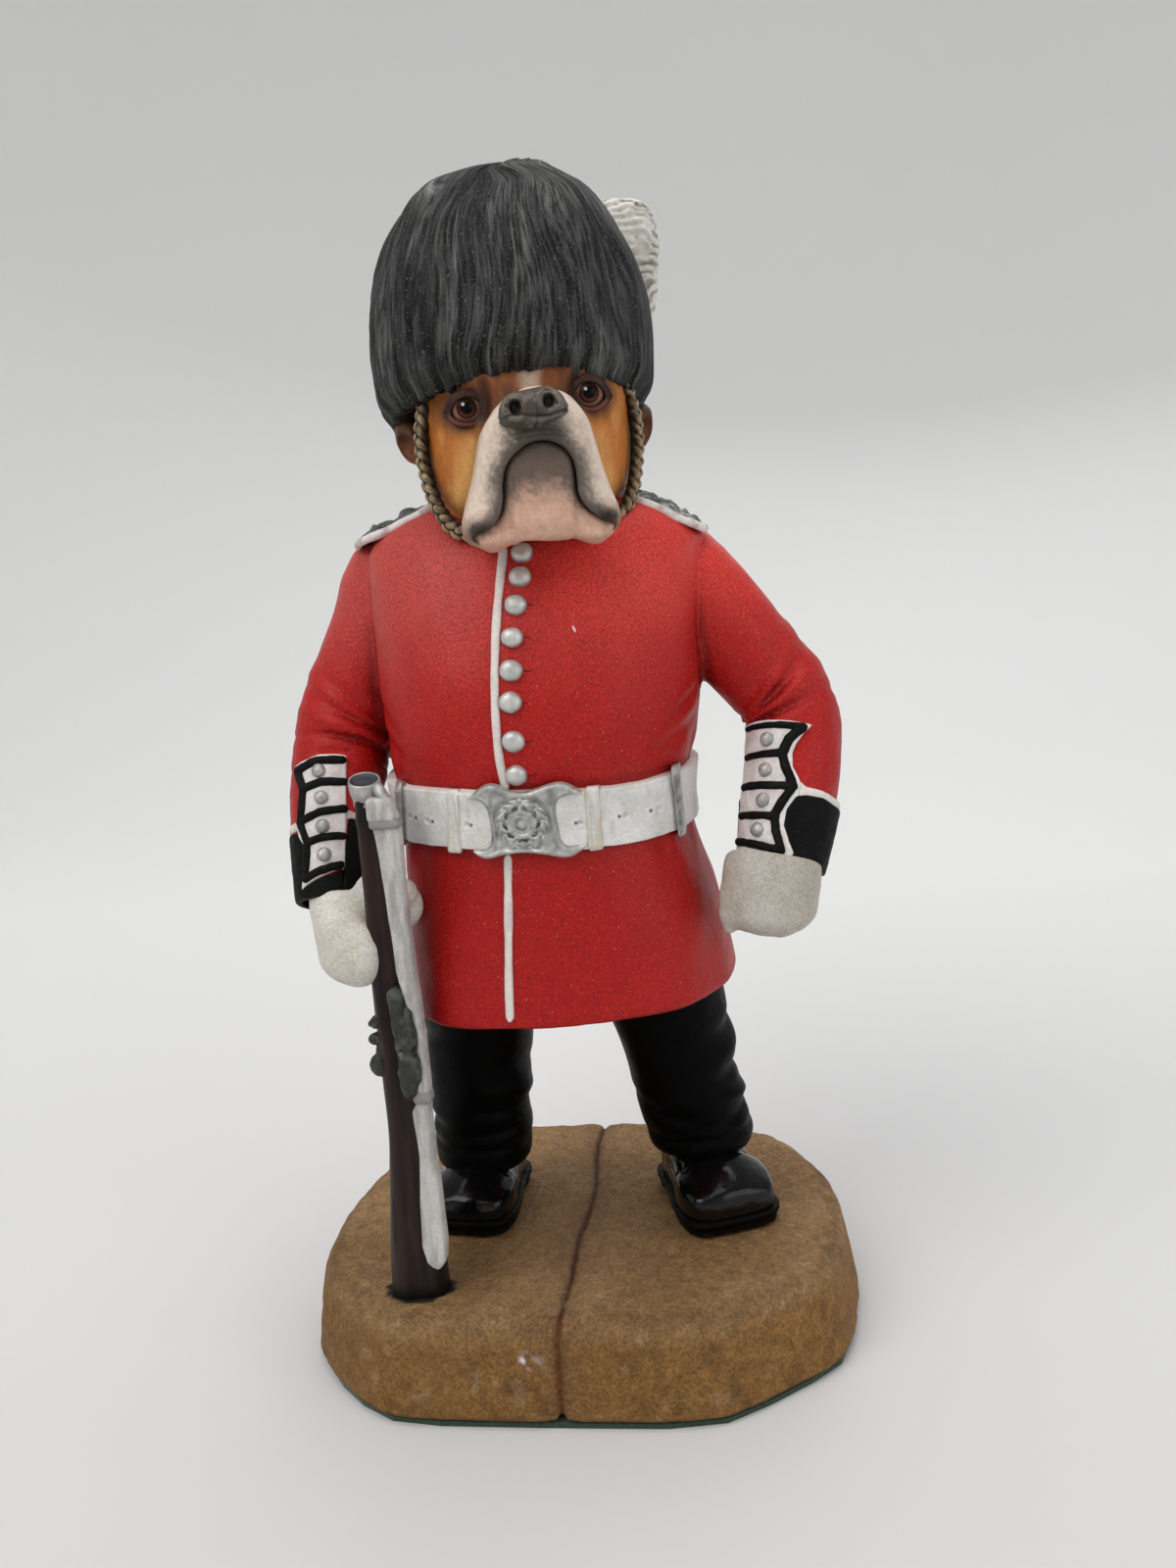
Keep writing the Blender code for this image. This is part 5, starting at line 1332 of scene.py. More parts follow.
CUFF = {   # angle from the front and share of the sleeve's length
    "left": {
        "panel": [(-70, .612), (-50.5, .620), (-14, .645), (6.5, .655), (15.5, .658), (6, .682), (-1, .708), (-4.5, .732),
                  (-4, .765), (5, .800), (5, .838), (-5.5, .876), (-6.5, .918), (2, .958), (10, .985), (4, 1.004),
                  (2, 1.02), (-20, 1.02), (-84, 1.012), (-80, .905), (-74, .802)],
        "zig": [(4.5, .668), (-8.5, .700), (-14.5, .735), (-11, .768), (-2, .818), (-12, .860), (-18, .893),
                (-15, .935), (-5.5, .984)],
        "bars": [[(-58, .650), (4.5, .668)], [(-60, .733), (-14.5, .733)], [(-63, .819), (-2, .818)],
                 [(-66, .898), (-18, .899)], [(-74, .964), (-6.5, .984)]],
        "edging": [(4, .798), (12, .811), (34, .812), (58, .818), (100, .822), (180, .825), (260, .822), (284, .818),
                   (284, .842), (260, .846), (180, .848), (100, .845), (58, .842), (34, .836), (13, .838), (4, .842)],
        "black": [(1.5, .840), (13.5, .832), (35, .830), (56.5, .838), (100, .842), (180, .845), (260, .842),
                  (282, .838), (282, 1.012), (180, 1.014), (60, 1.014), (30, 1.012), (14, 1.002), (1, .960),
                  (-8, .920), (-7, .875)],
                "buttons": [(-30.5, .698), (-32, .777), (-32, .858), (-36, .936)],
    },
    "right": {
        "panel": [(-40, .664), (-31.5, .657), (-7.5, .640), (13, .635), (19, .637), (22.5, .688), (27.5, .772),
                  (30.5, .850), (33.5, .934), (15, .950), (-20, .980), (-31, .992), (-25, .952), (-20, .912),
                  (-21, .878), (-30, .850), (-33, .812), (-27, .772), (-27, .738), (-31, .704)],
        "zig": [(-32, .676), (-22, .730), (-22.5, .772), (-25, .815), (-15.5, .868), (-15.5, .912), (-20, .966)],
        "bars": [[(-31.5, .677), (-8.5, .658), (15, .652)], [(-22, .729), (-2.5, .711), (21, .707)],
                 [(-24, .815), (-1, .792), (25, .780)], [(-14.5, .871), (3.5, .860), (27, .855)],
                 [(-20, .966), (4.5, .945), (27, .931)]],
        "edging": [(28, .776), (41, .782), (90, .795), (180, .805), (270, .808), (328, .806), (328, .832), (270, .832),
                   (180, .828), (90, .818), (41, .803), (31, .803), (34, .940), (31, .940)],
        "black": [(33.5, .800), (41, .800), (90, .814), (180, .824), (270, .828), (322, .836), (331, .852),
                  (339, .878), (340, .912), (335, .952), (329, .982), (342, .978), (360, .964), (378, .952),
                  (393, .940), (393, 1.014), (33.5, 1.014)],
        "buttons": [(-6, .682), (-0.5, .752), (3, .830), (6, .905)],
    },
}


def build_cuff(side):
    spec, length, place = CUFF[side], LEN[side], sleeve_map(side)

    def flat_poly(pts):
        return np.array([(d * PER_DEG, s * length) for d, s in pts])

    def wrap(v):
        return place(v[:, 0] / PER_DEG, v[:, 1] / length, v[:, 2])

    def carve(pts, top, h, seed, lump):
        poly = flat_poly(pts)
        lo, hi = poly.min(0) - 0.8, poly.max(0) + 0.8
        blk = Block((lo[0], lo[1], -1.0), (hi[0], hi[1], top + 0.7), h)
        flat = poly_distance(blk.x + 0 * blk.y, blk.y + 0 * blk.x, poly)
        grain = lump * fbm(blk.x / 1.1, blk.y / 1.1, 0, 2, seed)
        d = blk.full(smax(smax(flat, blk.z - top - grain, 0.4), -0.6 - blk.z, 0.2))
        v, f = blk.skin(d, 2)
        return blk, d, v, f, poly_distance(v[:, 0], v[:, 1], poly)

    blk, d, v, f, inset = carve(spec["panel"], 0.62, 0.15, 61, 0.05)
    col = mix(tones(len(v), srgb(224, 219, 217)), srgb(200, 188, 186), 0.7 * smooth(-0.4, 0.8, fbm(
        v[:, 0] / 1.3, v[:, 1] / 1.3, 0, 3, 62)))
    col = mix(col, srgb(234, 230, 228), 0.7 * smooth(-0.75, -0.25, inset))
    col = mix(col, srgb(200, 130, 124), 0.7 * smooth(0.35, 0.05, v[:, 2]))
    piece(side + "_cuff_flash_panel", wrap(v), f, WHITE_PAINT, (side + "_cuff_flash",), col)

    # raised black lace
    lines = [spec["zig"]] + spec["bars"]
    poly = flat_poly(spec["panel"])
    lo, hi = poly.min(0) - 0.6, poly.max(0) + 0.6
    blk = Block((lo[0], lo[1], -0.3), (hi[0], hi[1], 1.7), 0.13)
    flat = None
    for pts in lines:
        q = poly_distance(blk.x + 0 * blk.y, blk.y + 0 * blk.x, flat_poly(pts), closed=False)
        flat = q if flat is None else np.minimum(flat, q)
    rough = 0.06 * fbm(blk.x / 0.8, blk.y / 0.8, blk.z / 0.8, 2, 63)
    d = blk.full(np.sqrt(flat ** 2 + (1.2 * (blk.z - 0.60)) ** 2) - 0.54 + rough)
    v, f = blk.skin(d, 2)
    col = mix(tones(len(v), srgb(16, 17, 16)), srgb(42, 42, 39), 0.5 * smooth(0.95, 1.15, v[:, 2]) * smooth(
        -0.1, 0.7, fbm(v[:, 0] / 0.7, v[:, 1] / 0.7, 0, 2, 64)))
    piece(side + "_cuff_lace", wrap(v), f, CUFF_BLACK, (), col)

    blk, d, v, f, inset = carve(spec["edging"], 0.30 if side == "right" else 0.45, 0.17, 65, 0.04)
    col = mix(tones(len(v), srgb(228, 220, 214)), srgb(204, 186, 180), smooth(-0.3, 0.8, fbm(
        v[:, 0] / 1.3, v[:, 1] / 1.3, 0, 2, 66)))
    piece(side + "_cuff_edging", wrap(v), f, WHITE_PAINT, (), col)

    blk, d, v, f, inset = carve(spec["black"], 0.38 if side == "right" else 0.6, 0.19, 67, 0.04)
    col = mix(tones(len(v), srgb(16, 17, 16)), srgb(38, 38, 36), 0.5 * smooth(-0.45, -0.1, inset) * smooth(
        -0.1, 0.7, fbm(v[:, 0] / 0.9, v[:, 1] / 0.9, 0, 2, 68)))
    piece(side + "_cuff_band", wrap(v), f, CUFF_BLACK, (side + "_cuff",), col)

    for i, (deg, share) in enumerate(spec["buttons"]):
        a = place(np.array([deg]), np.array([share]), np.array([0.5]))[0]
        b = place(np.array([deg]), np.array([share]), np.array([1.5]))[0]
        v, f = lathe(dome_profile(0.97, 0.92, 0.3), a, b - a, 28, 0.05, 20 + i)
        hgt = (v - a) @ (b - a)
        col = silver_tones(v, np.ones(len(v)), 20 + i)
        # painted shade round the foot of each button
        col = mix(col, srgb(150, 148, 146), 0.7 * smooth(0.3, 0.05, hgt))
        piece("%s_cuff_button_%d_dome" % (side, i + 1), v, f, SILVER_PAINT,
              ("%s_cuff_button_%d" % (side, i + 1),), col)


for _side in ("right", "left"):
    build_cuff(_side)


# --------------------------------------------------------------------- gloves
def glove_tones(v, opened, seed):
    x, y, z = v.T
    col = mix(tones(len(v), srgb(198, 194, 186)), srgb(186, 181, 170), smooth(-0.5, 0.7, fbm(x / 4, y / 4, z / 4, 3, seed)))
    speck = fbm(x / 0.55, y / 0.55, z / 0.55, 2, seed + 1)
    col = mix(col, srgb(166, 157, 140), 0.25 * smooth(0.2, 0.9, speck))
    col = mix(col, srgb(210, 207, 200), 0.3 * smooth(-0.2, -0.9, speck))
    # painted shade in the creases
    return mix(col, srgb(150, 136, 112), 0.6 * smooth(0.96, 0.55, opened))


def build_gloves():
    # left: a closed fist hanging at the side
    blk = Block((20.8, -18.4, 57.4), (37.6, -3.2, 72.4), 0.3)
    x, y, z = blk.x, blk.y, blk.z
    wide = np.interp(blk.ax[2], [58.5, 60.0, 62.0, 65.0, 68.0, 70.0, 72.0], [4.6, 5.2, 6.0, 6.45, 6.4, 6.2, 6.0]).astype(F4)
    mid = np.interp(blk.ax[2], [58.5, 61.0, 65.0, 69.0, 72.0], [29.3, 29.2, 29.2, 29.7, 30.6]).astype(F4)
    deep = np.interp(blk.ax[2], [58.5, 62.0, 66.0, 69.0, 72.0], [4.6, 5.4, 5.5, 5.6, 5.5]).astype(F4)
    ux, uy = np.abs(x - mid) / wide, np.abs(y + F4(10.9)) / deep
    q = (ux ** 3.4 + uy ** 3.0 + F4(1e-6)) ** F4(1 / 3.2)
    d = (q - 1) * F4(5.0)
    d = smax(d, F4(59.15) - z - 0.13 * (x - 30.2) * (x < 30.2) + 0.16 * (x - 30.2) * (x >= 30.2), 3.2)
    thumb = blk.chain([(24.6, -13.0, 65.6), (23.9, -13.9, 62.8), (23.7, -14.0, 61.0)], [1.5, 1.2, 0.7], 0.8)
    d = smin(d, thumb, 1.2)
    for xx, tilt in ((26.3, 0.10), (29.4, 0.04), (32.4, -0.06)):
        d = d + 0.07 * np.exp(-((x - xx - tilt * (z - 60)) / 0.5) ** 2) * smooth(63.6, 60.5, z) * smooth(-11, -14, y)
    d = d + 0.06 * fbm(x / 3, y / 3, z / 3, 2, 121)
    # the cuff's end plane, leaning with the arm
    d = smax(d, (x - 30.8) * 0.197 + (y + 10.1) * 0.393 + (z - 68.2) * 0.899 - 0.3, 0.5)
    d = blk.full(d)
    v, f = blk.skin(d, 2)
    piece("left_glove_fist", v, f, GLOVE_PAINT, ("left_glove",), glove_tones(v, open_share(blk, d, v, 0.9), 130))
    # right: a mitten round the rifle
    blk = Block((-32.4, -25.0, 55.6), (-13.6, -8.6, 73.4), 0.3)
    x, y, z = blk.x, blk.y, blk.z
    d = blk.chain([(-28.6, -12.8, 68.8), (-27.3, -15.2, 66.0), (-26.1, -17.0, 63.8), (-25.7, -18.4, 61.2)],
                  [3.6, 3.6, 3.9, 4.0], 1.2)
    d = smin(d, blk.ell((-23.2, -21.6, 61.9), (2.8, 2.5, 4.0)), 3.4)
    d = smin(d, blk.ell((-22.0, -15.4, 66.4), (6.0, 2.7, 4.4)), 1.6)
    thumb = blk.chain([(-19.8, -15.8, 67.6), (-17.9, -17.0, 68.6), (-17.9, -18.2, 69.4)], [1.6, 1.5, 1.4], 0.6)
    d = smin(d, thumb, 0.8)
    for zz in (60.6, 62.9, 65.0):
        d = d + 0.05 * np.exp(-((z - zz - 0.45 * (x + 24)) / 0.5) ** 2) * smooth(-26.2, -23.8, x) * smooth(-18.5, -20.5, y)
    d = d + 0.05 * fbm(x / 3, y / 3, z / 3, 2, 122)
    d = smax(d, (y + 13.5) * 0.50 + (z - 67.0) * 0.866 - 0.2 - 4.0 * smooth(-25.2, -22.6, x), 0.5)
    d = blk.full(d)
    v, f = blk.skin(d, 2)
    # painted light: the mitten's tones are made a fifth lighter than the fist's
    piece("right_glove_mitten", v, f, GLOVE_PAINT, ("right_glove",),
          np.minimum(1.2 * glove_tones(v, open_share(blk, d, v, 0.9), 140), 0.9))


build_gloves()

# ---------------------------------------------------------------------- rifle
STOCK = np.array([(13.2, -20.3, 3.75, 2.9), (18.0, -20.15, 3.6, 2.85), (25.0, -20.0, 3.2, 2.6), (31.0, -19.8, 2.9, 2.5),
                  (37.0, -19.5, 2.75, 2.4), (45.0, -19.45, 2.75, 2.4), (57.0, -19.45, 2.75, 2.3),
                  (68.0, -19.5, 2.5, 2.2), (75.0, -19.8, 2.15, 2.0), (82.2, -20.1, 1.85, 1.85)])
STOCK_Y = -20.4


def build_rifle():
    blk = Block((-25.2, -24.4, 12.6), (-14.6, -16.6, 83.2), 0.28)
    x, y, z = blk.x, blk.y, blk.z
    q = hermite(STOCK, blk.ax[2].astype(float)).astype(F4)
    mx, a, b = (q[None, None, :, k] for k in range(3))
    ux, uy = np.abs(x - mx) / a, np.abs(y - F4(STOCK_Y)) / b
    n = F4(2.7)
    d = ((ux ** n + uy ** n + F4(1e-6)) ** (1 / n) - 1) * np.minimum(a, b)
    ridge = (x - mx) + 0.35
    d = d - 0.14 * smooth(0.9, -0.9, ridge) * (y < STOCK_Y) + 0.12 * np.exp(-(ridge / 0.35) ** 2) * (y < STOCK_Y)
    d = d + 0.06 * fbm(x / 1.4, y / 1.4, z / 9, 3, 151)
    band = np.exp(-((z - 64.0) / 0.7) ** 2) + np.exp(-((z - 79.2) / 0.6) ** 2)
    d = d - 0.12 * band
    d = smax(smax(d, F4(13.2) - z, 0.5), z - F4(82.2), 0.4)
    d = blk.full(d)
    v, f = blk.skin(d, 2)
    grain = fbm(v[:, 0] / 0.9, v[:, 1] / 0.9, v[:, 2] / 8, 3, 152)
    col = mix(tones(len(v), srgb(46, 32, 28)), srgb(27, 18, 15), smooth(-0.3, 0.8, grain))
    col = mix(col, srgb(62, 46, 41), 0.35 * smooth(0.25, 0.9, fbm(v[:, 0] / 0.7, v[:, 1] / 0.7, v[:, 2] / 5, 2, 153)))
    # painted contact shadow: the stock darkens to near black where it stands in the base
    col = mix(col, srgb(14, 12, 11), smooth(16.6, 14.8, v[:, 2] + 0.5 * noise(v[:, 0], v[:, 1], 0, 6)))
    piece("rifle_stock_wood", v, f, WALNUT, ("rifle_stock",), col)

    # nose cap: a silver cup with a dark disc let in, and a lug
    cx, cy = -20.5, STOCK_Y
    prof = [(1.7, 80.7), (1.85, 81.2), (1.85, 81.8), (1.95, 82.2), (2.08, 82.9), (2.1, 83.9), (2.06, 84.4), (1.96, 84.62),
            (1.84, 84.64), (1.76, 84.5), (1.1, 84.48), (0.4, 84.5)]
    rows = []
    ang = np.linspace(0, 2 * math.pi, 44, endpoint=False)
    for r, h in prof:
        k = 1 + 0.03 * noise(2 * np.cos(ang), 2 * np.sin(ang), h / 2, 161)
        rows.append(np.stack([cx + r * k * np.cos(ang), cy + r * k * np.sin(ang), np.full_like(ang, h)
                              - 0.06 * (r * np.cos(ang))], 1))
    v, f = capped(np.array(rows))
    # the mouth leans forward
    dy, dz = v[:, 1] - cy, v[:, 2] - 82.4
    lean = np.radians(17.0) * smooth(81.2, 83.0, v[:, 2])
    v[:, 1] = cy + dy * np.cos(lean) - dz * np.sin(lean)
    v[:, 2] = 82.4 + dy * np.sin(lean) + dz * np.cos(lean)
    inner = np.r_[np.repeat(np.arange(len(prof)), 44), 0, len(prof)]
    col = silver_tones(v, np.ones(len(v)), 30)
    col = mix(col, srgb(58, 70, 78), (inner >= 9) * 1.0)
    col = mix(col, srgb(110, 112, 112), 0.5 * smooth(82.6, 81.4, v[:, 2]))
    lug = sweep(catmull([(-18.9, -21.6, 83.6), (-18.0, -22.6, 82.9), (-17.4, -23.0, 81.9), (-17.2, -23.1, 81.0)], 20),
                circle(0.75, 14), np.interp(np.linspace(0, 1, 20), [0, 0.1, 0.8, 1], [0.5, 1.1, 0.9, 0.4]))
    lv, lf = lug
    vv, ff = join([(v, f), (lv, lf)])
    col = np.vstack([col, silver_tones(lv, np.ones(len(lv)), 31)])
    piece("rifle_nose_cap_cup", vv, ff, SILVER_PAINT, ("rifle_nose_cap",), col)

    # sling: a folded strap down the front, carved flat as (x, height, out)
    edge = np.array([(80.2, -19.75, -16.3), (79.0, -19.4, -16.06), (76.3, -19.07, -15.99), (71.0, -18.73, -16.14),
                     (65.3, -18.47, -16.09), (60.0, -18.3, -15.9), (55.0, -17.39, -15.63), (49.5, -17.3, -15.6),
                     (44.4, -17.15, -15.53), (42.6, -17.2, -15.6), (41.0, -18.09, -15.73), (35.0, -17.82, -15.74),
                     (28.6, -18.31, -15.46), (22.2, -18.51, -15.34), (20.0, -18.0, -15.6), (18.9, -16.9, -16.4)])
    blk = Block((-20.6, 18.0, -1.6), (-14.6, 83.4, 2.4), 0.26)
    x, z, w = blk.x, blk.y, blk.z
    left = np.interp(blk.ax[1], edge[::-1, 0], edge[::-1, 1]).astype(F4)[None, :, None]
    right = np.interp(blk.ax[1], edge[::-1, 0], edge[::-1, 2]).astype(F4)[None, :, None]
    wob = 0.05 * noise(z / 4.5, 0, 0, 171)
    half = 0.5 * (right - left)
    u = (x - 0.5 * (left + right) - wob) / np.maximum(half, 0.2)
    d = (np.abs(u) - 1) * np.maximum(half, 0.2)
    top = 0.95 + 0.30 * smooth(-0.1, -0.75, u) - 0.22 * np.exp(-((u + 0.28) / 0.16) ** 2) \
        + 0.12 * np.exp(-((u - 0.1) / 0.3) ** 2) + 0.03 * fbm(x / 0.8, z / 3.5, 0, 3, 172)
    top = top + 0.25 * smooth(30, 21, z)
    d = smax(smax(d, w - top, 0.5), -1.2 - w, 0.4)
    d = smax(d, z - F4(80.6), 0.4)
    d = smax(d, F4(18.9) - z, 0.4)
    block = blk.box((-18.2, 81.0, 0.3), (1.75, 1.5, 1.25), 0.5)
    bar = blk.box((-17.8, 79.15, 0.35), (2.0, 0.5, 1.25), 0.4)
    ring = blk.box((-16.55, 42.95, 0.2), (1.25, 0.78, 1.25), 0.55)
    d = smin(smin(d, block, 0.3), smin(bar, ring, 0.1), 0.2)
    d = blk.full(d)
    v, f = blk.skin(d, 2)
    o = open_share(blk, d, v, 0.5)
    col = mix(tones(len(v), srgb(198, 196, 192)), srgb(168, 165, 161), smooth(-0.3, 0.8, fbm(v[:, 0] / 0.8, v[:, 1] / 5, 0, 3, 173)))
    # painted shade in the folds and creases
    col = mix(col, srgb(122, 119, 115), 0.7 * smooth(0.93, 0.5, o))
    smear = smooth(0.25, 0.8, fbm(v[:, 0] / 0.5, v[:, 1] / 2.2, 0, 3, 174))
    col = mix(col, srgb(150, 147, 143), 0.4 * smear)
    metal = np.maximum(smooth(0.75, 0.5, np.abs(v[:, 1] - 79.15)), smooth(1.0, 0.75, np.abs(v[:, 1] - 42.95)))
    col = mix(col, srgb(138, 138, 135), metal)
    tipped = smooth(20.4, 19.4, v[:, 1])
    col = mix(col, srgb(176, 174, 170), tipped)
    back_y = STOCK_Y - np.interp(v[:, 1], STOCK[:, 0], STOCK[:, 3]) - 0.15
    piece("rifle_sling_strap", np.stack([v[:, 0], back_y - v[:, 2], v[:, 1]], 1), f, WHITE_PAINT, ("rifle_sling",), col)

    # lock and bolt: lumps on the front and nubs on the side
    blk = Block((-24.6, -26.6, 42.2), (-15.6, -18.6, 59.0), 0.22)
    x, y, z = blk.x, blk.y, blk.z
    one = poly_distance(x[:, :, 0:1] + 0 * z, z + 0 * x, catmull([(-19.7, 57.4), (-18.4, 57.9), (-17.4, 56.2), (-16.5, 53.4),
                                                          (-16.3, 51.0), (-16.7, 49.3), (-19.0, 49.0), (-19.3, 52.0),
                                                          (-19.5, 54.6)], 60, closed=True))
    two = poly_distance(x[:, :, 0:1] + 0 * z, z + 0 * x, catmull([(-18.9, 49.4), (-16.7, 49.4), (-16.4, 46.6), (-17.2, 43.5),
                                                          (-18.9, 43.6), (-19.4, 46.0)], 60, closed=True))
    w = -(y + 22.4)
    rough = 0.22 * fbm(x / 0.9, y / 0.9, z / 1.3, 2, 181)
    d = smin(smax(one, np.abs(w - 0.7) - 1.75, 0.9), smax(two, np.abs(w - 0.7) - 1.85, 0.9), 0.25)
    d = d + 0.30 * np.exp(-((x + 18.2 - 0.16 * (z - 52)) / 0.3) ** 2) * (z > 49.6) + rough
    for c, r in (((-22.2, -21.2, 52.4), (1.15, 1.0, 0.95)), ((-22.2, -21.2, 50.2), (1.25, 1.0, 0.95)),
                 ((-22.2, -21.2, 46.6), (1.5, 1.2, 1.7)), ((-21.9, -21.2, 48.6), (0.9, 0.9, 1.2))):
        d = np.minimum(d, blk.ell(c, r) + rough)
    d = blk.full(d)
    v, f = blk.skin(d, 2)
    o = open_share(blk, d, v, 0.45)
    e = edge_share(blk, d, v, 0.5)
    col = mix(tones(len(v), srgb(54, 56, 53)), srgb(76, 78, 74), smooth(-0.2, 0.8, fbm(v[:, 0], v[:, 1], v[:, 2], 2, 182)))
    # painted shade in the hollows and painted highlights on the edges
    col = mix(col, srgb(26, 28, 27), smooth(0.9, 0.45, o))
    col = mix(col, srgb(112, 114, 110), 0.4 * smooth(0.25, 0.6, e))
    piece("rifle_receiver_lock", v, f, GUN_GREY, ("rifle_receiver",), col)


build_rifle()

# ----------------------------------------------------- shoulder straps, collar
STRAP = {   # x and height of the pad's crest, then of the edging's middle
    "left": ([(12.0, 117.2), (15.0, 116.4), (16.2, 116.3), (17.4, 115.6), (17.9, 115.1), (19.4, 114.6), (21.0, 113.9),
              (22.3, 113.2), (23.0, 112.4), (23.5, 111.4)],
             [(12.0, 117.3), (14.7, 116.1), (18.2, 114.3), (21.2, 112.9), (22.5, 112.2), (23.8, 111.3)]),
    "right": ([(11.6, 117.6), (12.9, 117.4), (14.5, 117.1), (16.2, 116.4), (17.2, 115.9), (18.9, 115.5), (20.5, 115.2),
               (21.6, 114.7), (22.2, 114.0), (23.2, 112.9)],
              [(11.4, 117.6), (12.2, 117.1), (14.35, 115.7), (17.9, 114.5), (21.2, 113.6), (22.5, 113.1), (23.8, 112.4)]),
}


def build_strap(side):
    s = -1 if side == "right" else 1
    crest, rim = (np.array(t) for t in STRAP[side])
    cloth, coat = CLOTH
    mid, half, end = -2.0, 4.2, 22.8
    blk = Block((11.2, -7.6, 108.6), (26.2, 3.6, 119.6), 0.21)
    x, y, z = blk.x, blk.y, blk.z
    qx, qy = x - F4(end - 3.4), np.abs(y - F4(mid))
    plan = np.where(qx > 0, np.sqrt((qx * 1.22) ** 2 + qy ** 2), qy) - F4(half)
    plan = smax(plan, F4(12.2) - x, 0.8)
    top = np.interp(blk.ax[0], crest[:, 0], crest[:, 1]).astype(F4)[:, None, None]
    over = np.interp(blk.ax[0], rim[:, 0], rim[:, 1]).astype(F4)[:, None, None]
    height = over + 0.25 + (top - over - 0.25) * smooth(1.0, 0.25, qy / half)
    # nowhere lower than the cloth it lies on
    gx, gy, gz = np.meshgrid(*blk.ax, indexing='ij')
    under = cloth.sample(coat, np.stack([s * gx.ravel(), gy.ravel(), gz.ravel()], 1)).reshape(gx.shape)
    inside = under < 0
    last = inside.shape[2] - 1 - np.argmax(inside[:, :, ::-1], axis=2)
    bed = np.where(inside.any(2), np.asarray(blk.ax[2])[last], 108.0)
    height = np.maximum(height, (bed + 0.72).astype(F4)[:, :, None])
    # leafy relief and a round button at the inner end
    vein = np.abs(np.sin(1.55 * x + 0.9 * qy + 1.1 * noise(x / 2, y / 2, 0, 191)))
    relief = 0.42 * vein - 0.25 + 0.30 * fbm(x / 1.1, y / 1.1, z / 1.1, 2, 192)
    d = smax(plan, z - height - relief, 0.5)
    d = np.minimum(d, blk.ell((15.6, -2.6, float(np.interp(15.6, crest[:, 0], crest[:, 1])) - 0.35), (1.5, 1.5, 1.0)))
    d = smax(blk.full(d), (-0.45 - under).astype(F4), 0.2)
    d = blk.full(smax(d, over - 0.25 - z, 0.3))
    v, f = blk.skin(d, 2)
    o = open_share(blk, d, v, 0.5)
    e = edge_share(blk, d, v, 0.6)
    col = mix(tones(len(v), srgb(64, 68, 64)), srgb(92, 96, 92), smooth(-0.3, 0.7, fbm(v[:, 0], v[:, 1], v[:, 2], 2, 193)))
    # painted shade in the hollows and painted highlights on the relief's edges
    col = mix(col, srgb(30, 33, 31), smooth(0.95, 0.5, o))
    col = mix(col, srgb(176, 178, 174), 0.75 * smooth(0.12, 0.45, e) * smooth(-0.5, 0.5, fbm(
        v[:, 0] / 0.8, v[:, 1] / 0.8, v[:, 2] / 0.8, 2, 194)))
    piece(side + "_shoulder_strap_pad", v * np.array([s, 1, 1]), f, STRAP_GREY, (side + "_shoulder_strap",), col)
    # white edging along the front, round the outer end and back
    run = [(11.8, mid - half - 0.2), (14.0, mid - half - 0.2), (17.0, mid - half - 0.2), (19.4, mid - half - 0.2),
           (21.6, mid - 3.6), (22.75, mid - 1.9), (23.1, mid), (22.75, mid + 1.9), (21.6, mid + 3.6),
           (19.4, mid + half + 0.2), (17.0, mid + half + 0.2), (14.0, mid + half + 0.2), (12.4, mid + half + 0.2)]
    xy = catmull(run, 150)
    ix = np.clip(np.rint((xy[:, 0] - blk.ax[0][0]) / blk.h), 0, bed.shape[0] - 1).astype(int)
    iy = np.clip(np.rint((xy[:, 1] - blk.ax[1][0]) / blk.h), 0, bed.shape[1] - 1).astype(int)
    lie = np.maximum(np.interp(xy[:, 0], rim[:, 0], rim[:, 1]) - 0.05, bed[ix, iy] + 0.15)
    zc = np.convolve(np.pad(lie, 5, mode='edge'), np.ones(11) / 11, mode='valid')
    path = np.stack([s * xy[:, 0], xy[:, 1], zc], 1)
    fat = 0.56 * (1 + 0.12 * noise(np.arange(150) / 7.0, 0, 0, 195))
    v, f = sweep(path, circle(1.0, 14), np.stack([fat, fat], 1))
    col = mix(tones(len(v), srgb(230, 224, 220)), srgb(196, 178, 174), smooth(-0.2, 0.8, fbm(
        v[:, 0], v[:, 1], v[:, 2], 2, 196)))
    piece(side + "_shoulder_strap_edging", v, f, WHITE_PAINT, (), col)


def build_collar():
    t = np.radians(np.linspace(24, 156, 90))
    rows_o, rows_i = [], []
    for k in np.linspace(0, 1, 12):
        z = 115.2 + 4.3 * k
        r = 0.35 * math.sin(k * math.pi)
        rows_o.append(np.stack([0.4 + (13.6 + r) * np.cos(t), -1.0 + (12.0 + r) * np.sin(t), np.full_like(t, z)
                                + 0.12 * noise(t * 6, k * 2, 0, 201)], 1))
        rows_i.append(np.stack([0.4 + 12.3 * np.cos(t), -1.0 + 10.7 * np.sin(t), np.full_like(t, z)], 1))
    v, f = shell(np.array(rows_o), np.array(rows_i))
    col = mix(tones(len(v), srgb(24, 25, 24)), srgb(50, 50, 47), smooth(0.0, 0.9, fbm(v[:, 0], v[:, 1], v[:, 2], 2, 202)))
    piece("collar_band", v, f, CUFF_BLACK, ("collar",), col)
    path = np.stack([0.4 + 13.0 * np.cos(t), -1.0 + 11.4 * np.sin(t), np.full_like(t, 119.5)], 1)
    v, f = sweep(path, circle(0.5, 12), np.full(len(t), 1.0))
    piece("collar_edging", v, f, WHITE_PAINT, (), tones(len(v), srgb(226, 220, 216)))


for _side in ("right", "left"):
    build_strap(_side)
build_collar()


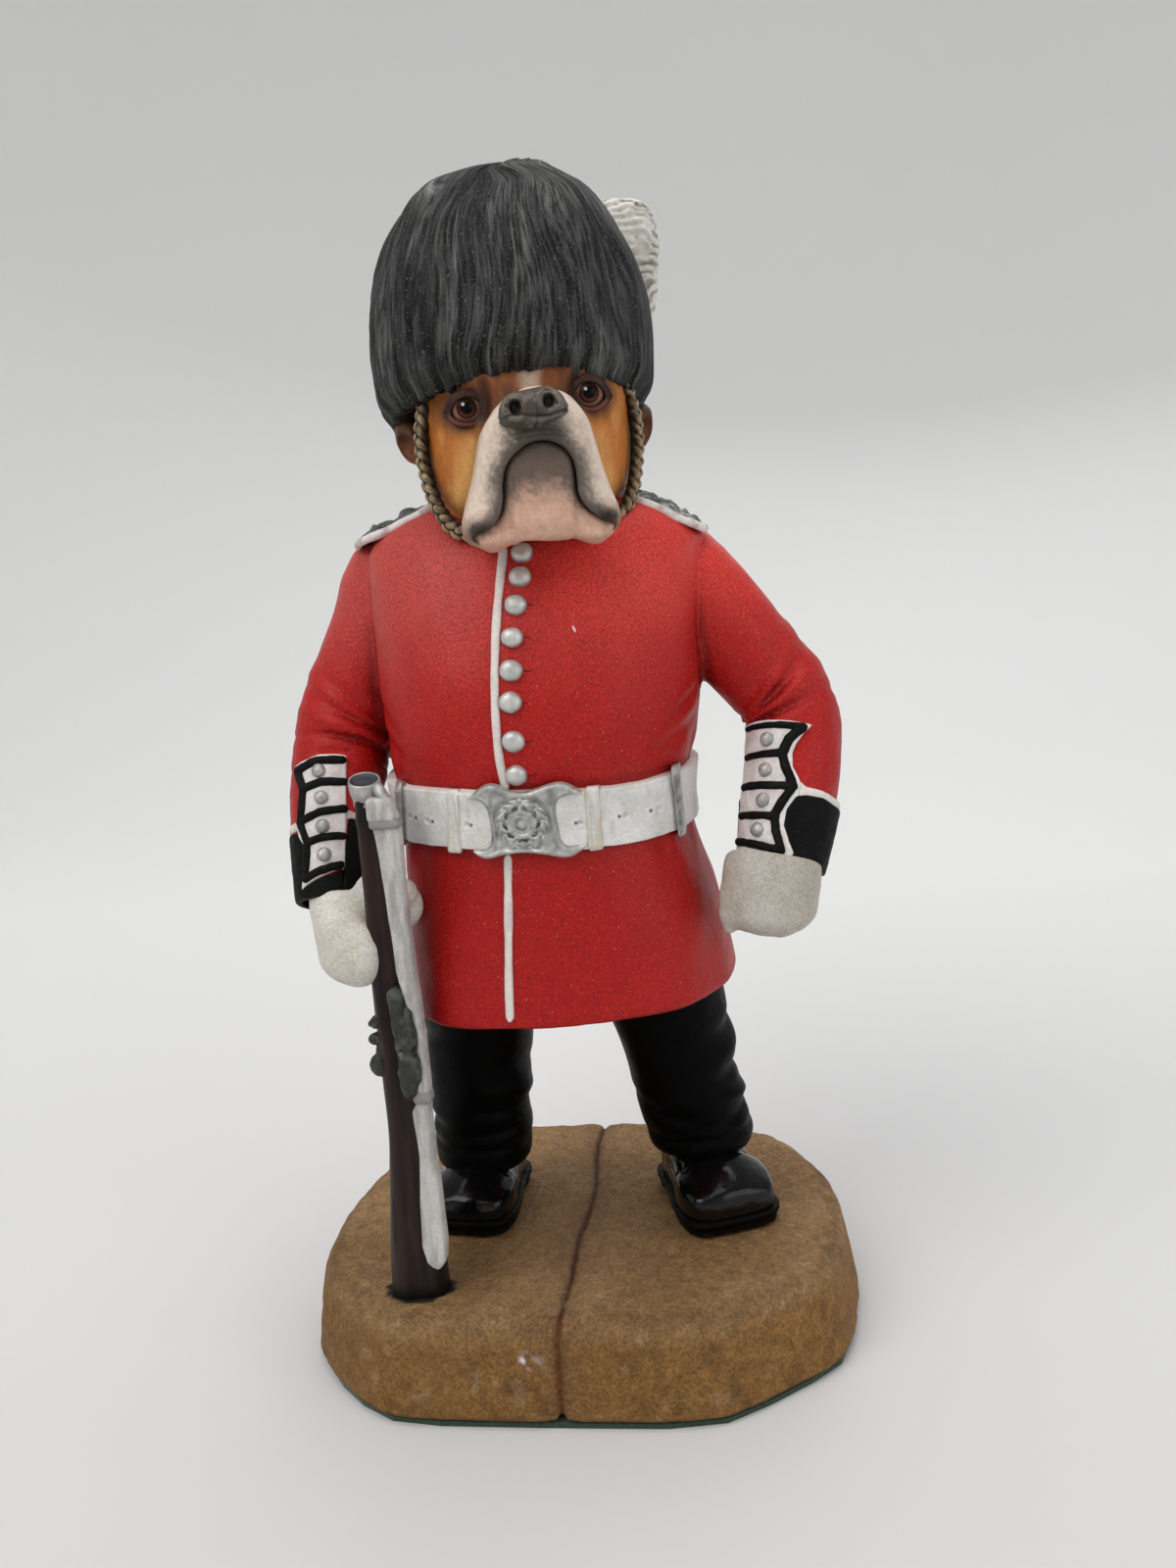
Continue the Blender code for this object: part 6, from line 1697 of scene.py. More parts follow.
# ------------------------------------------------------------------------ head
# In the head's own frame: u to the dog's left, v backwards, w up.
MUZZLE_LINE = [(0.5, 130.05), (-1.8, 129.6), (-3.8, 128.5), (-5.3, 127.0), (-6.5, 125.1), (-7.2, 122.7), (-7.8, 120.3),
               (-8.6, 118.0), (-9.2, 116.1), (-9.3, 114.5), (-8.6, 113.0), (-7.3, 112.15), (-5.4, 111.75), (-3.85, 112.05),
               (-2.75, 112.5), (0.4, 112.3), (3.5, 112.2), (5.05, 111.75), (6.85, 112.1), (8.05, 113.3), (8.55, 114.9),
               (8.3, 117.1), (7.75, 119.2), (7.15, 121.4), (6.65, 123.6), (6.0, 125.9), (5.0, 127.6), (3.5, 129.1)]
MOUTH_LINE = [(-8.6, 113.4), (-7.6, 113.75), (-6.3, 114.4), (-5.35, 115.6), (-4.85, 117.35), (-4.7, 119.0), (-4.3, 120.65),
              (-3.45, 122.05), (-2.15, 123.1), (-0.9, 123.55), (0.4, 123.65), (1.8, 123.3), (2.95, 122.45), (3.7, 121.1),
              (3.95, 119.1), (4.0, 117.4), (4.75, 116.0), (5.85, 114.9), (6.8, 114.25), (7.9, 113.8)]
JAW_FOOT = [(8.5, 113.6), (8.05, 112.9), (6.85, 112.0), (5.05, 111.65), (3.5, 112.1), (0.4, 112.2), (-2.75, 112.4),
            (-3.85, 111.95), (-5.4, 111.65), (-7.3, 112.05), (-8.6, 112.8)]
EYE = {"right": ((-7.72, -13.9, 128.4),
                 [(-9.5, 128.15), (-8.8, 129.1), (-7.6, 129.5), (-6.45, 129.05), (-5.95, 128.2), (-6.55, 127.45),
                  (-7.75, 127.15), (-8.95, 127.45)],
                 [(-10.6, 127.7), (-9.7, 127.2), (-8.9, 126.75), (-7.85, 126.55), (-6.7, 126.65), (-5.6, 127.3)],
                 [(-10.8, 127.9), (-9.9, 129.0), (-8.9, 129.95), (-7.6, 130.4), (-6.3, 130.0), (-5.6, 129.0)]),
       "left": ((7.1, -13.9, 129.2),
                [(5.55, 129.25), (6.05, 130.0), (7.1, 130.3), (8.15, 129.95), (8.95, 128.9), (8.35, 128.2), (7.2, 127.9),
                 (6.1, 128.4)],
                [(5.1, 128.3), (5.9, 127.6), (6.9, 127.3), (8.0, 127.4), (8.9, 127.8), (9.9, 128.4)],
                [(5.2, 129.9), (5.8, 130.75), (7.1, 131.15), (8.4, 130.75), (9.3, 129.8), (10.1, 128.7)])}
FOLDS = [[(-5.6, 131.4), (-5.45, 130.0), (-5.5, 128.4), (-5.9, 127.2)], [(5.75, 131.8), (5.3, 130.4), (5.15, 129.2),
                                                                         (5.5, 128.0)]]


def build_head():
    blk = Block((-17.0, -19.6, 107.6), (17.0, 17.2, 140.4), 0.36)
    u, v, w = blk.x, blk.y, blk.z
    d = smin(blk.ell((0, -1, 127), (14.2, 17.0, 12.5)), blk.ell((0, -6, 120.5), (12.6, 10.5, 8.5)), 3.0)
    d = smin(d, blk.ell((0, 0.5, 116.5), (9.0, 8.4, 9.0)), 2.5)
    # brow, sockets and the hollow beside the muzzle
    for side in ("right", "left"):
        (eu, ev, ew), _, _, _ = EYE[side]
        near = ((u - eu) / 3.0) ** 2 + ((w - ew) / 2.3) ** 2
        d = d + 0.75 * np.exp(-near) * (v < -4)
        d = d - 0.55 * np.exp(-(((u - eu * 0.95) / 4.2) ** 2 + ((w - ew - 3.2) / 1.3) ** 2)) * (v < -4)
        d = d - 0.45 * np.exp(-(((u - eu * 1.22) / 1.6) ** 2 + ((w - 121.0) / 6.0) ** 2)) * (v < -4)
    flat_u, flat_w = u + 0 * w, w + 0 * u
    for line in FOLDS:
        q = poly_distance(flat_u, flat_w, catmull(line, 14), closed=False)
        d = d + 0.32 * np.exp(-(q / 0.5) ** 2) * (v < -6) - 0.2 * np.exp(-((q - 0.9) / 0.5) ** 2) * (v < -6)
    d = d + 0.5 * np.exp(-((u) / 1.0) ** 2) * smooth(129, 133, w) * (v < -6)
    d = d + 0.07 * fbm(u / 1.6, v / 1.6, w / 3.0, 2, 211)
    d = blk.full(d)
    p, f = blk.skin(d, 2)
    pu, pv, pw = p.T
    face = smooth(3, -4, pv)
    streak = fbm(pu / 1.3, pv / 3.0, pw / 3.6, 3, 212)
    hair = fbm(pu / 0.35, pv / 1.2, pw / 2.4, 2, 213)
    col = mix(tones(len(p), srgb(184, 110, 46)), srgb(204, 136, 68), smooth(-0.2, 0.8, streak))
    rim = poly_distance(pu, pw, np.array(MUZZLE_LINE))
    col = mix(col, srgb(206, 158, 98), 0.6 * smooth(3.4, 0.8, rim) * smooth(127.5, 122.5, pw) * face)
    col = mix(col, srgb(222, 170, 98), 0.5 * smooth(2.6, 1.0, rim + 0.4 * streak) * smooth(-5.0, -7.0, pu)
              * smooth(125.5, 121.5, pw) * face)
    col = mix(col, srgb(168, 96, 36), 0.55 * smooth(9.8, 12.6, np.abs(pu)) * face)
    col = mix(col, srgb(188, 132, 76), 0.4 * smooth(117.5, 113.5, pw))
    col = mix(col, srgb(104, 55, 26), 0.85 * smooth(127.0, 129.6, pw + 0.5 * streak) * smooth(11.4, 8.6, np.abs(pu)))
    col = mix(col, srgb(66, 35, 20), 0.6 * smooth(0.1, 0.8, streak) * smooth(127.5, 130.0, pw) * smooth(11.0, 7.0, np.abs(pu)))
    for side in ("right", "left"):
        (eu, ev, ew), _, _, _ = EYE[side]
        near = np.sqrt(((pu - eu) / 1.25) ** 2 + ((pw - ew + 0.1) / 0.95) ** 2) + 0.3 * streak
        col = mix(col, srgb(100, 56, 32), 0.7 * face * smooth(4.2, 2.6, near))
        col = mix(col, srgb(52, 29, 21), 0.85 * face * smooth(3.1, 1.7, near))
    for line in FOLDS:
        q = poly_distance(pu, pw, catmull(line, 14), closed=False)
        col = mix(col, srgb(40, 21, 15), 0.7 * face * np.exp(-(q / 0.6) ** 2))
    blaze = np.abs(pu + 0.1) - (0.95 + 0.35 * smooth(130, 133, pw) + 0.5 * streak)
    col = mix(col, srgb(188, 164, 144), 0.85 * face * smooth(0.8, -0.5, blaze) * smooth(128.5, 130.0, pw))
    col = mix(col, srgb(64, 34, 20), 0.9 * smooth(131.6, 133.0, pw + 0.25 * pv * 0) * 0.5)
    col = mix(col, srgb(62, 36, 22), 0.25 * np.exp(-((rim - 0.15) / 0.3) ** 2) * face)
    col = col * (1 + 0.10 * np.clip(hair, -1, 1) + 0.12 * smooth(4, 8, pu) * smooth(127, 124, pw))[:, None]
    piece("head_face", p, f, FACE, ("head",), col, matrix=HEAD)


def build_muzzle():
    blk = Block((-11.2, -30.2, 109.8), (10.6, -8.0, 131.8), 0.26)
    u, v, w = blk.x, blk.y, blk.z
    flat_u, flat_w = u + 0 * w, w + 0 * u
    ring = catmull(MUZZLE_LINE, 120, closed=True)
    mouth = catmull(MOUTH_LINE, 90)
    foot = catmull(JAW_FOOT, 50)
    jaw_ring = np.vstack([mouth, foot])
    out2 = poly_distance(flat_u, flat_w, ring)
    jaw2 = poly_distance(flat_u, flat_w, jaw_ring)
    line2 = poly_distance(flat_u, flat_w, mouth, closed=False)
    # flews: rolled lips round the mouth, fullest beside the chin
    front = -26.9 + 1.6 * smooth(116.5, 111.8, w) + 1.1 * smooth(127.0, 130.5, w) + 0.3 * smooth(122, 118, w)
    front = front + 0.2 * np.exp(-(u / 0.8) ** 2) * smooth(126.5, 124.5, w)
    flews = smax(out2 + 0.0 * v, front - v, 4.6)
    lobe = np.minimum(blk.ell((-7.0, -23.4, 114.6), (2.5, 3.0, 2.4)), blk.ell((6.3, -23.4, 114.9), (2.4, 3.0, 2.3)))
    flews = smin(flews, lobe, 1.2)
    flews = smax(flews, 0.02 - jaw2 + 0.0 * v, 0.4)
    flews = flews - 0.28 * np.exp(-((line2 - 0.9) / 0.6) ** 2) * (v < -20)
    for a, b in (((-4.6, 125.4), (-6.0, 122.4)), ((3.8, 125.8), (5.2, 122.8))):
        q = poly_distance(flat_u, flat_w, catmull([a, ((a[0] + b[0]) / 2 - 0.1, (a[1] + b[1]) / 2 + 0.2), b], 8), closed=False)
        flews = flews + 0.10 * np.exp(-(q / 0.6) ** 2)
    flews = flews + 0.05 * fbm(u / 1.2, v / 1.2, w / 2.5, 2, 221)
    flews = smax(flews, v + F4(9.0), 0.5)
    flews = blk.full(flews)
    p, f = blk.skin(flews, 2)
    pu, pv, pw = p.T
    m = poly_distance(pu, pw, mouth, closed=False)
    edge = poly_distance(pu, pw, ring)
    grain = fbm(pu / 0.8, pv / 0.8, pw / 2.0, 3, 222)
    col = mix(tones(len(p), srgb(224, 206, 190)), srgb(212, 190, 173), smooth(-0.3, 0.8, grain))
    col = mix(col, srgb(202, 160, 140), 0.55 * smooth(117.5, 113.0, pw))
    spray = noise(pu / 0.34, pv / 0.34, pw / 0.34, 225)
    smoke = smooth(2.7, 0.35, m + 0.3 * grain + 0.45 * spray)
    col = mix(col, srgb(70, 63, 57), 0.9 * smoke)
    under = smooth(2.9, 0.9, np.hypot((pu + 0.4) / 2.0, (pw - 124.6) / 1.1) + 0.3 * grain + 0.3 * spray)
    col = mix(col, srgb(74, 67, 60), 0.92 * under)
    for base in (124.25, 124.75):
        fold = np.abs(pw - base - 0.035 * (pu + 0.3) ** 2 * -1 + 0.12 * grain)
        col = mix(col, srgb(38, 33, 29), 0.6 * np.exp(-(fold / 0.13) ** 2) * smooth(4.2, 2.6, np.abs(pu + 0.3)))
    for cu, cw in ((-7.6, 114.1), (7.2, 114.7)):
        patch = smooth(1.7, 0.3, np.hypot((pu - cu) / 1.15, pw - cw) + 0.25 * grain)
        col = mix(col, srgb(38, 32, 29), 0.9 * patch)
    col = mix(col, srgb(176, 142, 116), 0.5 * smooth(-0.35, 0.15, edge) * smooth(-14, -19, pv))
    col = mix(col, srgb(214, 160, 104), 0.5 * smooth(-18.0, -14.0, pv))
    o = open_share(blk, flews, p, 0.6)
    # painted shade in the creases
    col = mix(col, srgb(58, 50, 44), 0.5 * smooth(0.7, 0.3, o))
    piece("muzzle_flews", p, f, FACE, ("muzzle",), col, matrix=HEAD)

    # chin: a dome between the lips, and a roll under each corner of the mouth
    depth = -26.4 + 0.5 * smooth(120.8, 123.8, w) + 1.4 * smooth(114.6, 111.9, w)
    depth = depth + 0.9 * smooth(3.2, 5.0, np.abs(u - 0.0 + 0.35)) + 0.012 * (u + 0.3) ** 2
    jaw = smax(jaw2 + 0.05 + 0.0 * v, depth - v, 0.8)
    for side_u in (-4.15, 3.6):
        jaw = jaw + 0.45 * np.exp(-((u - side_u - 0.05 * (w - 114)) / 0.5) ** 2) * smooth(117.5, 115.0, w) * (v < -20)
    rolls = np.minimum(blk.chain([(-8.0, -22.9, 113.2), (-6.4, -24.2, 112.9), (-4.8, -24.4, 113.2)], [0.9, 1.35, 1.2], 0.8),
                       blk.chain([(7.4, -22.9, 113.4), (5.9, -24.2, 113.0), (4.4, -24.4, 113.2)], [0.9, 1.35, 1.2], 0.8))
    jaw = smin(jaw, rolls, 0.9)
    jaw = jaw + 0.04 * fbm(u / 1.2, v / 1.2, w / 2.0, 2, 223)
    jaw = smax(jaw, v + F4(10.0), 0.5)
    jaw = blk.full(jaw)
    p, f = blk.skin(jaw, 2)
    pu, pv, pw = p.T
    m = poly_distance(pu, pw, mouth, closed=False)
    grain = fbm(pu / 0.7, pv / 0.7, pw / 0.9, 3, 224)
    col = mix(tones(len(p), srgb(208, 165, 143)), srgb(218, 180, 159), smooth(-0.3, 0.8, grain))
    spray = noise(pu / 0.34, pv / 0.34, pw / 0.34, 226)
    # grey comes down from the lip and along both sides of the chin
    dome = smooth(115.2, 120.0, pw + 0.7 * grain + 0.9 * spray + 1.5 * smooth(2.2, 0.4, m) - 0.4)
    col = mix(col, srgb(92, 81, 72), 0.95 * dome)
    col = mix(col, srgb(74, 66, 59), 0.6 * smooth(120.5, 123.4, pw))
    col = mix(col, srgb(60, 54, 50), 0.5 * smooth(0.8, 0.05, m + 0.15 * grain) * smooth(114.2, 116.5, pw))
    col = mix(col, srgb(66, 55, 48), 0.4 * smooth(0.7, 0.1, m + 0.2 * grain))
    col = mix(col, srgb(176, 118, 98), 0.6 * smooth(113.0, 111.9, pw))
    o = open_share(blk, jaw, p, 0.6)
    # painted shade in the creases
    col = mix(col, srgb(140, 92, 76), 0.7 * smooth(0.92, 0.55, o))
    piece("lower_jaw_chin", p, f, FACE, ("lower_jaw",), col, matrix=HEAD)


def build_nose():
    blk = Block((-5.8, -30.6, 123.6), (4.8, -23.4, 130.8), 0.13)
    u, v, w = blk.x, blk.y, blk.z
    flat_u, flat_w = u + 0 * w, w + 0 * u
    ring = catmull([(-4.6, 125.85), (-4.35, 127.1), (-3.5, 128.4), (-2.2, 129.15), (-0.46, 129.45), (1.2, 129.35),
                    (2.6, 128.65), (3.35, 127.6), (3.6, 126.7), (2.5, 126.0), (1.0, 125.45), (-0.45, 124.95), (-2.0, 125.1),
                    (-3.3, 125.3)], 90, closed=True)
    out2 = poly_distance(flat_u, flat_w, ring)
    front = -28.9 + 0.05 * (u + 0.4) ** 2 + 1.3 * smooth(127.8, 129.8, w) + 0.25 * smooth(126.4, 125.0, w)
    d = smax(out2 + 0.0 * v, front - v, 1.7)
    line = catmull([(-4.5, 126.15), (-2.9, 126.62), (-1.5, 126.45), (-0.1, 126.25), (1.15, 126.35), (2.1, 126.6),
                    (3.4, 126.95)], 30)
    cut = poly_distance(flat_u, flat_w, line, closed=False)
    mid = poly_distance(flat_u, flat_w, np.array([(-0.25, 127.6), (-0.3, 126.3), (-0.5, 125.0)]), closed=False)
    d = d + 0.24 * np.exp(-(cut / 0.20) ** 2) + 0.10 * np.exp(-(mid / 0.3) ** 2)
    for cu, cw, s in ((-2.7, 127.45, -1), (1.2, 127.95, 1)):
        turn = Matrix.Rotation(s * 0.35, 4, 'Y')
        hole = blk.ell((cu, -28.9, cw), (0.74, 1.6, 1.0), turn)
        slit = blk.cap((cu + s * 0.35, -28.9, cw - 0.25), (cu + s * 1.25, -28.2, cw - 0.55), 0.36, 0.16)
        d = smax(d, -smin(hole, slit, 0.25), 0.35)
        wing = np.sqrt(((u - cu) / 1.35) ** 2 + ((w - cw) / 1.5) ** 2)
        d = d - 0.26 * np.exp(-((wing - 1.0) / 0.28) ** 2)
    d = d + 0.05 * fbm(u / 0.5, v / 0.5, w / 0.5, 2, 231)
    d = smax(d, v + F4(24.2), 0.3)
    d = blk.full(d)
    p, f = blk.skin(d, 2)
    pu, pv, pw = p.T
    o = open_share(blk, d, p, 0.4)
    grain = fbm(pu / 0.5, pv / 0.5, pw / 0.5, 3, 232)
    col = mix(tones(len(p), srgb(76, 67, 59)), srgb(100, 90, 80), smooth(-0.3, 0.8, grain) * smooth(126.0, 127.6, pw))
    col = mix(col, srgb(82, 75, 68), 0.6 * smooth(126.6, 125.6, pw))
    # painted highlight on the rims
    col = mix(col, srgb(132, 121, 108), 0.5 * smooth(0.1, 0.4, edge_share(blk, d, p, 0.45)))
    # painted shade in the creases and nostrils
    col = mix(col, srgb(18, 17, 16), 0.95 * smooth(0.88, 0.4, o))
    for cu, cw in ((-2.7, 127.45), (1.25, 127.95)):
        col = mix(col, srgb(14, 13, 12), 0.9 * smooth(1.05, 0.6, np.hypot((pu - cu) / 0.85, pw - cw)) * (pv > -28.6))
    edge = poly_distance(pu, pw, ring)
    col = mix(col, srgb(36, 33, 31), 0.8 * smooth(-0.35, 0.0, edge) * smooth(-26.6, -25.6, pv))
    # painted shade lies in the crease under the nostrils and in the parting below them
    crease = poly_distance(pu, pw, line, closed=False)
    parting = poly_distance(pu, pw, np.array([(-0.25, 127.4), (-0.3, 126.3), (-0.5, 125.0)]), closed=False)
    col = mix(col, srgb(30, 27, 25), 0.8 * np.exp(-(crease / 0.18) ** 2) * smooth(-25.6, -26.8, pv))
    col = mix(col, srgb(34, 31, 28), 0.6 * np.exp(-(parting / 0.16) ** 2) * smooth(-25.6, -26.8, pv))
    piece("nose_leather", p, f, NOSE_PAINT, ("nose",), col, matrix=HEAD)


def build_eyes():
    for side in ("right", "left"):
        (eu, ev, ew), opening, low, high = EYE[side]
        s = -1 if side == "right" else 1
        opening = [(eu + 1.08 * (a - eu), ew + 1.2 * (b - ew)) for a, b in opening]
        # ball, gazing a little forward and up
        n_lat, n_lon, r = 44, 64, 2.12
        gaze = np.array([0.02 * s, -1.0, 0.03])
        gaze /= np.linalg.norm(gaze)
        side_v = np.cross(gaze, [0, 0, 1.0])
        side_v /= np.linalg.norm(side_v)
        up_v = np.cross(side_v, gaze)
        lat = np.linspace(0.02, math.pi - 0.02, n_lat)
        lon = np.linspace(0, 2 * math.pi, n_lon, endpoint=False)
        bump = r + 0.16 * np.exp(-(lat / 0.45) ** 2)
        ringv = np.array([[np.array([eu, ev, ew]) + gaze * (bump[i] * math.cos(t)) + (side_v * math.cos(a) + up_v * math.sin(a))
                           * (bump[i] * math.sin(t)) for a in lon] for i, t in enumerate(lat)])
        v, f = capped(ringv)
        rel = v - np.array([eu, ev, ew])
        across, rise = rel @ side_v, rel @ up_v
        rad = np.hypot(across, rise)
        col = mix(tones(len(v), srgb(142, 100, 84)), srgb(84, 50, 42), smooth(1.5, 2.0, rad))
        col = mix(col, srgb(34, 15, 10), smooth(1.34, 1.18, rad))
        col = mix(col, srgb(90, 50, 38), smooth(1.15, 0.95, rad) * smooth(0.5, -0.9, rise))
        col = mix(col, srgb(8, 7, 7), smooth(0.80, 0.66, rad))
        glint = np.hypot(across - 0.42, rise - 0.45)
        col = mix(col, srgb(206, 208, 212), 0.9 * smooth(0.24, 0.12, glint) * (rel @ gaze > 0))
        piece(side + "_eye_ball", v, f, EYE_GLOSS, (side + "_eye",), col, matrix=HEAD)
        # lids
        blk = Block((eu - 4.4, -17.6, ew - 3.6), (eu + 4.4, -11.2, ew + 3.4), 0.14)
        u, v, w = blk.x, blk.y, blk.z
        ball = np.sqrt((u - eu) ** 2 + (v - ev) ** 2 + (w - ew) ** 2)
        ring = catmull(opening, 60, closed=True)
        hole = poly_distance(u + 0 * w, w + 0 * u, ring)
        lid = np.abs(ball - 2.28) - 0.24

        def on_ball(pts, r, back):
            q = catmull(pts, 14)
            du, dw = q[:, 0] - eu, q[:, 1] - ew
            return np.stack([q[:, 0], ev - np.sqrt(np.maximum(r * r - du ** 2 - dw ** 2, back)), q[:, 1]], 1)
        lower, upper = on_ball(low, 2.45, 0.6), on_ball(high, 2.4, 0.7)
        lower[:, 1] = np.maximum(lower[:, 1], -15.9)
        fat_low = np.interp(np.linspace(0, 1, 14), [0, 0.3, 0.7, 1], [0.2, 0.32, 0.32, 0.2])
        fat_up = np.interp(np.linspace(0, 1, 14), [0, 0.3, 0.7, 1], [0.25, 0.48, 0.48, 0.3])
        d = smin(lid, smin(blk.chain(lower, fat_low), blk.chain(upper, fat_up), 0.1), 0.35)
        d = smax(d, 0.02 - hole + 0.0 * v, 0.18)
        d = smax(d, hole - 1.15 + 0.0 * v, 0.6)
        d = smax(d, v + F4(12.2), 0.3)
        d = blk.full(d)
        p, f = blk.skin(d, 2)
        pu, pv, pw = p.T
        h = poly_distance(pu, pw, ring)
        o = open_share(blk, d, p, 0.35)
        below = smooth(ew + 0.1, ew - 0.7, pw)
        col = mix(tones(len(p), srgb(58, 33, 24)), srgb(42, 24, 18), smooth(0.0, 0.8, fbm(pu, pv, pw, 2, 241)))
        col = mix(col, srgb(122, 72, 58), 0.75 * below * smooth(0.12, 0.3, h) * smooth(0.75, 0.45, h))
        col = mix(col, srgb(30, 18, 15), smooth(0.30, 0.08, h))
        # painted shade in the creases
        col = mix(col, srgb(34, 19, 15), 0.85 * smooth(0.85, 0.4, o))
        piece(side + "_eye_lids", p, f, FACE, (), col, matrix=HEAD)


def build_ears():
    for side, s in (("right", -1), ("left", 1)):
        blk = Block((11.4, -5.2, 118.4), (18.8, 7.4, 130.6), 0.24)
        u, v, w = blk.x, blk.y, blk.z
        turn = Matrix.Rotation(0.25, 4, 'Y')
        shift = 0.0 if s > 0 else -0.2
        d = blk.ell((15.0 + shift, 1.2, 125.5 + 0.4 * (s < 0)), (2.1, 3.9, 3.3), turn)
        hollow = blk.ell((16.2 + shift, -1.9, 124.9), (1.5, 2.2, 1.9), turn)
        d = smax(d, -hollow, 0.6) + 0.08 * fbm(u / 1.3, v / 1.3, w / 1.3, 2, 251)
        d = blk.full(d)
        p, f = blk.skin(d, 2)
        o = open_share(blk, d, p, 0.6)
        grain = fbm(p[:, 0] / 1.2, p[:, 1] / 1.2, p[:, 2] / 1.2, 3, 252)
        col = mix(tones(len(p), srgb(112, 64, 34)), srgb(84, 47, 26), smooth(-0.3, 0.7, grain))
        col = mix(col, srgb(74, 56, 44), 0.6 * smooth(125.8, 127.6, p[:, 2]))
        col = mix(col, srgb(150, 84, 44), 0.5 * smooth(124.2, 122.8, p[:, 2]))
        # painted shade in the ear's hollow
        col = mix(col, srgb(44, 24, 16), 0.7 * smooth(0.92, 0.5, o))
        piece(side + "_ear_flap", p * np.array([s, 1, 1]), f, FACE, (side + "_ear",), col, matrix=HEAD)


build_head()
build_muzzle()
build_nose()
build_eyes()
build_ears()

# ------------------------------------------------------------------- bearskin
CAP = np.array([(121.0, 16.6), (124.0, 17.1), (127.0, 17.5), (130.0, 17.8), (134.0, 18.1), (138.0, 18.2), (142.0, 17.8),
                (146.0, 16.8), (149.5, 15.3), (152.2, 13.6), (155.0, 11.2), (157.1, 8.2), (158.4, 4.9), (158.95, 2.0)])


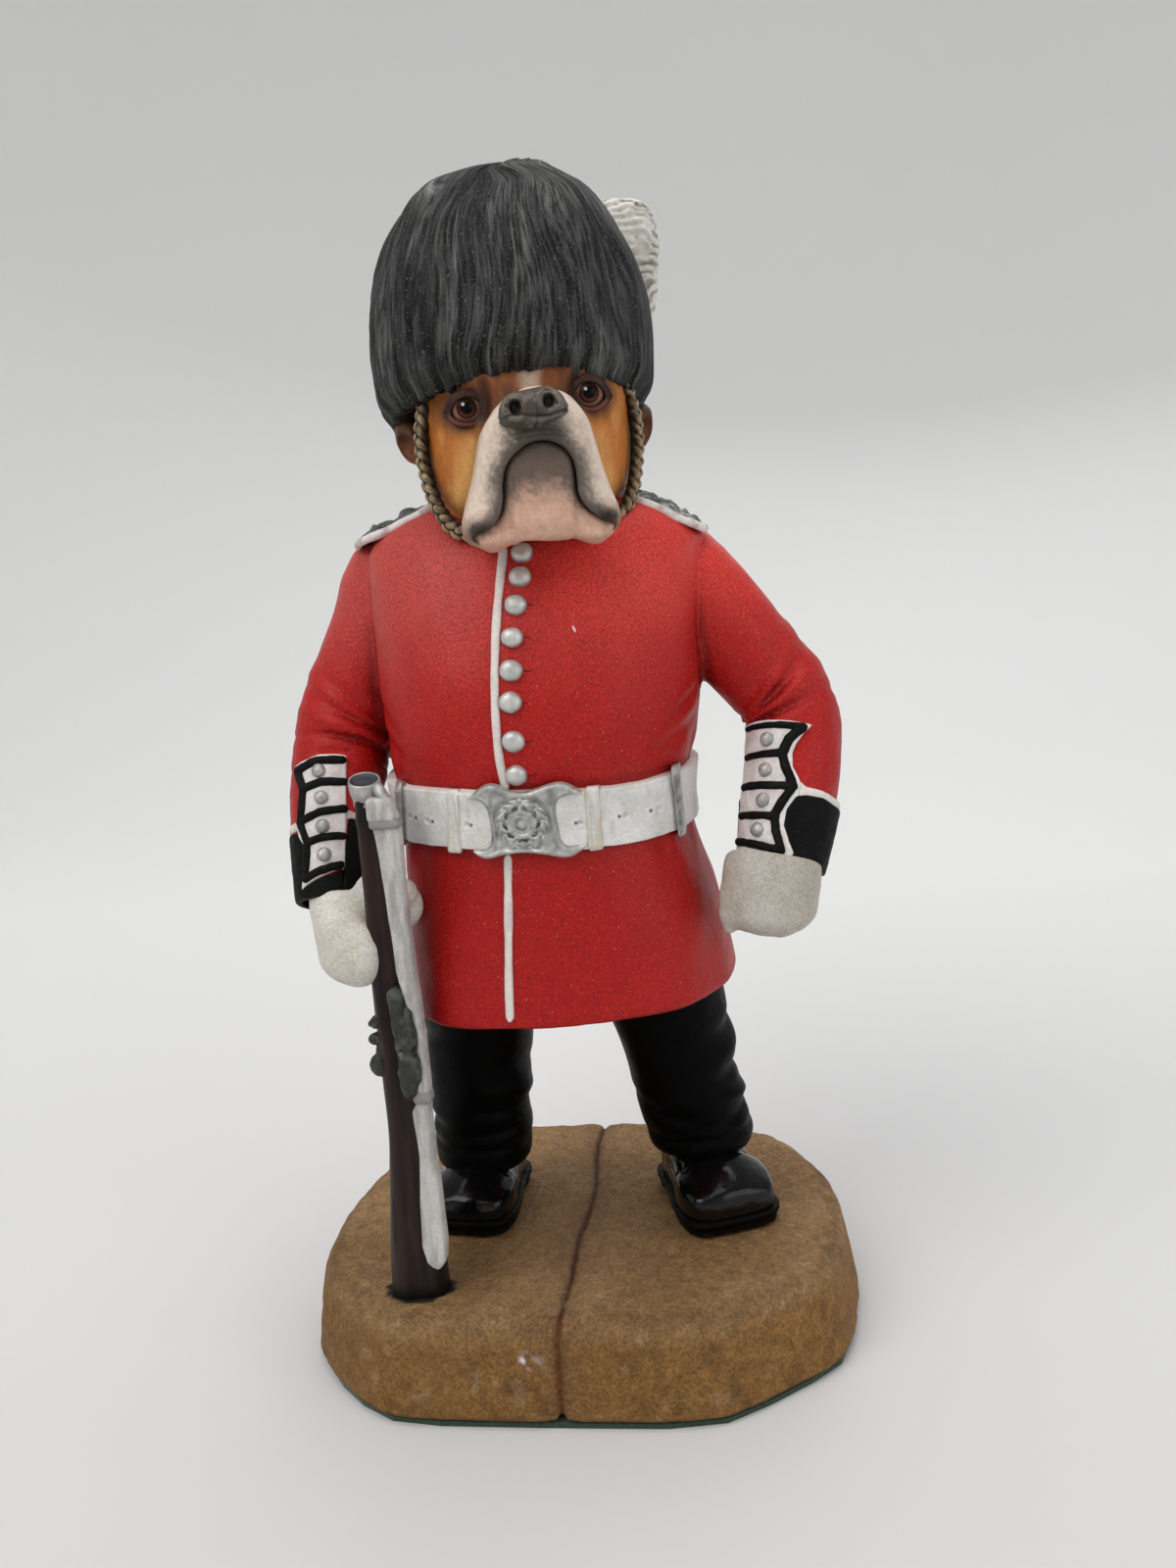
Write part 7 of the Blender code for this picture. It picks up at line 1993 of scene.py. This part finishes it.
def build_bearskin():
    cols, rows = 470, 196
    th = np.linspace(0, 2 * math.pi, cols, endpoint=False)       # 0 in front, dog's left positive
    line = catmull(CAP[:, ::-1], 400)                            # radius, height from the foot to the crown
    t = np.linspace(0, 1, rows)
    T, H = np.meshgrid(th, t, indexing='ij')
    # where each lock starts: on the slanting rim
    cu0, sv0 = np.sin(th), -np.cos(th)
    rim_w = 127.8 - 0.247 * (0.6 + 17.4 * sv0)
    # locks: warped angle so that hair runs down in waves from the crown
    lift = H
    warp = 0.105 * noise(np.cos(T) * 3.4, np.sin(T) * 3.4, H * 3.6, 301) + 0.33 * smooth(0.55, 0.95, H) * noise(
        np.cos(T) * 2.0, np.sin(T) * 2.0, H * 6.0, 302)
    W = T + warp + 0.22 * smooth(0.7, 1.0, H) * (1 - H)
    cw, sw = np.cos(W), np.sin(W)
    lock = fbm(cw * 6.0, sw * 6.0, H * 1.3, 2, 303)
    strand = noise(cw * 17, sw * 17, H * 2.4, 304)
    fine = noise(cw * 40, sw * 40, H * 4.0, 305)
    tuft = fbm(cw * 2.2, sw * 2.2, H * 2.6, 2, 306) * smooth(0.35, 0.8, H)
    comb = 1 - 2.4 * np.abs(noise(cw * 27, sw * 27, H * 1.1, 309))
    sheen_streaks = noise(cw * 9, sw * 9, H * 0.9, 310)
    ridge = 0.42 * lock + 0.30 * (1 - 2 * np.abs(strand)) + 0.13 * fine + 0.30 * comb * np.exp(-(H / 0.17) ** 2)
    out = 0.78 * ridge + 0.95 * tuft * smooth(1.0, 0.9, H)
    # sheets of hair: each row of the profile between the rim and the crown
    run = np.linspace(0, 1, 400)
    r0 = np.interp(rim_w, line[:, 1], run)                       # where the rim cuts the profile
    P = r0[:, None] + (1 - r0[:, None]) * H
    R = np.interp(P, run, line[:, 0])
    Z = np.interp(P, run, line[:, 1])
    jag = 0.45 * noise(np.cos(th) * 15, np.sin(th) * 15, 0.5, 307) + 0.35 * noise(np.cos(th) * 5, np.sin(th) * 5, 0.2, 308)
    jag = jag - 0.3 * comb[:, 0]
    Z = Z + jag[:, None] * np.exp(-(H / 0.035) ** 2)
    curl = np.exp(-(H / 0.045) ** 2)
    R = R - 1.35 * curl + out * (0.75 + 0.25 * smooth(0, 0.1, H)) * smooth(1.005, 0.93, H)
    Z = Z + 0.55 * tuft * smooth(0.86, 0.99, H)
    U = -0.8 + R * np.sin(T)
    V = 0.6 - R * 1.015 * np.cos(T)
    U = U + 2.4 * smooth(0.80, 1.0, H)                            # the crown's whorl sits off the middle
    grid = np.stack([U, V, Z], -1)                               # cols x rows
    # turned-in foot
    foot = []
    for k, (dr, dz) in enumerate(((-1.0, -0.15), (-2.2, 0.25), (-3.6, 0.9), (-5.0, 1.6))):
        rr = R[:, 0] + dr
        foot.append(np.stack([-0.8 + rr * np.sin(th), 0.6 - rr * 1.015 * np.cos(th), Z[:, 0] + dz], -1))
    grid = np.concatenate([np.stack(foot[::-1], 1), grid], 1)    # cols x (rows + 4)
    grid = np.swapaxes(grid, 0, 1)
    v, f = capped(grid)
    hi = np.concatenate([np.zeros((4, cols)), ridge.T], 0).ravel()
    hh = np.concatenate([np.zeros((4, cols)), H.T], 0).ravel()
    fn = np.concatenate([np.zeros((4, cols)), fine.T], 0).ravel()
    tf = np.concatenate([np.zeros((4, cols)), tuft.T], 0).ravel()
    sp = np.concatenate([np.zeros((4, cols)), sheen_streaks.T], 0).ravel()
    hi, hh, fn, tf, sp = (np.r_[a, 0.0, 0.2] for a in (hi, hh, fn, tf, sp))
    # painted light and shade on the fur: raised locks, strands and tufts lighter and the troughs darker, painted
    # highlights on the crown's ridges, painted sheen streaks, and painted shade at the turned-in rim
    col = mix(tones(len(v), srgb(32, 33, 33)), srgb(64, 65, 64), smooth(-0.15, 0.75, hi))
    col = mix(col, srgb(11, 12, 12), 0.9 * smooth(-0.05, -0.6, hi))
    col = mix(col, srgb(100, 100, 98), 0.4 * smooth(0.35, 0.9, hi) * smooth(-0.2, 0.6, fn))
    col = mix(col, srgb(88, 88, 86), 0.34 * smooth(0.05, 0.6, tf))
    col = mix(col, srgb(14, 15, 15), 0.5 * smooth(-0.05, -0.5, tf))
    col = mix(col, srgb(112, 112, 110), 0.5 * smooth(0.2, 0.8, hi) * smooth(0.62, 0.9, hh))
    col = mix(col, srgb(22, 23, 23), 0.6 * smooth(0.03, 0.0, hh))
    col = col * (1 + 0.24 * np.clip(sp, -1, 1) + 0.4 * np.clip(tf, -1, 1))[:, None]
    flow = np.stack([np.concatenate([np.repeat(cw[:, :1].T, 4, 0), cw.T], 0).ravel() * 18.0,
                     np.concatenate([np.repeat(sw[:, :1].T, 4, 0), sw.T], 0).ravel() * 18.0,
                     np.concatenate([np.zeros((4, cols)), H.T * 4.5], 0).ravel()], 1)
    flow = np.vstack([flow, flow[:1], flow[-1:]])
    obj = piece("bearskin_cap_fur", v, f, FUR, ("bearskin_cap",), col, matrix=HEAD)
    at = obj.data.attributes.new("flow", 'FLOAT_VECTOR', 'POINT')
    at.data.foreach_set("vector", np.asarray(flow, F4).ravel())


def fur_material():
    """Painted hair: fine strands follow the 'flow' laid over the cap."""
    m = bpy.data.materials.new("bearskin_hair")
    m.use_nodes = True
    nt = m.node_tree
    new, link = nt.nodes.new, nt.links.new
    bsdf = nt.nodes['Principled BSDF']
    bsdf.inputs['Specular IOR Level'].default_value = 0.22
    flow = new('ShaderNodeAttribute')
    flow.attribute_name = "flow"
    place = new('ShaderNodeTexCoord')
    tone = new('ShaderNodeAttribute')
    tone.attribute_name = "tone"

    def cloud(source, scale, detail):
        n = new('ShaderNodeTexNoise')
        n.inputs['Scale'].default_value = scale
        n.inputs['Detail'].default_value = detail
        n.inputs['Roughness'].default_value = 0.6
        link(source, n.inputs['Vector'])
        return n.outputs['Fac']

    def ramp(fac, a0, a1, b0, b1):
        r = new('ShaderNodeMapRange')
        r.inputs['From Min'].default_value = a0
        r.inputs['From Max'].default_value = a1
        r.inputs['To Min'].default_value = b0
        r.inputs['To Max'].default_value = b1
        link(fac, r.inputs['Value'])
        return r.outputs['Result']
    hair = cloud(flow.outputs['Vector'], 1.9, 3.0)
    wide = cloud(flow.outputs['Vector'], 0.55, 2.0)
    mul = new('ShaderNodeMix')
    mul.data_type = 'RGBA'
    mul.blend_type = 'MULTIPLY'
    mul.inputs[0].default_value = 1.0
    link(tone.outputs['Color'], mul.inputs[6])
    link(ramp(hair, 0.39, 0.61, 0.12, 2.1), mul.inputs[7])
    again = new('ShaderNodeMix')
    again.data_type = 'RGBA'
    again.blend_type = 'MULTIPLY'
    again.inputs[0].default_value = 1.0
    link(mul.outputs[2], again.inputs[6])
    link(ramp(wide, 0.34, 0.66, 0.45, 1.5), again.inputs[7])
    # a light dusting of specks on the fur
    speck_mix = new('ShaderNodeMix')
    speck_mix.data_type = 'RGBA'
    link(ramp(cloud(place.outputs['Object'], 3900.0, 1.0), 0.63, 0.71, 0.0, 0.45), speck_mix.inputs[0])
    link(again.outputs[2], speck_mix.inputs[6])
    speck_mix.inputs[7].default_value = (0.22, 0.22, 0.21, 1.0)
    link(speck_mix.outputs[2], bsdf.inputs['Base Color'])
    link(ramp(hair, 0.3, 0.7, 0.48, 0.66), bsdf.inputs['Roughness'])
    b = new('ShaderNodeBump')
    b.inputs['Strength'].default_value = 1.0
    b.inputs['Distance'].default_value = 0.55 * MM
    link(hair, b.inputs['Height'])
    c = new('ShaderNodeBump')
    c.inputs['Distance'].default_value = 0.06 * MM
    link(cloud(place.outputs['Object'], 2600.0, 2.0), c.inputs['Height'])
    link(b.outputs['Normal'], c.inputs['Normal'])
    link(c.outputs['Normal'], bsdf.inputs['Normal'])
    return m


FUR = fur_material()
build_bearskin()


def build_plume():
    blk = Block((10.8, -0.6, 138.6), (22.2, 12.6, 157.6), 0.22)
    u, v, w = blk.x, blk.y, blk.z
    tip = np.interp(blk.ax[2], [138, 140.2, 142.5, 144.5, 147, 149, 151, 153.2, 154.3, 155.5],
                    [17.6, 18.7, 19.5, 19.35, 19.8, 20.0, 19.6, 19.1, 18.4, 16.5]).astype(F4)[None, None, :]
    half = np.interp(blk.ax[2], [139, 141, 145, 150, 154, 156], [1.2, 2.6, 3.6, 4.3, 3.9, 2.6]).astype(F4)[None, None, :]
    d = smax(np.abs(v - 6.0) - half, u - tip, 2.6)
    d = smax(smax(d, w - F4(154.6), 1.4), F4(139.2) - w, 1.2)
    wave = 1.1 * noise(u / 1.6, v / 1.9, w / 1.6, 321)
    rib = np.abs(np.sin((w + wave - 0.05 * (v - 6) ** 2) * 2.5))
    d = d + 0.42 * (1 - rib) - 0.25 + 0.16 * fbm(u / 0.9, v / 0.9, w / 0.7, 2, 322)
    d = smax(d, F4(12.0) - u, 0.4)
    d = blk.full(d)
    p, f = blk.skin(d, 2)
    o = open_share(blk, d, p, 0.45)
    col = mix(tones(len(p), srgb(226, 224, 216)), srgb(204, 200, 190), smooth(-0.3, 0.8, fbm(p[:, 0], p[:, 1], p[:, 2], 2, 323)))
    # painted shade between the tufts
    col = mix(col, srgb(142, 138, 124), 0.85 * smooth(0.95, 0.5, o))
    piece("plume_tufts", p, f, PLUME_WHITE, ("plume",), col, matrix=HEAD)


def build_chain():
    half = [(12.5, -6.9, 132.0), (13.0, -7.8, 129.5), (13.55, -8.7, 126.8), (13.65, -8.9, 124.3), (13.45, -9.3, 121.8),
            (12.95, -10.0, 119.2), (12.1, -11.0, 116.7), (10.6, -12.4, 114.6), (8.2, -13.6, 113.8), (4.6, -14.0, 113.7)]
    route = [(-a - 0.0, b, c - 0.25) for a, b, c in half] + [(0.0, -14.1, 113.7)] + half[::-1]
    n = 560
    path = catmull(route, n)
    centre = np.array([0.0, -4.0, 121.0])
    t = np.gradient(path, axis=0)
    t /= np.linalg.norm(t, axis=1)[:, None]
    outv = path - centre
    outv -= t * (outv * t).sum(1)[:, None]
    outv /= np.linalg.norm(outv, axis=1)[:, None]
    side = np.cross(t, outv)
    run = np.r_[0, np.cumsum(np.linalg.norm(np.diff(path, axis=0), axis=1))]
    parts, cols = [], []
    for k in range(3):
        ph = 2 * math.pi * (run / 4.4 + k / 3.0)
        a = 0.74 * np.sin(ph) * (1 + 0.06 * noise(run / 2.0, k * 3.1, 0, 331))
        b = 0.34 * np.sin(2 * ph)
        line = path + side * a[:, None] + outv * b[:, None]
        fat = 0.46 * (1 + 0.10 * noise(run / 1.3, k * 5.0, 0, 332))
        v, f = sweep(line, circle(1.0, 12), fat, hint=outv[0])
        parts.append((v, f))
        i = np.r_[np.repeat(np.arange(n), 12), 0, n - 1]
        rise = ((v - path[i]) * outv[i]).sum(1)
        twist = fbm(v[:, 0] / 0.5, v[:, 1] / 0.5, v[:, 2] / 0.5, 2, 333)
        # painted highlight on each strand's outer side and painted shade on its inner side
        c = mix(tones(len(v), srgb(104, 84, 57)), srgb(170, 148, 112), smooth(0.3, 0.9, rise + 0.4 * twist))
        c = mix(c, srgb(28, 20, 13), smooth(0.32, -0.05, rise + 0.25 * twist))
        cols.append(c)
    # a dark core tube that stands for the shade in the gaps between the strands
    v, f = sweep(path - outv * 0.15, circle(0.8, 10), np.ones(n), hint=outv[0])
    parts.append((v, f))
    cols.append(tones(len(v), srgb(26, 20, 14)))
    v, f = join(parts)
    piece("chin_chain_braid", v, f, BRAID, ("chin_chain",), np.vstack(cols), matrix=HEAD)


build_plume()
build_chain()


# ------------------------------------------------------- studio and camera
def studio():
    scene = bpy.context.scene
    flat, fillet, top = 0.42, 0.55, 1.25
    prof = [(r, 0.0) for r in np.linspace(0.0, flat, 6)[1:]]
    for a in np.linspace(0, math.pi / 2, 18)[1:]:
        prof.append((flat + fillet * math.sin(a), fillet * (1 - math.cos(a))))
    prof.append((flat + fillet, top))
    seg = 96
    ang = np.linspace(0, 2 * math.pi, seg, endpoint=False)
    verts = [(0, 0, 0)] + [(r * math.cos(t), r * math.sin(t), z) for r, z in prof for t in ang]
    faces = [(0, 1 + i, 1 + (i + 1) % seg) for i in range(seg)]
    for k in range(len(prof) - 1):
        a = 1 + k * seg
        for i in range(seg):
            j = (i + 1) % seg
            faces.append((a + i, a + seg + i, a + seg + j, a + j))
    me = bpy.data.meshes.new("sweep_floor")
    me.from_pydata(verts, [], faces)
    me.update()
    me.shade_smooth()
    floor = bpy.data.objects.new("sweep_floor", me)
    scene.collection.objects.link(floor)
    m = bpy.data.materials.new("paper")
    m.use_nodes = True
    nt = m.node_tree
    new, link = nt.nodes.new, nt.links.new
    bsdf = nt.nodes['Principled BSDF']
    bsdf.inputs['Roughness'].default_value = 0.85
    bsdf.inputs['Specular IOR Level'].default_value = 0.1
    place = new('ShaderNodeTexCoord')
    n = new('ShaderNodeTexNoise')
    n.inputs['Scale'].default_value = 3.0
    link(place.outputs['Object'], n.inputs['Vector'])
    r = new('ShaderNodeValToRGB')
    r.color_ramp.elements[0].color = (0.80, 0.80, 0.80, 1)
    r.color_ramp.elements[1].color = (0.84, 0.84, 0.84, 1)
    link(n.outputs['Fac'], r.inputs['Fac'])
    cut = new('ShaderNodeSeparateXYZ')
    link(place.outputs['Object'], cut.inputs['Vector'])
    # painted light: the paper darker towards the front and lighter towards the back
    painted_falloff = new('ShaderNodeMapRange')
    painted_falloff.inputs['From Min'].default_value = -0.16
    painted_falloff.inputs['From Max'].default_value = 0.22
    painted_falloff.inputs['To Min'].default_value = 0.78
    painted_falloff.inputs['To Max'].default_value = 1.04
    link(cut.outputs['Y'], painted_falloff.inputs['Value'])
    lit_paper = new('ShaderNodeMix')
    lit_paper.data_type = 'RGBA'
    lit_paper.blend_type = 'MULTIPLY'
    lit_paper.inputs[0].default_value = 1.0
    link(r.outputs['Color'], lit_paper.inputs[6])
    link(painted_falloff.outputs['Result'], lit_paper.inputs[7])
    link(lit_paper.outputs[2], bsdf.inputs['Base Color'])
    me.materials.append(m)

    def softbox(name, place_, target, size, power, colour=(1, 1, 1)):
        la = bpy.data.lights.new(name, 'AREA')
        la.shape = 'RECTANGLE'
        la.size, la.size_y = size
        la.energy = power
        la.color = colour
        ob = bpy.data.objects.new(name, la)
        ob.location = place_
        ob.rotation_mode = 'QUATERNION'
        ob.rotation_quaternion = (Vector(target) - Vector(place_)).to_track_quat('-Z', 'Y')
        ob.visible_camera = False
        scene.collection.objects.link(ob)

    softbox("key", (-0.30, -0.42, 0.62), (0, 0, 0.08), (0.55, 0.45), 2.5, (1.0, 0.985, 0.96))
    softbox("top", (0.02, 0.04, 0.80), (0, 0, 0.05), (0.60, 0.60), 2.1)
    softbox("fill", (0.48, -0.36, 0.30), (0, 0, 0.08), (0.45, 0.45), 0.85, (0.97, 0.985, 1.0))
    softbox("back", (0.10, 0.62, 0.45), (0, 0, 0.08), (0.50, 0.35), 0.75)
    world = bpy.data.worlds.new("studio")
    world.use_nodes = True
    bg = world.node_tree.nodes['Background']
    bg.inputs['Color'].default_value = (1.0, 1.0, 1.0, 1.0)
    bg.inputs['Strength'].default_value = 0.30
    scene.world = world
    scene.view_settings.view_transform = 'Standard'
    scene.view_settings.look = 'None'

    cam = bpy.data.cameras.new("camera")
    cam.lens = 32.625
    cam.sensor_width = 36.0
    cam.clip_start = 0.005
    ob = bpy.data.objects.new("camera", cam)
    right = Vector((0.9914749, 0.1062016, -0.0754896))
    up = Vector((0.0521559, 0.2074465, 0.9768550))
    back = Vector((0.1194036, -0.9724645, 0.2001390))
    turn = Matrix((right, up, back)).transposed().to_4x4()
    ob.matrix_world = Matrix.Translation((0.0285, -0.1910, 0.1174)) @ turn
    scene.collection.objects.link(ob)
    scene.camera = ob


studio()
